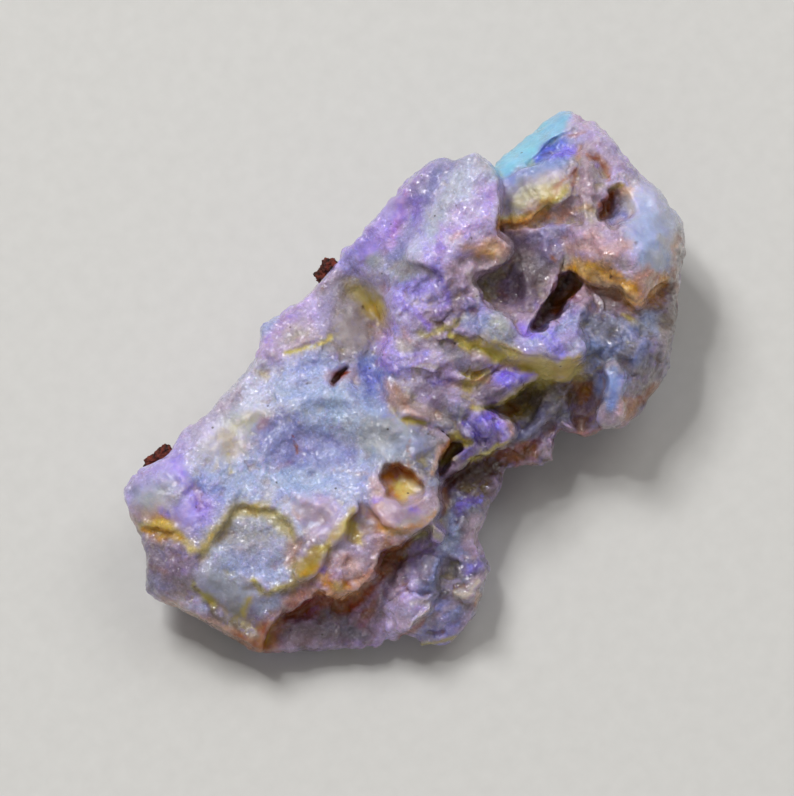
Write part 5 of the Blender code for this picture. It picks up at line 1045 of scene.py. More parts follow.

# The stains of the seen side, lowest first, with painted shade and painted light among them where a comment
# says so
STAINS_SHADE_AND_LIGHT = tuple(Patch(*row) for row in (
    # The slab's tip
    (T.LILAC, 0.8, ((126, 486, 10), (150, 470, 12), (180, 445, 12), (200, 428, 10))),
    (T.SAGE, 0.6, ((138, 496, 13), (168, 488, 15))),
    (T.LILAC, 0.7, ((124, 500, 6), (128, 512, 5))),
    (T.SALMON, 0.45, ((135, 516, 8), (158, 512, 8))),
    (T.VIOLET, 0.3, ((178, 462, 8), (188, 480, 6), (192, 496, 6), (198, 508, 7), (207, 518, 6))),
    (T.VIOLET, 0.4, ((163, 512, 6), (172, 519, 6))),
    (T.CREAM, 0.4, ((150, 508, 8), (168, 502, 10))),
    (T.MAUVE, 0.5, ((152, 548, 13), (172, 575, 20), (165, 590, 10))),
    (T.YELLOW, 0.6, ((140, 527, 6), (160, 526, 8), (182, 533, 8), (192, 544, 6))),
    (T.GOLD, 0.7, ((142, 531, 3), (150, 529, 5), (165, 530, 5), (178, 533, 5), (185, 536, 3))),
    (T.YELLOW, 0.5, ((148, 527, 3), (164, 527, 3.5), (180, 531, 3))),
    (T.PERIWINKLE, 0.5, ((152, 580, 6), (165, 584, 6))),
    (T.AMBER, 0.3, ((150, 564, 3), (166, 570, 4))),
    (T.SALMON, 0.6, ((165, 600, 5), (200, 616, 6), (230, 632, 6))),
    (T.OLIVE, 0.8, ((192, 586, 3), (203, 595, 4), (214, 600, 5))),
    (T.UMBER, 0.9, ((193, 587, 1.6), (198, 590, 1.4))),
    (T.AZURE, 0.5, ((203, 606, 5), (190, 608, 4))),
    (T.AMBER, 0.8, ((235, 637, 7), (255, 648, 9), (268, 640, 7), (275, 625, 5))),
    # The slab's back edge and its upper end
    (T.AZURE, 0.6, ((262, 330, 8), (272, 320, 7))),
    (T.PURPLE, 0.45, ((260, 352, 7), (272, 338, 8), (285, 325, 8), (300, 312, 7))),
    (T.LILAC, 0.6, ((310, 310, 9), (322, 326, 9), (335, 286, 7))),
    (T.CREAM, 0.5, ((285, 338, 10), (302, 330, 11))),
    (T.TAUPE, 0.6, ((345, 290, 17), (350, 318, 23), (355, 342, 16))),
    (T.ROSE, 0.5, ((340, 272, 7), (330, 283, 6))),
    (T.YELLOW, 0.5, ((258, 372, 4), (268, 379, 4))),
    (T.YELLOW, 0.95, ((290, 352, 2.5), (305, 350, 3), (316, 347, 3), (332, 337, 2.5))),
    (T.PALE, 0.9, ((312, 347, 1.5), (316, 345, 1.5))),
    (T.OLIVE, 0.55, ((352, 286, 7), (364, 300, 10), (376, 315, 9), (385, 328, 6))),
    (T.GOLD, 0.3, ((372, 306, 6), (384, 322, 5))),
    (T.SKY, 0.5, ((305, 366, 10), (322, 364, 12))),
    (T.SKY, 0.9, ((366, 362, 8), (370, 378, 11), (374, 393, 9))),
    (T.COBALT, 0.4, ((366, 372, 6), (372, 386, 6))),
    (T.SALMON, 0.4, ((330, 375, 6), (352, 372, 7), (357, 384, 5))),
    (T.RUST, 1.0, ((335, 382, 4), (338, 376, 3.5), (346, 369, 2.5))),
    # Pale: painted highlight on the slab near its back edge
    (T.PALE, 0.5, ((248, 392, 12), (265, 388, 10), (240, 405, 8))),
    (T.AZURE, 0.75, ((305, 396, 14), (345, 402, 18), (372, 410, 12))),
    (T.ROSE, 0.5, ((222, 405, 8), (238, 392, 8))),
    (T.MILK, 0.4, ((195, 432, 12), (215, 420, 10))),
    (T.CREAM, 0.45, ((212, 446, 14), (242, 446, 12))),
    (T.OLIVE, 0.4, ((238, 424, 8), (252, 414, 8), (270, 411, 6))),
    (T.SAGE, 0.4, ((216, 466, 15), (232, 474, 12))),
    (T.AZURE, 0.4, ((212, 480, 14), (236, 488, 16))),
    (T.OLIVE, 0.75, ((226, 450, 1), (228, 462, 1.2), (229, 474, 1))),
    (T.OLIVE, 0.4, ((212, 470, 1.5), (218, 462, 1.5))),
    # The bowl
    (T.PERIWINKLE, 0.85, ((282, 438, 20), (318, 446, 22), (345, 452, 16), (290, 462, 14))),
    (T.AMBER, 0.45, ((262, 426, 5), (268, 420, 4))),
    (T.RUST, 0.35, ((276, 469, 4), (292, 462, 5))),
    (T.RUST, 0.85, ((294, 435, 1), (297, 446, 1.2), (301, 457, 1))),
    (T.AZURE, 0.8, ((288, 482, 12), (320, 481, 13), (348, 478, 12))),
    (T.CREAM, 0.4, ((272, 490, 10), (262, 482, 6))),
    (T.SAGE, 0.6, ((352, 425, 12), (385, 432, 15), (398, 448, 15))),
    (T.SLATE, 0.4, ((362, 424, 12), (384, 434, 16), (402, 448, 12))),
    (T.SLATE, 0.25, ((372, 428, 12), (398, 444, 12))),
    (T.AZURE, 0.5, ((354, 424, 9), (346, 436, 8))),
    (T.MAUVE, 0.35, ((150, 556, 9), (150, 584, 9))),
    (T.TAUPE, 0.3, ((258, 366, 10), (274, 346, 8), (300, 314, 10), (194, 432, 8))),
    (T.SLATE, 0.3, ((368, 384, 7), (372, 400, 6))),
    (T.AZURE, 0.4, ((420, 440, 9), (360, 465, 10))),
    (T.AMBER, 0.4, ((333, 470, 1.2), (366, 472, 1.2))),
    (T.ROSE, 0.6, ((436, 434, 5), (445, 439, 4))),
    (T.AMBER, 0.45, ((409, 440, 1.2), (411, 455, 1.2), (410, 468, 1.2))),
    (T.OLIVE, 1.0, ((403, 418, 2.6), (414, 419, 4), (424, 423, 3))),
    # The basin and the saddle beside it
    (T.MAUVE, 0.30, ((238, 540, 24), (262, 545, 22))),
    (T.AZURE, 0.35, ((242, 560, 12), (262, 568, 10))),
    (T.SAGE, 0.65, ((210, 580, 10), (232, 590, 15), (238, 605, 8))),
    (T.SLATE, 0.3, ((214, 582, 9), (234, 592, 13))),
    (T.OLIVE, 0.65, ((203, 549, 6), (213, 538, 8), (230, 514, 9), (241, 507, 9), (255, 508, 8))),
    (T.OLIVE, 0.65, ((255, 508, 8), (268, 509, 8), (278, 517, 9), (286, 526, 9), (291, 534, 6))),
    (T.YELLOW, 0.5, ((190, 549, 5), (202, 548, 5), (212, 536, 4))),
    (T.YELLOW, 0.25, ((238, 503, 3), (266, 504, 3), (282, 517, 3))),
    (T.SALMON, 0.5, ((292, 545, 6), (287, 560, 5))),
    (T.ROSE, 0.65, ((308, 505, 12), (325, 516, 12), (310, 535, 8))),
    (T.TAUPE, 0.45, ((308, 512, 12), (326, 514, 12))),
    (T.SALMON, 0.5, ((294, 510, 4), (300, 518, 5))),
    # Pale: painted glints on the saddle
    (T.PALE, 0.9, ((309, 523, 1.8), (314, 522, 1.5), (320, 524, 2))),
    # Pale: painted highlight along a rib's crest
    (T.PALE, 0.7, ((297, 522, 2.5), (299, 535, 2))),
    (T.OLIVE, 0.85, ((270, 591, 4), (285, 585, 5), (300, 577, 6), (313, 567, 7))),
    (T.OLIVE, 0.9, ((253, 580, 3), (262, 588, 4))),
    (T.OLIVE, 0.85, ((252, 596, 4), (245, 611, 4))),
    (T.OLIVE, 0.85, ((298, 566, 9), (310, 560, 10), (320, 550, 8), (328, 543, 5))),
    (T.AMBER, 0.3, ((300, 562, 8), (314, 554, 8))),
    (T.BISTRE, 0.3, ((300, 562, 7), (314, 555, 6))),
    (T.GOLD, 0.6, ((305, 573, 4), (318, 565, 5))),
    (T.AZURE, 0.6, ((262, 606, 9), (276, 602, 6))),
    (T.SALMON, 0.6, ((290, 600, 6), (308, 589, 7), (318, 595, 4))),
    (T.PALE, 0.5, ((345, 490, 8), (350, 500, 5))),
    (T.YELLOW, 0.7, ((354, 509, 4), (348, 517, 5), (343, 528, 7), (336, 540, 7), (329, 548, 6))),
    (T.CREAM, 0.9, ((351, 513, 1.8), (347, 518, 1.8))),
    (T.OLIVE, 0.85, ((351, 521, 5), (354, 531, 6), (360, 541, 4))),
    (T.ROSE, 0.6, ((343, 552, 10), (360, 560, 12), (372, 545, 8))),
    (T.SALMON, 0.5, ((346, 560, 9), (358, 572, 10))),
    (T.LILAC, 0.35, ((338, 546, 6), (365, 551, 5))),
    # Honey: painted light, the glow of the drip's thin lit lip
    (T.HONEY_LIGHT, 0.5, ((324, 574, 6), (336, 586, 8), (354, 585, 7), (368, 573, 5))),
    (T.VIOLET, 0.5, ((325, 569, 4),)),
    (T.SALMON, 0.6, ((320, 588, 4), (338, 593, 6), (356, 588, 5), (370, 577, 4), (377, 564, 3))),
    # Honey: painted light, the glow of the drip's thin lit lip
    (T.HONEY_LIGHT, 0.5, ((322, 590, 4), (338, 595, 5), (356, 590, 4))),
    (T.AMBER, 0.5, ((332, 597, 3), (352, 594, 3), (368, 583, 3))),
    # The orange hollow and the lip in front of it
    (T.SALMON, 0.55, ((372, 478, 6), (378, 495, 6), (376, 515, 6), (386, 524, 6))),
    (T.ROSE, 0.75, ((392, 508, 8), (412, 514, 9), (430, 504, 8), (436, 494, 5))),
    (T.VIOLET, 0.7, ((410, 508, 4), (417, 508, 4))),
    (T.VIOLET, 0.7, ((376, 499, 4),)),
    (T.GOLD, 0.65, ((380, 524, 3), (392, 530, 4), (408, 529, 4.5), (437, 513, 3))),
    (T.CREAM, 0.6, ((400, 524, 3), (420, 517, 3), (434, 510, 2))),
    (T.AMBER, 1.0, ((384, 474, 5), (394, 469, 6), (408, 473, 5), (417, 482, 3.5))),
    (T.RUST, 0.4, ((390, 468, 3), (404, 470, 4), (412, 476, 3))),
    (T.STRAW, 0.8, ((397, 486, 7), (411, 487, 7), (402, 497, 5))),
    (T.AMBER, 0.9, ((391, 490, 4),)),
    (T.AZURE, 0.5, ((428, 482, 5), (439, 480, 4))),
    (T.SALMON, 0.7, ((441, 449, 3.5), (436, 462, 4), (433, 471, 3))),
    # The wing's back
    (T.LILAC, 0.85, ((350, 258, 10), (372, 235, 14), (395, 205, 15), (420, 178, 15), (445, 165, 9))),
    (T.VIOLET, 0.4, ((360, 252, 8), (372, 236, 7), (374, 246, 6))),
    (T.LILAC, 0.85, ((347, 258, 8), (352, 268, 7), (358, 274, 5))),
    (T.PERIWINKLE, 0.85, ((437, 172, 7), (428, 192, 8), (414, 220, 8), (402, 242, 8), (394, 258, 7))),
    (T.PURPLE, 0.6, ((389, 245, 4), (403, 192, 5))),
    (T.PALE, 0.65, ((468, 168, 10), (456, 190, 11), (441, 210, 9), (428, 232, 9), (410, 252, 7))),
    (T.SAGE, 0.5, ((462, 175, 8), (452, 195, 8), (438, 213, 7), (426, 226, 6))),
    (T.LILAC, 0.7, ((492, 185, 9), (488, 208, 11), (440, 250, 14), (424, 262, 7))),
    (T.SLATE, 0.3, ((480, 163, 8), (462, 158, 8), (444, 164, 9), (424, 180, 10), (396, 210, 8))),
    # Pearl here and in the next row: painted light on wing faces that turn away from the key lamp
    (T.PEARL_LIGHT, 0.95, ((488, 212, 9), (472, 228, 14), (452, 240, 12))),
    (T.PEARL_LIGHT, 0.2, ((350, 256, 8), (366, 246, 9), (376, 234, 8))),
    (T.VIOLET, 0.3, ((352, 256, 7), (374, 236, 7), (414, 202, 8), (440, 306, 7))),
    (T.PURPLE, 0.55, ((494, 186, 5), (484, 220, 7), (462, 232, 9), (440, 225, 6), (438, 262, 6))),
    (T.SALMON, 0.6, ((452, 239, 4), (458, 234, 4))),
    (T.TAUPE, 0.65, ((400, 269, 5), (416, 268, 5), (431, 273, 4))),
    (T.SALMON, 0.85, ((468, 248, 7), (485, 249, 9), (500, 248, 8), (508, 250, 4))),
    (T.GOLD, 0.5, ((480, 254, 4), (493, 254, 4))),
    (T.AMBER, 0.5, ((504, 246, 4),)),
    (T.ROSE, 0.75, ((452, 268, 6), (472, 267, 6), (494, 264, 5), (470, 279, 5), (475, 290, 5))),
    (T.CREAM, 0.5, ((470, 275, 3), (476, 286, 3), (478, 302, 3))),
    # The mass in the middle
    (T.LILAC, 0.5, ((400, 318, 14), (425, 330, 12), (390, 362, 10))),
    (T.ROSE, 0.5, ((402, 342, 11), (414, 352, 9))),
    (T.TAUPE, 0.35, ((404, 348, 10), (430, 340, 8))),
    (T.VIOLET, 0.45, ((398, 296, 5), (406, 310, 5))),
    (T.LAVENDER, 0.8, ((414, 292, 6), (426, 284, 7))),
    (T.VIOLET, 0.35, ((418, 292, 4), (428, 286, 4))),
    (T.MAUVE, 0.3, ((454, 314, 9), (430, 330, 9))),
    (T.LILAC, 0.4, ((438, 296, 8), (452, 304, 7))),
    (T.VIOLET, 0.6, ((416, 311, 5), (429, 324, 4))),
    (T.VIOLET, 0.4, ((434, 266, 5), (446, 288, 4), (448, 302, 4))),
    (T.PURPLE, 0.65, ((394, 325, 4), (387, 335, 5), (383, 350, 5), (380, 364, 5))),
    (T.CREAM, 0.6, ((400, 342, 6), (408, 350, 5))),
    (T.SALMON, 0.45, ((404, 329, 4), (410, 340, 3))),
    (T.VIOLET, 0.35, ((388, 366, 6), (402, 372, 6), (428, 352, 4), (392, 352, 4))),
    (T.CREAM, 0.7, ((412, 368, 3.5), (425, 366, 3.5), (436, 369, 3))),
    (T.MAUVE, 0.85, ((418, 384, 11), (440, 388, 12), (434, 400, 9))),
    (T.BISTRE, 0.2, ((424, 386, 10), (440, 392, 10))),
    (T.INDIGO, 0.6, ((430, 381, 4), (446, 380, 3))),
    (T.SALMON, 0.6, ((388, 384, 6), (396, 398, 8), (412, 410, 8), (434, 416, 6))),
    (T.TAUPE, 0.6, ((444, 410, 7), (446, 424, 5), (398, 398, 5))),
    (T.AMBER, 0.35, ((396, 386, 5), (404, 404, 5))),
    (T.OLIVE, 0.75, ((422, 333, 4), (440, 330, 3.5), (456, 324, 3.5), (466, 317, 3))),
    # The finger, the tongue and its yellow flank
    (T.SLATE, 0.65, ((438, 346, 7), (455, 352, 8), (462, 366, 6))),
    (T.SKY, 0.65, ((468, 320, 6), (480, 322, 8))),
    (T.LILAC, 0.85, ((522, 336, 8), (540, 340, 10), (560, 338, 10), (576, 342, 7))),
    (T.AZURE, 0.6, ((530, 344, 4), (572, 322, 6), (545, 342, 4))),
    (T.VIOLET, 0.6, ((520, 322, 4), (526, 332, 4), (560, 350, 5), (550, 331, 4))),
    (T.PALE, 0.6, ((572, 348, 4), (578, 340, 3))),
    (T.ROSE, 0.6, ((551, 322, 5), (490, 306, 5), (508, 317, 3))),
    (T.YELLOW, 0.9, (
        (450, 335, 3), (470, 342, 4), (495, 354, 6), (520, 363, 7), (545, 371, 8), (565, 371, 8),
    )),
    (T.STRAW, 0.85, (
        (492, 343, 2.5), (510, 350, 3.5), (530, 358, 4), (548, 362, 5), (565, 361, 4), (580, 356, 3),
    )),
    (T.YELLOW, 0.7, ((540, 370, 5), (560, 371, 6), (574, 366, 5))),
    (T.OLIVE, 0.8, ((462, 343, 4), (500, 361, 4), (520, 366, 4), (540, 369, 3.5), (560, 370, 3))),
    (T.STRAW, 0.95, ((512, 372, 2.5), (548, 380, 3), (564, 380, 3), (577, 370, 4))),
    (T.TAUPE, 0.3, ((526, 402, 8), (542, 396, 8))),
    (T.MAUVE, 0.6, ((470, 356, 6), (482, 360, 5))),
    (T.ROSE, 0.7, ((476, 352, 5), (488, 359, 4))),
    (T.STRAW, 0.6, ((534, 366, 4), (556, 369, 5), (572, 368, 5))),
    (T.OLIVE, 0.7, ((464, 384, 5), (478, 381, 5), (490, 372, 4))),
    # The fin, the blade and the notch beside them
    (T.MAUVE, 0.7, ((484, 393, 9), (496, 388, 7))),
    (T.VIOLET, 0.8, ((504, 378, 6), (516, 376, 6), (530, 375, 4))),
    (T.MAUVE, 0.6, ((492, 397, 7), (504, 390, 5))),
    (T.OLIVE, 0.85, ((472, 407, 3), (490, 405, 3), (518, 393, 3), (531, 383, 3))),
    (T.SALMON, 0.6, ((472, 384, 3), (484, 377, 3))),
    (T.MAUVE, 0.8, ((462, 424, 7), (470, 416, 7), (490, 430, 8), (470, 448, 6))),
    (T.VIOLET, 0.85, ((464, 420, 4), (484, 416, 6), (486, 430, 8), (500, 426, 5))),
    (T.TAUPE, 0.4, ((474, 424, 5), (498, 438, 4), (460, 412, 5))),
    (T.LILAC, 0.5, ((478, 410, 4), (462, 428, 3), (500, 418, 3))),
    (T.INDIGO, 0.6, ((470, 440, 6), (466, 454, 5), (476, 424, 4))),
    (T.SALMON, 0.6, ((510, 427, 4), (512, 434, 3))),
    (T.YELLOW, 0.8, ((508, 442, 2.5), (495, 449, 3), (482, 454, 3), (472, 460, 2.5))),
    (T.MAUVE, 0.6, ((456, 462, 5), (448, 474, 4))),
    (T.OLIVE, 0.95, ((455, 437, 4), (468, 440, 4), (442, 464, 4))),
    (T.AMBER, 0.95, ((451, 441, 3.5), (447, 449, 5), (444, 458, 4))),
    (T.OLIVE, 0.5, ((445, 464, 4), (450, 456, 3))),
    # Honey: painted light, lifting the shade in the notch
    (T.HONEY_LIGHT, 0.4, ((451, 446, 5), (447, 455, 4))),
    (T.LILAC, 0.35, ((465, 362, 6), (452, 366, 5))),
    # The head's facet, terrace and hollows
    (T.CYAN, 1.0, ((508, 166, 8), (520, 155, 10), (545, 132, 11), (562, 118, 9))),
    (T.ROSE, 0.6, ((578, 116, 5), (590, 124, 6))),
    (T.SAGE, 0.6, ((576, 126, 6), (568, 124, 4))),
    (T.PALE, 1.0, ((570, 127, 2.2),)),
    (T.AMBER, 0.7, ((570, 134, 2.5), (587, 131, 2.5))),
    (T.COBALT, 0.95, ((540, 155, 4), (548, 148, 6), (562, 144, 6))),
    (T.VIOLET, 0.9, ((566, 148, 5), (576, 147, 6), (552, 157, 3))),
    (T.UMBER, 0.6, ((544, 153, 2.5), (551, 152, 2.5))),
    (T.SKY, 0.7, ((508, 180, 6), (528, 171, 6), (548, 163, 6), (562, 160, 6))),
    (T.SLATE, 0.3, ((510, 200, 10), (528, 192, 11))),
    (T.OLIVE, 0.35, ((536, 190, 8), (552, 186, 8), (566, 184, 6))),
    (T.TAUPE, 0.35, ((512, 204, 10), (524, 190, 9), (548, 178, 9))),
    (T.YELLOW, 0.85, ((541, 200, 6), (553, 196, 7), (565, 191, 6), (546, 205, 5))),
    (T.BISTRE, 0.25, ((552, 190, 12), (520, 198, 12))),
    (T.SLATE, 0.3, ((516, 196, 10), (532, 188, 9))),
    (T.SLATE, 0.3, ((618, 160, 7), (634, 170, 8))),
    (T.OLIVE, 0.8, ((502, 222, 4), (540, 211, 3), (549, 208, 2.5))),
    (T.GOLD, 0.9, ((500, 228, 4), (514, 222, 3), (528, 220, 3.5), (538, 214, 3.5))),
    (T.AMBER, 0.6, ((512, 226, 3), (520, 226, 3), (575, 168, 3), (573, 184, 3))),
    (T.SALMON, 0.85, ((548, 214, 6), (568, 211, 7), (558, 220, 4))),
    # Honey: painted light on the terrace's front edge
    (T.HONEY_LIGHT, 0.8, ((512, 225, 4), (530, 220, 4), (545, 213, 4))),
    (T.MAUVE, 0.5, ((552, 232, 8), (566, 230, 5))),
    (T.ROSE, 0.85, ((594, 140, 7), (588, 165, 8), (585, 185, 8), (592, 200, 8), (572, 203, 5))),
    (T.SALMON, 0.5, ((584, 146, 4), (579, 158, 3))),
    (T.LILAC, 0.6, ((582, 136, 5), (601, 134, 5))),
    (T.CREAM, 0.7, ((582, 210, 5), (594, 208, 4), (590, 216, 6))),
    (T.GOLD, 0.4, ((578, 208, 3), (592, 209, 3))),
    (T.ROSE, 0.6, ((608, 148, 8), (622, 163, 9))),
    (T.LILAC, 0.5, ((612, 142, 5), (636, 166, 6), (652, 184, 6))),
    (T.CREAM, 0.55, ((620, 175, 5), (636, 181, 6))),
    (T.AMBER, 0.7, ((591, 157, 3), (602, 157, 4), (608, 168, 4), (610, 178, 2))),
    (T.RUST, 0.6, ((597, 157, 2.5), (605, 164, 2.5))),
    (T.VIOLET, 0.5, ((597, 164, 2.5),)),
    (T.AZURE, 0.85, ((648, 205, 12), (655, 232, 13), (646, 256, 11))),
    (T.SAGE, 0.5, ((666, 212, 7), (674, 226, 6))),
    (T.YELLOW, 0.3, ((662, 238, 5),)),
    (T.PALE, 0.5, ((650, 196, 4), (676, 226, 3), (666, 254, 3))),
    # Down the right rim: taupe, its own brownish colour, and bistre, painted shade where the rim turns from
    # the lamps
    (T.TAUPE, 0.8, ((682, 234, 5), (683, 262, 6), (676, 280, 8), (674, 300, 8), (670, 330, 8))),
    (T.BISTRE, 0.45, ((680, 258, 6), (675, 285, 9), (672, 325, 7))),
    (T.SALMON, 0.4, ((680, 238, 4), (672, 250, 3), (682, 300, 5))),
    (T.CREAM, 0.7, ((626, 194, 7), (632, 206, 6))),
    # Honey: painted light on the socket's rim
    (T.HONEY_LIGHT, 0.5, ((620, 192, 7), (630, 192, 5))),
    (T.TAUPE, 0.5, ((620, 200, 5), (628, 200, 5))),
    (T.OLIVE, 0.8, ((612, 191, 5), (622, 186, 4))),
    (T.AMBER, 1.0, ((601, 213, 4), (606, 203, 4.5), (611, 194, 4))),
    (T.RUST, 0.6, ((602, 212, 3), (606, 203, 3))),
    (T.UMBER, 0.4, ((601, 213, 2.5), (604, 206, 2))),
    (T.PERIWINKLE, 1.0, ((611, 221, 4), (617, 212, 5), (625, 215, 4))),
    # The brow and the cavity under it
    (T.ROSE, 0.75, ((574, 236, 8), (596, 238, 14), (618, 246, 13))),
    (T.BLUSH, 0.5, ((582, 234, 6), (604, 240, 9), (626, 256, 9))),
    (T.SALMON, 0.6, ((572, 248, 7), (590, 236, 8), (604, 256, 9), (628, 244, 6))),
    (T.SALMON, 0.6, ((640, 282, 9), (650, 270, 6))),
    # The honey rows of the brow are painted light: the glow of its thin lit edge
    (T.HONEY_LIGHT, 0.85, (
        (562, 268, 4), (572, 266, 6), (586, 270, 7), (618, 283, 7), (629, 294, 7), (640, 303, 5),
    )),
    (T.HONEY_LIGHT, 0.7, ((576, 264, 8), (596, 270, 10), (614, 278, 10), (630, 290, 8))),
    (T.SALMON, 0.3, ((622, 262, 9), (634, 270, 7))),
    (T.HONEY_LIGHT, 0.7, ((588, 268, 7), (602, 272, 7), (618, 280, 6))),
    (T.GOLD, 0.4, ((566, 268, 3), (585, 276, 3), (604, 283, 3), (622, 292, 3), (634, 301, 3))),
    (T.HONEY_LIGHT, 0.6, ((590, 270, 6), (604, 274, 6), (618, 281, 5))),
    (T.ROSE, 0.8, ((600, 296, 6), (614, 303, 6), (626, 312, 5))),
    (T.AZURE, 0.5, ((612, 322, 6), (628, 325, 6))),
    # Bistre: painted shade on the right rim, which turns from the lamps
    (T.BISTRE, 0.45, ((655, 325, 9), (646, 342, 7), (668, 320, 6))),
    # Blush: painted light, lifting faces of the brow turned from the key lamp
    (T.BLUSH, 0.4, ((575, 235, 7), (612, 250, 7), (626, 262, 8))),
    (T.SLATE, 0.35, ((612, 216, 5), (622, 208, 5))),
    (T.CREAM, 0.6, ((560, 268, 5), (566, 258, 4), (636, 298, 4))),
    (T.UMBER, 1.0, ((600, 262, 1), (602, 268, 1))),
    (T.UMBER, 1.0, ((606, 268, 0.8), (611, 268, 0.8))),
    (T.RUST, 0.9, ((611, 275, 1.6), (615, 277, 1))),
    (T.PALE, 0.8, ((626, 279, 1.6), (629, 281, 1.4))),
    # Honey: painted light at the right end of the brow's edge
    (T.HONEY_LIGHT, 0.6, ((656, 287, 3), (650, 294, 3), (662, 281, 4))),
    (T.MAUVE, 0.8, ((520, 242, 16), (545, 245, 12), (530, 275, 20), (512, 290, 14), (532, 304, 10))),
    # The bistre rows of the cavity are painted shade in its recess
    (T.BISTRE, 0.35, ((525, 258, 16), (520, 285, 16), (540, 262, 12))),
    (T.PERIWINKLE, 0.3, ((530, 234, 6), (550, 240, 7), (540, 264, 7))),
    (T.TAUPE, 0.4, ((530, 262, 10), (546, 272, 8))),
    (T.BISTRE, 0.3, ((530, 264, 14), (540, 284, 10))),
    (T.BISTRE, 0.4, ((505, 270, 7), (488, 282, 7), (494, 296, 6), (506, 304, 4))),
    (T.OLIVE, 0.35, ((484, 284, 5), (490, 300, 4))),
    (T.VIOLET, 0.3, ((536, 306, 4),)),
    (T.RUST, 0.3, ((500, 290, 4), (505, 298, 3))),
    (T.AMBER, 0.8, ((552, 258, 2.5),)),
    (T.ROSE, 0.5, ((554, 272, 5), (546, 292, 5), (536, 312, 4))),
    (T.UMBER, 0.95, ((571, 276, 6), (562, 292, 8), (539, 323, 6), (534, 326, 4))),
    (T.RUST, 0.9, ((576, 284, 5), (566, 298, 6), (555, 312, 5))),
    (T.AMBER, 0.5, ((572, 288, 4), (562, 304, 4))),
    (T.ROSE, 0.7, ((588, 288, 6), (580, 300, 6), (566, 312, 4))),
    (T.PERIWINKLE, 0.5, ((572, 306, 5), (566, 318, 5), (582, 314, 4))),
    (T.ROSE, 0.7, ((596, 290, 6), (612, 298, 7))),
    (T.TAUPE, 0.6, ((600, 294, 6), (612, 304, 7))),
    (T.AMBER, 0.6, ((592, 284, 3), (606, 288, 3), (618, 298, 3))),
    (T.OLIVE, 0.75, ((624, 314, 3), (634, 320, 4), (648, 324, 4))),
    # The shelf, the knob and the pockets
    (T.SLATE, 0.8, ((592, 322, 10), (612, 335, 15), (600, 350, 11), (638, 352, 13), (636, 372, 7))),
    (T.SKY, 0.55, ((592, 344, 6), (610, 352, 6), (650, 314, 7), (645, 338, 6), (632, 366, 5))),
    (T.AZURE, 0.6, ((646, 312, 5), (660, 336, 3))),
    (T.TAUPE, 0.7, ((666, 335, 6), (662, 352, 7), (664, 374, 6), (604, 366, 4), (620, 362, 4))),
    (T.AMBER, 0.7, ((660, 384, 4), (648, 392, 5), (636, 404, 6), (628, 418, 4))),
    (T.SKY, 1.0, ((612, 370, 5), (612, 388, 6), (612, 404, 5))),
    (T.PALE, 0.6, ((608, 368, 2.5), (614, 374, 2.5))),
    (T.ROSE, 0.7, ((604, 412, 5), (608, 422, 6), (620, 412, 4))),
    (T.CREAM, 0.5, ((604, 426, 3), (616, 427, 3), (628, 402, 3))),
    # Bistre: painted shade in the left pocket
    (T.BISTRE, 0.6, ((590, 380, 6), (578, 394, 7), (598, 376, 4), (568, 400, 4))),
    (T.MAUVE, 0.6, ((594, 402, 6), (586, 410, 4), (574, 406, 4))),
    (T.AMBER, 0.8, ((585, 391, 9),)),
    (T.GOLD, 0.5, ((586, 390, 4),)),
    (T.OLIVE, 0.6, ((574, 376, 3), (584, 380, 2.5), (592, 373, 2), (600, 368, 2))),
    (T.OLIVE, 0.5, ((535, 390, 7), (550, 386, 7))),
    (T.TAUPE, 0.5, ((540, 398, 8), (555, 392, 6))),
    # Bistre: painted shade in the hollow under the fin
    (T.BISTRE, 0.5, ((522, 396, 6), (566, 388, 5))),
    (T.AMBER, 0.7, ((506, 411, 4), (516, 404, 6))),
    (T.UMBER, 0.5, ((504, 412, 4), (514, 406, 5))),
    (T.OLIVE, 0.5, ((540, 386, 4), (550, 382, 4))),
    (T.SLATE, 0.7, ((556, 404, 9), (538, 414, 9), (526, 430, 9), (514, 442, 6), (566, 416, 7))),
    (T.PERIWINKLE, 0.4, ((545, 408, 5), (540, 422, 5), (518, 436, 5))),
    (T.AMBER, 0.65, ((524, 450, 6), (536, 452, 5), (508, 454, 4))),
    (T.ROSE, 0.6, ((546, 446, 7), (550, 456, 5), (570, 427, 4))),
    # Taupe and amber in the lower notch's groove: painted shade of a notch that the relief only grooves
    (T.TAUPE, 0.8, ((582, 421, 5), (581, 431, 5))),
    (T.AMBER, 0.4, ((582, 422, 4), (581, 432, 4))),
    (T.RUST, 0.75, ((500, 458, 5),)),
    (T.AMBER, 0.6, ((572, 434, 3), (588, 436, 3), (600, 430, 3))),
    # The foot
    (T.TAUPE, 0.4, ((418, 500, 8), (404, 508, 6))),
    # Pale: painted light on the shaded neck of the foot
    (T.PALE, 0.8, ((452, 540, 8), (455, 530, 6))),
    (T.BISTRE, 0.22, ((460, 572, 9), (480, 568, 8))),
    # Bistre: painted shade under the blade and on the lower rim
    (T.BISTRE, 0.25, ((462, 508, 9), (544, 456, 7))),
    (T.UMBER, 0.25, ((528, 452, 7),)),
    (T.SLATE, 0.7, ((455, 500, 10), (478, 505, 10), (440, 560, 14), (420, 570, 14), (440, 590, 12))),
    (T.TAUPE, 0.35, ((424, 572, 12), (452, 572, 12), (470, 570, 8))),
    # Umber: painted shade on the foot under the blade
    (T.UMBER, 0.9, ((448, 480, 4), (460, 478, 10), (480, 474, 11), (494, 468, 7))),
    (T.INDIGO, 0.8, ((458, 506, 6), (470, 499, 6), (482, 498, 4))),
    (T.AMBER, 0.6, ((443, 488, 2.5), (446, 500, 3), (444, 512, 2.5))),
    # Azure: painted light on the shaded neck of the foot, with its own blue
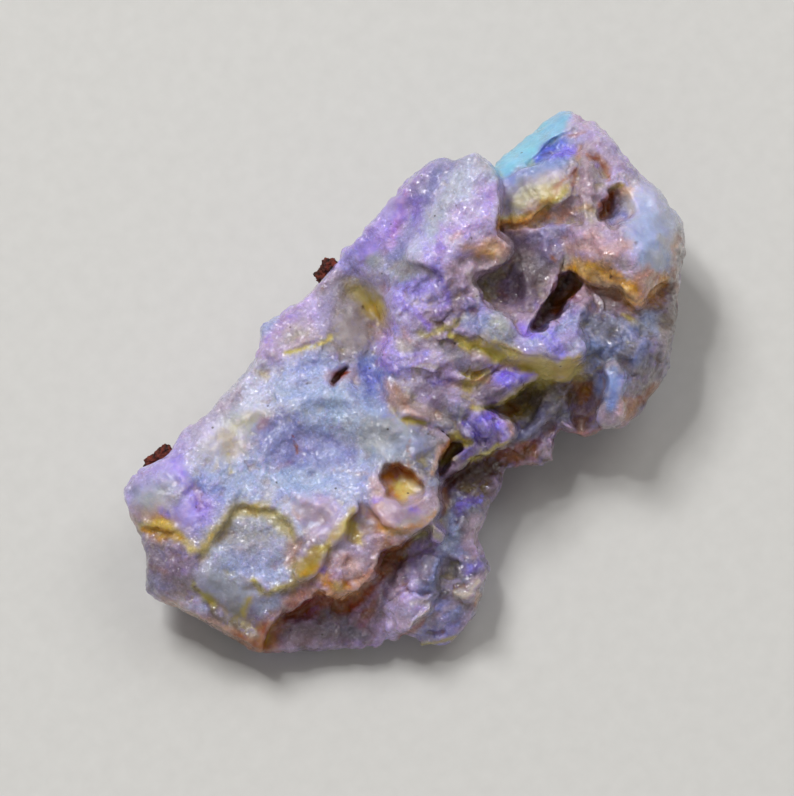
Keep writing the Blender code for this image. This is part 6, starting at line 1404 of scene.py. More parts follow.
    (T.AZURE, 0.7, ((452, 518, 6), (455, 534, 7), (448, 546, 6), (438, 546, 4))),
    (T.ROSE, 0.7, ((474, 520, 7), (468, 536, 8), (470, 550, 6))),
    (T.OLIVE, 0.7, ((424, 531, 4), (414, 537, 4))),
    (T.AMBER, 0.85, ((412, 541, 4), (400, 548, 5), (390, 558, 6), (382, 570, 6))),
    (T.RUST, 0.5, ((402, 548, 3), (388, 562, 4))),
    (T.AMBER, 0.8, ((370, 588, 6), (356, 600, 7), (340, 604, 7), (322, 603, 5))),
    (T.RUST, 0.6, ((372, 592, 4), (352, 604, 4))),
    (T.AMBER, 0.6, ((384, 574, 4), (370, 611, 6), (362, 606, 5))),
    (T.LILAC, 0.5, ((378, 592, 4), (384, 586, 4), (345, 620, 5))),
    (T.RUST, 0.85, ((318, 600, 4), (300, 609, 4), (286, 618, 4), (274, 632, 4))),
    (T.MAUVE, 0.75, ((282, 636, 8), (305, 628, 11), (335, 630, 12), (368, 632, 8), (402, 566, 6))),
    # Bistre: painted shade in the recess under the slab's lip
    (T.BISTRE, 0.4, ((300, 632, 12), (335, 632, 12), (366, 634, 7))),
    (T.ROSE, 0.35, ((276, 644, 6), (296, 636, 6), (325, 642, 5))),
    (T.SLATE, 0.6, ((345, 624, 7), (362, 636, 6), (318, 622, 5))),
    # Umber: painted shade in the recess under the slab's lip
    (T.UMBER, 0.4, ((302, 644, 4), (330, 612, 7), (355, 615, 6))),
    (T.CREAM, 1.0, ((433, 526, 3.5), (440, 536, 4))),
    (T.SKY, 0.5, ((420, 588, 7), (432, 590, 5), (446, 548, 4), (468, 552, 3))),
    (T.ROSE, 0.75, ((398, 574, 4), (396, 590, 5), (396, 604, 7), (400, 620, 8))),
    (T.LILAC, 0.65, ((388, 604, 4), (410, 614, 6), (412, 566, 5))),
    (T.CREAM, 0.6, ((412, 602, 4), (424, 600, 4), (432, 608, 4), (408, 624, 3))),
    (T.VIOLET, 0.6, ((468, 568, 6), (478, 566, 5))),
    (T.PERIWINKLE, 0.75, ((446, 606, 10), (460, 612, 9))),
    (T.ROSE, 0.6, ((470, 618, 5), (462, 628, 5), (486, 572, 4), (430, 625, 4))),
    (T.CREAM, 1.0, ((458, 592, 4.5), (470, 589, 5), (480, 583, 3))),
    (T.GOLD, 0.5, ((480, 594, 3), (476, 602, 2))),
    (T.AMBER, 0.75, ((422, 620, 4), (415, 630, 4), (402, 635, 3))),
    (T.OLIVE, 0.8, ((420, 645, 4), (436, 643, 3), (453, 641, 3), (462, 634, 2))),
    # Small glazes over them
    *((tint, strength, (spot,)) for tint, strength, spots in GLAZES for spot in spots),
    (T.SALMON, 0.45, ((596, 287, 6), (608, 292, 6), (620, 299, 6))),
    (T.STRAW, 0.4, ((518, 202, 8), (534, 194, 8), (548, 190, 8))),
    # Honey: painted light along the brow's edge
    (T.HONEY_LIGHT, 0.6, ((576, 263, 6), (590, 269, 6), (606, 274, 6), (620, 283, 7), (632, 294, 7))),
    # Black pores
    *((T.UMBER, 1.0, ((*spot, PORE_RADIUS),)) for spot in PORES),
))


def linear(hex_colour: str) -> Array:
    """Turns an sRGB hex colour linear.

    Args:
        hex_colour: six hex digits.

    Returns:
        Red, green and blue, 0 to 1.
    """
    srgb = np.array([int(hex_colour[at : at + 2], 16) for at in (0, 2, 4)]) / 255
    return np.where(srgb <= 0.04045, srgb / 12.92, ((srgb + 0.055) / 1.055) ** 2.4)


def blank(name: str) -> tuple[bpy.types.Material, bpy.types.NodeTree, bpy.types.ShaderNode]:
    """A new material, its nodes and its shader."""
    made = bpy.data.materials.new(name)
    made.use_nodes = True
    return made, made.node_tree, made.node_tree.nodes["Principled BSDF"]


def feed(node: bpy.types.ShaderNode, inputs: dict[str | int, object]) -> None:
    """Links a node's inputs to other nodes' outputs, or sets them to values."""
    for key, value in inputs.items():
        if isinstance(value, bpy.types.NodeSocket):
            node.id_data.links.new(value, node.inputs[key])
        else:
            node.inputs[key].default_value = value


def add_node(
    tree: bpy.types.NodeTree,
    kind: str,
    inputs: dict[str | int, object] | None = None,
    **settings: object,
) -> bpy.types.NodeOutputs:
    """Adds a node to a material.

    Args:
        tree: the material's nodes.
        kind: the node's type.
        inputs: what each input takes: another node's output, or a value.
        **settings: the node's own properties.

    Returns:
        The new node's outputs.
    """
    made = tree.nodes.new(kind)
    for name, value in settings.items():
        setattr(made, name, value)
    feed(made, inputs or {})
    return made.outputs


@dataclass(frozen=True)
class PreciousOpal:
    """Raw precious opal, broken and not polished: a milky body with a thin wet-looking skin.

    Its colour comes from vertex colours, so that stains, painted shade and painted light follow the ledges.
    Light sinks into the milky body and comes out soft. Fine mottling, the play of colour, sugary grain,
    pale specks of painted sparkle and pores come from nodes, with sizes in millimetres. The finest grain is
    drawn twice as coarse as it is, so that it shows.
    """

    name: str = "precious_opal_raw"
    index_of_refraction: float = 1.45
    # Blotch size in millimetres and octaves: milky clouds, mottling, grain, pale specks of painted sparkle,
    # wet ripples
    noises: Points = ((4.0, 4.0), (0.9, 6.0), (0.22, 4.0), (0.2, 2.0), (0.42, 2.0))
    noise_roughness: float = 0.6
    fire_mm: float = 0.34
    pore_mm: float = 1.7
    facet_mm: float = 0.28
    facet_tilt: float = 0.8
    waxy_tilt: float = 0.2
    waxy_strength: float = 1.12
    waxy_light: float = 1.03
    fire_tints: tuple[str, str] = ("7F58F0", "6C84F4")
    pore_tint: str = "33221C"
    mottle_depth: float = 0.10
    grain_depth: float = 0.10
    ripple_depth: float = 0.08
    milkiness: float = 0.40
    sinks_mm: float = 0.9
    sinks_by_colour: tuple[float, float, float] = (1.0, 0.50, 0.30)
    skin_roughness: float = 0.04
    skin_index: float = 1.5

    def material(self) -> bpy.types.Material:
        """The material, with its nodes."""
        made, tree, shader = blank(self.name)
        where = add_node(tree, "ShaderNodeTexCoord")["Object"]
        tint = add_node(tree, "ShaderNodeAttribute", attribute_name="tint")["Color"]
        fire = add_node(tree, "ShaderNodeAttribute", attribute_name="fire")["Fac"]
        sugary = add_node(tree, "ShaderNodeAttribute", attribute_name="sugary")["Fac"]
        cloud, mottle, grain, sparkle_specks, ripple = (
            add_node(
                tree,
                "ShaderNodeTexNoise",
                {
                    "Vector": where,
                    "Scale": 1 / (size * MM),
                    "Detail": detail,
                    "Roughness": self.noise_roughness,
                },
            )["Fac"]
            for size, detail in self.noises
        )
        cells, pores, facets = (
            add_node(tree, "ShaderNodeTexVoronoi", {"Vector": where, "Scale": 1 / (size * MM)}, feature="F1")
            for size in (self.fire_mm, self.pore_mm, self.facet_mm)
        )
        flicker = add_node(tree, "ShaderNodeSeparateColor", {"Color": cells["Color"]})

        # Each value between its first two limits runs from the third to the fourth
        turned, stronger, paler, grainy, painted_light, chosen, dark, gloss, rough, wet, tilt = (
            add_node(
                tree,
                "ShaderNodeMapRange",
                {"Value": value, "From Min": low, "From Max": high, "To Min": first, "To Max": last},
            )["Result"]
            for value, low, high, first, last in (
                (cloud, 0.25, 0.75, 0.475, 0.525),
                (mottle, 0.25, 0.75, 1.35, 0.85),
                (mottle, 0.3, 0.7, 0.90, 1.09),
                (grain, 0.3, 0.7, 0.82, 1.18),
                (sparkle_specks, 0.58, 0.72, 1.0, 1.45),
                (flicker[0], 0.45, 0.9, 0.0, 0.5),
                (pores["Distance"], 0.035, 0.07, 0.8, 0.0),
                (mottle, 0.35, 0.7, 0.28, 0.48),
                (sugary, 0.0, 1.0, 0.2, 1.0),
                (sugary, 0.0, 1.0, 0.45, 1.0),
                (sugary, 0.0, 1.0, self.waxy_tilt, self.facet_tilt),
            )
        )

        # The milky body turns a little in hue and strength, less on waxy flows, and where the fire
        # is, single cells of it flash violet or blue
        strength = add_node(tree, "ShaderNodeMix", {"Factor": rough, 2: self.waxy_strength, 3: stronger})[0]
        body = add_node(
            tree, "ShaderNodeHueSaturation", {"Hue": turned, "Saturation": strength, "Color": tint}
        )["Color"]
        flash = add_node(tree, "ShaderNodeMath", {0: chosen, 1: fire}, operation="MULTIPLY")["Value"]
        violet, blue = ((*linear(shade), 1) for shade in self.fire_tints)
        hue = add_node(
            tree, "ShaderNodeMix", {"Factor": flicker[1], 6: violet, 7: blue}, data_type="RGBA"
        )[2]
        fired = add_node(tree, "ShaderNodeMix", {"Factor": flash, 6: body, 7: hue}, data_type="RGBA")[2]

        # Grain and pale specks of painted sparkle on sugary breaks, hardly any on waxy flows, and a few dark
        # pores
        grain_and_sparkle = add_node(tree, "ShaderNodeMath", {0: grainy, 1: painted_light}, operation="MULTIPLY")["Value"]
        speckled = add_node(tree, "ShaderNodeMix", {"Factor": rough, 2: self.waxy_light, 3: grain_and_sparkle})[0]
        light = add_node(tree, "ShaderNodeMath", {0: paler, 1: speckled}, operation="MULTIPLY")["Value"]
        lit = add_node(tree, "ShaderNodeHueSaturation", {"Value": light, "Color": fired})["Color"]
        pore = (*linear(self.pore_tint), 1)
        colour = add_node(tree, "ShaderNodeMix", {"Factor": dark, 6: lit, 7: pore}, data_type="RGBA")[2]

        # Bumps of the body, and finer ones of the wet skin, whose facets lean at random and glint
        uneven = add_node(
            tree, "ShaderNodeBump", {"Height": mottle, "Distance": self.mottle_depth * MM, "Strength": 1.0}
        )["Normal"]
        grained, rippled = (
            add_node(
                tree,
                "ShaderNodeBump",
                {"Height": height, "Distance": depth * MM, "Strength": strength, "Normal": uneven},
            )["Normal"]
            for height, depth, strength in (
                (grain, self.grain_depth, rough), (ripple, self.ripple_depth, 1.0),
            )
        )
        centred = add_node(
            tree, "ShaderNodeVectorMath", {0: facets["Color"], 1: (-0.5, -0.5, -0.5)}
        )["Vector"]
        leaning = add_node(
            tree, "ShaderNodeVectorMath", {0: centred, "Scale": tilt}, operation="SCALE"
        )["Vector"]
        tilted = add_node(tree, "ShaderNodeVectorMath", {0: rippled, 1: leaning})["Vector"]
        glinting = add_node(tree, "ShaderNodeVectorMath", {0: tilted}, operation="NORMALIZE")["Vector"]
        feed(
            shader,
            {
                "Base Color": colour,
                "Roughness": gloss,
                "Normal": grained,
                "Coat Normal": glinting,
                "Metallic": 0.0,
                "IOR": self.index_of_refraction,
                "Subsurface Weight": self.milkiness,
                "Subsurface Scale": self.sinks_mm * MM,
                "Subsurface Radius": self.sinks_by_colour,
                "Coat Weight": wet,
                "Coat Roughness": self.skin_roughness,
                "Coat IOR": self.skin_index,
            },
        )
        return made


@dataclass(frozen=True)
class Ironstone:
    """Ironstone, the host rock: dull, crumbly and rust-brown, with dark pits between its grains."""

    name: str = "ironstone_crumbly"
    grain_mm: float = 0.35
    grain_detail: float = 5.0
    pit_tint: str = "1E0A06"
    grain_tint: str = "7A2C18"
    pit_depth: float = 0.12
    pit_strength: float = 0.9
    roughness: float = 0.78
    index_of_refraction: float = 1.5

    def material(self) -> bpy.types.Material:
        """The material, with its nodes."""
        made, tree, shader = blank(self.name)
        where = add_node(tree, "ShaderNodeTexCoord")["Object"]
        grain = add_node(
            tree,
            "ShaderNodeTexNoise",
            {"Vector": where, "Scale": 1 / (self.grain_mm * MM), "Detail": self.grain_detail},
        )["Fac"]
        share = add_node(
            tree, "ShaderNodeMapRange", {"Value": grain, "From Min": 0.35, "From Max": 0.65}
        )["Result"]
        pit, crumb = ((*linear(shade), 1) for shade in (self.pit_tint, self.grain_tint))
        colour = add_node(tree, "ShaderNodeMix", {"Factor": share, 6: pit, 7: crumb}, data_type="RGBA")[2]
        bump = add_node(
            tree,
            "ShaderNodeBump",
            {"Height": grain, "Strength": self.pit_strength, "Distance": self.pit_depth * MM},
        )["Normal"]
        feed(
            shader,
            {
                "Base Color": colour,
                "Normal": bump,
                "Roughness": self.roughness,
                "IOR": self.index_of_refraction,
            },
        )
        return made


@dataclass(frozen=True)
class StudioPaper:
    """Seamless studio paper: matt, in a pale warm grey whose fibres are a shade lighter."""

    name: str = "studio_paper"
    fibre_mm: float = 1.2
    fibre_detail: float = 3.0
    ground_tint: str = "C9C8C5"
    fibre_tint: str = "D2D1CE"
    roughness: float = 0.9

    def material(self) -> bpy.types.Material:
        """The material, with its nodes."""
        made, tree, shader = blank(self.name)
        where = add_node(tree, "ShaderNodeTexCoord")["Object"]
        share = add_node(
            tree,
            "ShaderNodeTexNoise",
            {"Vector": where, "Scale": 1 / (self.fibre_mm * MM), "Detail": self.fibre_detail},
        )["Fac"]
        ground, fibre = ((*linear(shade), 1) for shade in (self.ground_tint, self.fibre_tint))
        colour = add_node(tree, "ShaderNodeMix", {"Factor": share, 6: ground, 7: fibre}, data_type="RGBA")[2]
        feed(shader, {"Base Color": colour, "Roughness": self.roughness})
        return made


def pinched(vertex: bmesh.types.BMVert) -> bool:
    """Whether faces meet in this point alone, with open border between them."""
    return sum(edge.is_boundary for edge in vertex.link_edges) > 2


def as_mesh(shape: bmesh.types.BMesh, name: str) -> bpy.types.Mesh:
    """A new mesh of a bmesh, which is freed."""
    mesh = bpy.data.meshes.new(name)
    shape.to_mesh(mesh)
    shape.free()
    return mesh


def as_object(mesh: bpy.types.Mesh, name: str) -> bpy.types.Object:
    """A mesh as an object of the scene."""
    made = bpy.data.objects.new(name, mesh)
    bpy.context.scene.collection.objects.link(made)
    return made


def modified(mesh: bpy.types.Mesh, kind: str, **settings: object) -> bpy.types.Mesh:
    """What a modifier makes of a mesh.

    Args:
        mesh: the mesh, which stays as it is.
        kind: the modifier's type.
        **settings: the modifier's own properties.

    Returns:
        The new mesh.
    """
    carrier = as_object(mesh, mesh.name)
    modifier = carrier.modifiers.new(kind, kind)
    for name, value in settings.items():
        setattr(modifier, name, value)
    bpy.context.view_layer.update()
    made = bpy.data.meshes.new_from_object(carrier.evaluated_get(bpy.context.evaluated_depsgraph_get()))
    bpy.data.objects.remove(carrier)
    return made


def relaxed(
    shape: bmesh.types.BMesh, vertices: Iterable[bmesh.types.BMVert], rounds: int = 1, factor: float = 0.5
) -> None:
    """Draws points towards the middle of their neighbours.

    Args:
        shape: the mesh.
        vertices: its points to move.
        rounds: how often.
        factor: how far each round draws them, as a share of the way.
    """
    moved = list(vertices)
    for _ in range(rounds):
        bmesh.ops.smooth_vert(
            shape, verts=moved, factor=factor, use_axis_x=True, use_axis_y=True, use_axis_z=True
        )


def lumps(spot: Vector, scales: Points, along: tuple[float, float, float] = (1, 0, 0)) -> float:
    """How high soft lumps of several sizes stand at a spot.

    Args:
        spot: the spot, in millimetres.
        scales: sizes in millimetres across, rises, and offsets.
        along: which way an offset moves the noise.

    Returns:
        The height, in the rises' unit.
    """
    return sum(
        rise * noise.noise(spot / size + Vector(along) * offset) for size, rise, offset in scales
    )


def vectors(items: bpy.types.bpy_prop_collection, name: str) -> Array:
    """A mesh's points or normals, one a row."""
    values = np.empty(len(items) * 3, np.float32)
    items.foreach_get(name, values)
    return values.reshape(-1, 3).astype(float)


def all_points(mesh: bpy.types.Mesh) -> Array:
    """A mesh's points, one a row."""
    return vectors(mesh.vertices, "co")


@dataclass
class Stone:
    """The opal itself: a closed skin over the traced relief, evened out, roughened, and coloured with
    stains, painted shade and painted light.

    Lumps, chips and clouds are given as sizes in millimetres across, rises in millimetres, and
    offsets, which say where they fall.

    Attributes:
        grid_step: trace units between the points of the first skin.
        voxel: metres between the points of the even skin.
        kept_share: share of the even skin's faces that are kept.
        on_rim: trace units from the outline within which a point counts as on it.
        rim_roll: trace units over which the top rolls over to the widest line.
        rim_drop: millimetres that the widest line lies at least below the top.
        flank_lean: trace units that the underside runs in for each millimetre it drops.
        least_flank: the least run of the underside, in trace units.
        flank_curve: how soon the underside turns under.
        flank_rounds: how often the underside is smoothed.
        flank_fade: trace units inside the rim over which the underside's lumps grow.
        thinnest: millimetres of stone between a hollow and the underside.
        thin_edge: trace units inside the rim over which the stone grows that thick.
        flat_cut: metres that the resting face takes off.
        flanks: the underside's lumps.
        steepness: what is seen edge on has at most this much of the sight line in its normal.
        steep_rounds: how often it is smoothed.
        walls: its lumps, which grow as the sight line's share falls below wall_facing.
        skin: the lumps of the whole surface, and skin_smoothing, how much it is smoothed first.
        smooth_share: the share of the skin's lumps that is left on waxy flows.
        chips: the broken faces.
        chipped: trace points round which the stone is broken into such faces, and how far.
        chipped_border: where such a place starts to fade and where it ends, in its reaches.
        least_chipped: share of the chips' rise everywhere else.
        chip_seed: picks the planes that the chips break along.
        chip_warp: how far noise bends the chips' edges, and how often, in their sizes.
        chip_lean: how quickly the planes' lean changes from chip to chip.
        chip_blend: how soon a chip runs into the next, in its sizes.
        waxy: trace points round which the skin is a smooth waxy flow, and how far.
        waxy_border: where such a flow starts to turn sugary and where it ends, in its reaches.
        frays: noises that bend the stains' borders: size and reach in trace units, and offset.
        grit: size in trace units, offset and octaves of the noise that frays them.
        seen: shares of the sight line in the normals, between which the seen side's tints set in.
        hidden_cover: how much of what lies under them the hidden side's stains cover.
        hidden_fade: how softly they set in, in the clouds' strength.
        hollow_stain_shade_and_edge_light: rounds of smoothing that edges and hollows are told from, the
            depth at which a hollow is tinted in full and how much, and the same for an edge. Hollows turn
            olive and amber, partly the stone's iron staining and partly painted shade; edges turn cream and
            blush, as painted light.
        edge_clouds: size in millimetres and offset of the clouds that share out the tints of hollows and
            edges.
        edge_shares: the strengths of those clouds between which one tint gives way to the other.
        dull_fire: the play of colour where no stain says anything.
    """

    grid_step: float = 1.7
    voxel: float = 0.125 * MM
    kept_share: float = 0.35
    on_rim: float = 0.01
    rim_roll: float = 6.5
    rim_drop: float = 0.35
    flank_lean: float = 5.8
    least_flank: float = 24.0
    flank_curve: float = 1.5
    flank_rounds: int = 160
    flank_fade: float = 12.0
    thinnest: float = 0.9
    thin_edge: float = 8.0
    flat_cut: float = 0.12 * MM
    flanks: Points = ((7.5, 0.75, 2.2), (3.1, 0.34, 9.4), (1.4, 0.14, 17.8))
    steepness: float = 0.38
    steep_rounds: int = 4
    walls: Points = ((2.6, 0.32, 9.4), (1.1, 0.20, 17.8), (0.5, 0.08, 4.1))
    wall_facing: float = 0.6
    skin: Points = ((1.5, 0.05, 3.3), (0.7, 0.05, 8.8), (0.36, 0.05, 12.6))
    skin_smoothing: float = 0.35
    smooth_share: float = 0.35
    chips: Points = ((1.5, 0.42, 31.0), (0.75, 0.24, 11.0))
    chipped: Points = (
        (430, 330, 75), (470, 575, 60), (600, 330, 75), (520, 420, 60), (370, 605, 60), (590, 180, 50),
    )
    chipped_border: tuple[float, float] = (0.6, 1.3)
    least_chipped: float = 0.35
    chip_seed: int = 4
    chip_warp: tuple[float, float] = (0.35, 1.3)
    chip_lean: float = 5.3
    chip_blend: float = 0.12
    waxy: Points = (
        (508, 164, 16), (530, 146, 18), (556, 122, 17), (518, 192, 20), (548, 180, 20), (388, 432, 27),
        (422, 446, 14), (225, 440, 25), (250, 420, 17), (150, 498, 22), (176, 470, 16), (185, 515, 16),
        (320, 518, 24), (302, 506, 14), (340, 530, 15), (312, 560, 16), (362, 520, 16), (388, 512, 20),
        (414, 514, 18), (650, 230, 28), (644, 200, 18), (655, 256, 14), (368, 304, 20), (350, 330, 18),
        (240, 602, 20), (212, 586, 16), (402, 486, 20), (492, 352, 12), (530, 365, 16), (562, 368, 16),
        (415, 420, 10), (368, 250, 12), (394, 206, 14), (266, 640, 14), (612, 386, 14),
    )
    waxy_border: tuple[float, float] = (0.55, 1.25)
    frays: tuple[Points, ...] = (
        ((30.0, 4.0, 3.7), (9.0, 2.5, 13.1)), ((30.0, 4.0, 44.1), (9.0, 2.5, 29.6)),
    )
    grit: tuple[float, float, int] = (5.0, 70.3, 3)
    seen: tuple[float, float] = (-0.45, -0.05)
    hidden_cover: float = 0.8
    hidden_fade: float = 0.45
    hollow_stain_shade_and_edge_light: Points = ((6, 0.07, 0.3, 0.07, 0.35), (40, 0.28, 0.4, 0.3, 0.3))
    edge_clouds: tuple[float, float] = (3.0, 55.0)
    edge_shares: tuple[float, float] = (-0.2, 0.3)
    dull_fire: float = 0.25

    def build(self) -> bpy.types.Object:
        """The finished skin, before it is moved over the origin."""
        noise.seed_set(self.chip_seed)
        first = as_mesh(self.shell(), "first skin")
        even = modified(first, "REMESH", mode="VOXEL", voxel_size=self.voxel)
        self.roughen(even)
        thinned = modified(even, "DECIMATE", ratio=self.kept_share)
        thinned.name = "opal_stone"
        return as_object(thinned, "opal_stone")

    def grid(self) -> bmesh.types.BMesh:
        """A grid over the outline, in trace units, its border on the outline."""
        loop = outline()
        low, high = loop[:, :2].min(axis=0) - self.grid_step, loop[:, :2].max(axis=0) + self.grid_step
        counts = np.ceil((high - low) / self.grid_step).astype(int)
        grid = bmesh.new()
        bmesh.ops.create_grid(grid, x_segments=int(counts[0]), y_segments=int(counts[1]), size=0.5)
        bmesh.ops.scale(grid, vec=(*(high - low), 1), verts=grid.verts)
        bmesh.ops.translate(grid, vec=(*((low + high) / 2), 0), verts=grid.verts)
        middles = np.array([face.calc_center_median() for face in grid.faces])
        kept = inside_by(middles[:, 0], middles[:, 1], loop)[0] > 0
        outside = [face for face, keep in zip(grid.faces, kept, strict=True) if not keep]
        while outside:
            bmesh.ops.delete(grid, geom=outside, context="FACES")
            outside = list({face for vertex in grid.verts if pinched(vertex) for face in vertex.link_faces})
        border = [vertex for vertex in grid.verts if vertex.is_boundary]
        spots = np.array([vertex.co for vertex in border])
        for vertex, (u, v) in zip(border, nearest_on_outline(spots[:, 0], spots[:, 1]), strict=True):
            vertex.co = (u, v, 0)
        bmesh.ops.triangulate(grid, faces=grid.faces)
        return grid

    def sides(self, x: Array, y: Array) -> tuple[Array, Array, Array]:
        """The stone's two sides over trace points.

        Args:
            x: first trace coordinates.
            y: second trace coordinates.

        Returns:
            Heights in millimetres of the top and of the underside, and depths inside the outline.
        """
        depth = inside_by(x, y, outline())[0]
        depth = np.where(depth > self.on_rim, depth, 0)
        relief = Relief.over(x, y)
        for region in REGIONS:
            for plate in region.plates:
                plate.shape(relief)
        for region in REGIONS:
            for stroke in region.strokes:
                stroke.shape(relief)
        for size, rise, offset in RIPPLES:
            relief.height += rise * noise_at(x, y, size, offset)
        rim = np.minimum(Sheet(RIM_HEIGHTS).at(x, y), relief.height - self.rim_drop)
        roll = np.clip(depth / self.rim_roll, 0, 1)
        top = rim + (relief.height - rim) * np.sqrt(1 - (1 - roll) ** 2)
        run = np.clip(depth / np.maximum(self.flank_lean * rim, self.least_flank), 0, 1)
        under = rim * (1 - run) ** self.flank_curve
        for size, rise, offset in HOLLOWS:
            under += rise * run**2 * noise_at(x, y, size, offset)
        least = self.thinnest * np.clip(depth / self.thin_edge, 0, 1)
        return top, np.minimum(np.maximum(under, 0), top - least), depth

    def shell(self) -> bmesh.types.BMesh:
        """The first skin: the grid twice, as top and as underside, closed along the outline."""
        stone = self.grid()
        top = list(stone.verts)
        copied = bmesh.ops.duplicate(stone, geom=stone.verts[:] + stone.edges[:] + stone.faces[:])
        under = [copied["vert_map"][vertex] for vertex in top]
        spots = np.array([vertex.co for vertex in top])
        *heights, depths = self.sides(spots[:, 0], spots[:, 1])
        for vertices, height in zip((top, under), heights, strict=True):
            for vertex, point in zip(vertices, placed(spots[:, 0], spots[:, 1], height), strict=True):
                vertex.co = point
        inner = [vertex for vertex, depth in zip(under, depths, strict=True) if depth > 0]
        relaxed(stone, inner, self.flank_rounds)
        bmesh.ops.recalc_face_normals(stone, faces=stone.faces)
        stone.normal_update()
        moves = [
            vertex.normal * lumps(vertex.co / MM, self.flanks) * MM * min(depth / self.flank_fade, 1)
            for vertex, depth in zip(under, depths, strict=True)
        ]
        for vertex, move in zip(under, moves, strict=True):
            vertex.co += move
        border = [vertex for vertex in stone.verts if vertex.is_boundary]
        bmesh.ops.remove_doubles(stone, verts=border, dist=WELD)
        bmesh.ops.recalc_face_normals(stone, faces=stone.faces)
        return stone

    def roughen(self, mesh: bpy.types.Mesh) -> None:
        """Smooths what is seen edge on, gives it lumps, roughens all of the skin, and flattens its foot."""
        skin = bmesh.new()
        skin.from_mesh(mesh)
        relaxed(skin, skin.verts, factor=self.skin_smoothing)
        skin.normal_update()
        towards = sight()
        steep = [vertex for vertex in skin.verts if abs(vertex.normal.dot(towards)) < self.steepness]
        relaxed(skin, steep, self.steep_rounds)
        skin.normal_update()
        x, y = traced(np.array([vertex.co for vertex in skin.verts]))
        broken = np.full(x.shape, self.least_chipped)
        for u, v, reach in self.chipped:
            faded = eased(*self.chipped_border, np.hypot(x - u, y - v) / reach)
            broken = np.maximum(broken, 1 - faded)
        sugary = self.sugary(x, y)
        uneven = self.smooth_share + (1 - self.smooth_share) * sugary
        moves = []
        for vertex, share, grain in zip(skin.verts, broken * sugary, uneven, strict=True):
            spot = vertex.co / MM
            rise = grain * lumps(spot, self.skin)
            rise += share * sum(high * self.chip(spot / size, offset) for size, high, offset in self.chips)
            edge_on = 1 - min(abs(vertex.normal.dot(towards)) / self.wall_facing, 1)
            if edge_on > 0:
                rise += edge_on * lumps(spot, self.walls, (0, 1, 0))
            moves.append(vertex.normal * rise * MM)
        for vertex, move in zip(skin.verts, moves, strict=True):
            vertex.co += move
            vertex.co.z = max(vertex.co.z - self.flat_cut, 0)
        skin.to_mesh(mesh)
        skin.free()
        mesh.shade_smooth()

    def colour_skin(self, mesh: bpy.types.Mesh) -> None:
        """Writes the skin's colours, with their stains, painted shade and painted light, its play of colour
        and its grain as attributes.

        Args:
            mesh: the skin, not yet moved over the origin, but lowered by the flat cut.
        """
        points = all_points(mesh)
        points[:, 2] += self.flat_cut
        facing = eased(*self.seen, vectors(mesh.vertex_normals, "vector") @ np.array(sight()))
        x, y = traced(points)
        u, v = (
            side + sum(reach * noise_at(x, y, size, offset, 2) for size, reach, offset in scales)
            for side, scales in zip((x, y), self.frays, strict=True)
        )
        sugary = 1 - (1 - self.sugary(x, y)) * facing
        colour = self.washed(u, v)
        colour += (self.hidden(points) - colour) * (1 - facing)[:, None]
        # Hollows darker, partly iron staining and partly painted shade; edges paler, as painted light
        self.stain_shade_hollows_and_light_edges(colour, mesh, points)
        grit_size, grit_offset, octaves = self.grit
        grit = noise_at(x, y, grit_size, grit_offset, octaves)
        fire = np.full(len(points), self.dull_fire)
        for mark in STAINS_SHADE_AND_LIGHT:
            cover = mark.cover(u, v, grit) * facing
            colour += (linear(mark.tint.value) - colour) * cover[:, None]
            fire += ((1.0 if mark.tint in FIERY else 0.0) - fire) * cover
        for name, kind, channel, values in (
            ("tint", "FLOAT_COLOR", "color", np.column_stack([colour, np.ones(len(points))])),
            ("fire", "FLOAT", "value", fire),
            ("sugary", "FLOAT", "value", sugary),
        ):
            written = mesh.attributes.new(name, kind, "POINT").data
            written.foreach_set(channel, values.astype(np.float32).ravel())

    @staticmethod
    def washed(x: Array, y: Array) -> Array:
        """The broad tints of the seen side over trace points, one linear colour a row."""
        colour = linear(BODY_TINT.value) * np.full((len(x), 1), TINY)
        total = np.full((len(x), 1), TINY)
        for wash in WASHES:
            weight = wash.weight(x, y)[:, None]
            colour += linear(wash.tint.value) * weight
            total += weight
        return colour / total

    def hidden(self, points: Array) -> Array:
        """The tints of the side that the picture doesn't show, one linear colour a row."""
        colour = np.tile(linear(BODY_TINT.value), (len(points), 1))
        for tint, size, offset, low in HIDDEN_STAINS:
            cloud = self.cloud(points, size, offset)
            cover = eased(low, low + self.hidden_fade, cloud) * self.hidden_cover
            colour += (linear(tint.value) - colour) * cover[:, None]
        return colour

    def stain_shade_hollows_and_light_edges(self, colour: Array, mesh: bpy.types.Mesh, points: Array) -> None:
        """Makes hollows warmer and darker, partly the stone's iron staining and partly painted shade, and
        edges paler, as painted light.

        Args:
            colour: the linear colours to change.
            mesh: the skin.
            points: its points.
        """
        share = eased(*self.edge_shares, self.cloud(points, *self.edge_clouds))[:, None]
        hollow_stain_and_shade, edge_light = (
            linear(first.value) * share + linear(second.value) * (1 - share)
            for first, second in ((Tint.OLIVE, Tint.AMBER), (Tint.CREAM, Tint.BLUSH))
        )
        for rounds, sunk, deep, raised, painted_light in self.hollow_stain_shade_and_edge_light:
            depth = self.hollows(mesh, rounds)
            colour += (hollow_stain_and_shade - colour) * (np.clip(depth / sunk, 0, 1) * deep)[:, None]
            colour += (edge_light - colour) * (np.clip(-depth / raised, 0, 1) * painted_light)[:, None]

    def sugary(self, x: Array, y: Array) -> Array:
        """How sugary the skin is over trace points, from 0 on waxy flows to 1 on breaks."""
        least = np.ones(x.shape)
        for u, v, reach in self.waxy:
            least = np.minimum(least, eased(*self.waxy_border, np.hypot(x - u, y - v) / reach))
        return least

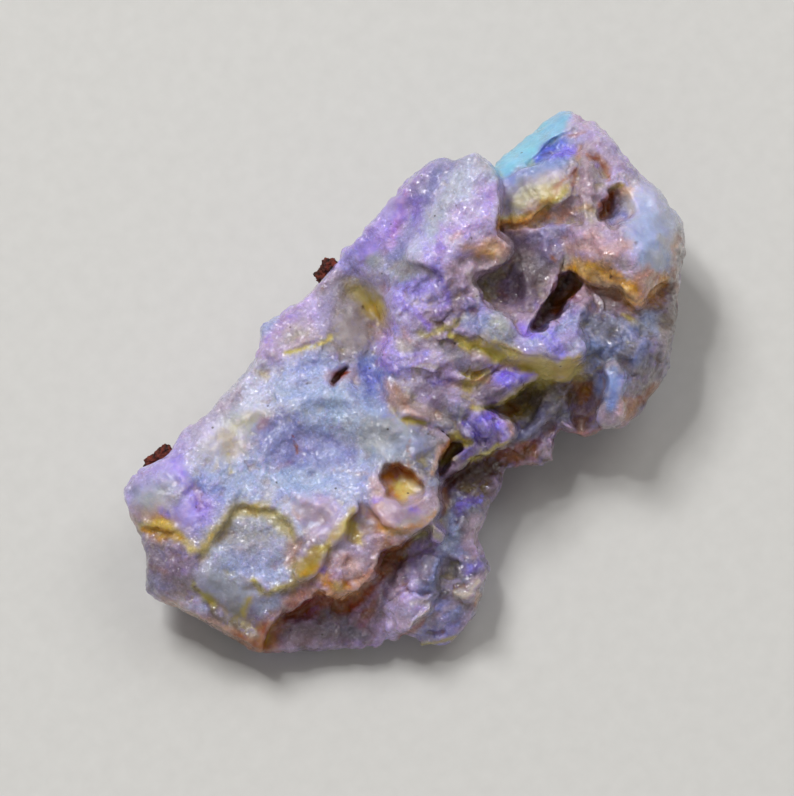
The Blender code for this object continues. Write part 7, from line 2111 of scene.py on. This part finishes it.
    def chip(self, spot: Vector, offset: float) -> float:
        """How far a broken face stands up at a spot: each cell of the stone breaks along its own plane.

        Args:
            spot: the spot, in cell sizes.
            offset: moves the cells.

        Returns:
            The height, in cell sizes, about -0.4 to 0.4.
        """
        reach, often = self.chip_warp
        warped = spot + Vector((offset, 0, 0)) + reach * noise.noise_vector(spot * often)
        gaps, middles = noise.voronoi(warped)
        near, next_near = (
            (warped - middle).dot(noise.noise_vector(middle * self.chip_lean)) for middle in middles[:2]
        )
        mixed = 0.5 * max(1 - (gaps[1] - gaps[0]) / self.chip_blend, 0)
        return near * (1 - mixed) + next_near * mixed

    @staticmethod
    def cloud(points: Array, size_mm: float, offset: float) -> Array:
        """Soft noise through space, about -1 to 1, whose blotches are about size_mm across."""
        return np.array([noise.noise(Vector(spot)) for spot in points / (size_mm * MM) + offset])

    @staticmethod
    def hollows(mesh: bpy.types.Mesh, rounds: int) -> Array:
        """How many millimetres each point lies below its smoothed surroundings, negative on edges."""
        smooth = bmesh.new()
        smooth.from_mesh(mesh)
        relaxed(smooth, smooth.verts, rounds)
        smoothed = np.array([vertex.co for vertex in smooth.verts])
        smooth.free()
        normals = vectors(mesh.vertex_normals, "vector")
        return ((smoothed - all_points(mesh)) * normals).sum(axis=1) / MM


@dataclass(frozen=True)
class Crumbs:
    """Rough beads of ironstone, half sunk in the stone's back flank.

    Attributes:
        roughness: how uneven a bead is, as a share of its radius.
        lumps_across: lumps across a bead's radius.
        grit: how far grains stand out, as a share of the radius.
        grains_across: grains across a bead's radius.
        fineness: how often a bead's faces are split.
        spots: trace point and height, and radii in millimetres.
    """

    roughness: float = 0.4
    lumps_across: float = 1.7
    grit: float = 0.16
    grains_across: float = 5.0
    fineness: int = 5
    spots: tuple[tuple[tuple[float, ...], tuple[float, ...]], ...] = (
        ((152, 461, 6.4), (0.6, 0.4, 0.5)),
        ((164, 454, 6.8), (0.7, 0.5, 0.6)),
        ((330, 266, 8.2), (0.6, 0.6, 0.7)),
        ((322, 275, 7.6), (0.55, 0.5, 0.6)),
    )

    def build(self) -> bpy.types.Object:
        """The beads as one piece, before it is moved over the origin."""
        beads = bmesh.new()
        for seed, (spot, radii) in enumerate(self.spots):
            made = bmesh.ops.create_icosphere(beads, subdivisions=self.fineness, radius=1)["verts"]
            for vertex in made:
                lump = noise.noise(vertex.co * self.lumps_across + Vector((seed, 0, 0)))
                grain = noise.fractal(
                    vertex.co * self.grains_across + Vector((seed, 7, 0)), NOISE_FALL, NOISE_STEP, 3
                )
                vertex.co *= 1 + self.roughness * lump + self.grit * grain
            bmesh.ops.scale(beads, vec=[radius * MM for radius in radii], verts=made)
            bmesh.ops.translate(beads, vec=placed(*np.array(spot, float)[:, None])[0], verts=made)
        mesh = as_mesh(beads, "ironstone_crumbs")
        mesh.shade_smooth()
        return as_object(mesh, "ironstone_crumbs")


@dataclass
class RoughOpal:
    """The whole object: the opal and the crumbs of host rock on its back.

    Attributes:
        stone: the opal.
        crumbs: the crumbs.
        shift: how far the pieces are moved to stand over the origin, known once they are built.
    """

    stone: Stone
    crumbs: Crumbs
    shift: Vector = field(default_factory=Vector)

    def build(self) -> list[bpy.types.Object]:
        """Builds, dresses and registers the pieces.

        Returns:
            The finished pieces.
        """
        opal = self.stone.build()
        crumbs = self.crumbs.build()
        self.stone.colour_skin(opal.data)
        opal.data.materials.append(PreciousOpal().material())
        crumbs.data.materials.append(Ironstone().material())
        crumbs.data.transform(Matrix.Translation((0, 0, -self.stone.flat_cut)))
        both = np.vstack([all_points(opal.data), all_points(crumbs.data)])
        low, high = (np.array(corner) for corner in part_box(CAD_NODE))
        across, along, _ = (low + high) / 2 - (both.min(axis=0) + both.max(axis=0)) / 2
        self.shift = Vector((across, along, 0))
        for piece in (opal, crumbs):
            piece.data.transform(Matrix.Translation(self.shift))
            piece.data.update()
            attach(piece, BODY)
            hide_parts(CAD_NODE)
        return [opal, crumbs]


@dataclass(frozen=True)
class Studio:
    """A pale floor, soft lamps and the camera at the picture's angle.

    Attributes:
        floor_size: metres along each side of the floor.
        floor_gap: metres between the floor and the stone's resting face.
        far: metres from the stone to the camera.
        sees_to: metres that the camera sees.
        sensor: the camera's sensor width in millimetres.
        aim_height: millimetres above the resting face that the camera looks at.
        room_tint: colour of the light from all sides.
        room_light: its strength.
        lamps: name, power in watts, size in metres, and place in metres to the right of the
            picture, towards its top, and up.
    """

    floor_size: float = 6.0
    floor_gap: float = 0.02 * MM
    far: float = 1.2
    sees_to: float = 20.0
    sensor: float = 36.0
    aim_height: float = 8.0
    room_tint: str = "EEEBE6"
    room_light: float = 0.30
    lamps: tuple[tuple[str, float, float, tuple[float, float, float]], ...] = (
        ("key", 6.8, 0.36, (-0.40, 0.44, 0.93)),
        ("top", 2.4, 0.60, (0.45, 0.45, 0.85)),
        ("front", 0.6, 0.80, (-0.2, -0.8, 0.8)),
        ("sparkle", 1.6, 0.08, (-0.30, 0.20, 1.0)),
    )

    def build(self, shift: Vector) -> None:
        """Makes everything round the stone.

        Args:
            shift: how far the stone was moved to stand over the origin.
        """
        self.floor()
        self.light()
        self.camera(shift)

    def floor(self) -> None:
        """The floor, just under the stone."""
        sheet = bmesh.new()
        bmesh.ops.create_grid(sheet, x_segments=8, y_segments=8, size=self.floor_size / 2)
        bmesh.ops.translate(sheet, vec=(0, 0, -self.floor_gap), verts=sheet.verts)
        mesh = as_mesh(sheet, "floor")
        mesh.materials.append(StudioPaper().material())
        as_object(mesh, "floor")

    def light(self) -> None:
        """The soft lamps and the pale room light."""
        right = Vector((math.cos(LONG_AXIS_TURN), -math.sin(LONG_AXIS_TURN), 0))
        back = Vector((math.sin(LONG_AXIS_TURN), math.cos(LONG_AXIS_TURN), 0))
        for name, power, size, (across, away, height) in self.lamps:
            lamp = bpy.data.lights.new(name, "AREA")
            lamp.energy = power
            lamp.size = size
            stand = bpy.data.objects.new(name, lamp)
            stand.location = right * across + back * away + Vector((0, 0, height))
            stand.rotation_euler = (-stand.location).to_track_quat("-Z", "Y").to_euler()
            stand.visible_camera = False
            bpy.context.scene.collection.objects.link(stand)
        world = bpy.data.worlds.new("room")
        world.use_nodes = True
        room = world.node_tree.nodes["Background"]
        feed(room, {"Color": (*linear(self.room_tint), 1), "Strength": self.room_light})
        bpy.context.scene.world = world

    def camera(self, shift: Vector) -> None:
        """The camera, as steep over the stone as the picture was taken.

        Args:
            shift: how far the stone was moved to stand over the origin.
        """
        lens = bpy.data.cameras.new("camera")
        lens.sensor_width = self.sensor
        lens.lens = self.sensor * self.far / (max(PHOTO_SIZE) * UNIT)
        lens.clip_end = self.sees_to
        middle = np.array([[side / 2] for side in PHOTO_SIZE])
        aim = Vector(placed(*middle, np.array([self.aim_height]))[0]) + shift
        eye = bpy.data.objects.new("camera", lens)
        eye.location = aim + sight() * self.far
        eye.rotation_euler = (-sight()).to_track_quat("-Z", "Y").to_euler()
        bpy.context.scene.collection.objects.link(eye)
        bpy.context.scene.camera = eye


def main() -> None:
    """Builds the opal and the studio, and reports each piece."""
    logging.basicConfig(level=logging.INFO, format="%(name)s: %(message)s")
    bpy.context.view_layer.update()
    opal = RoughOpal(Stone(), Crumbs())
    for piece in opal.build():
        faces = sum(len(face.vertices) - 2 for face in piece.data.polygons)
        LOG.info("%s: %d triangles", piece.name, faces)
    Studio().build(opal.shift)
    bpy.context.scene.view_settings.view_transform = "Standard"
    bpy.context.view_layer.update()


if __name__ == "__main__":
    main()
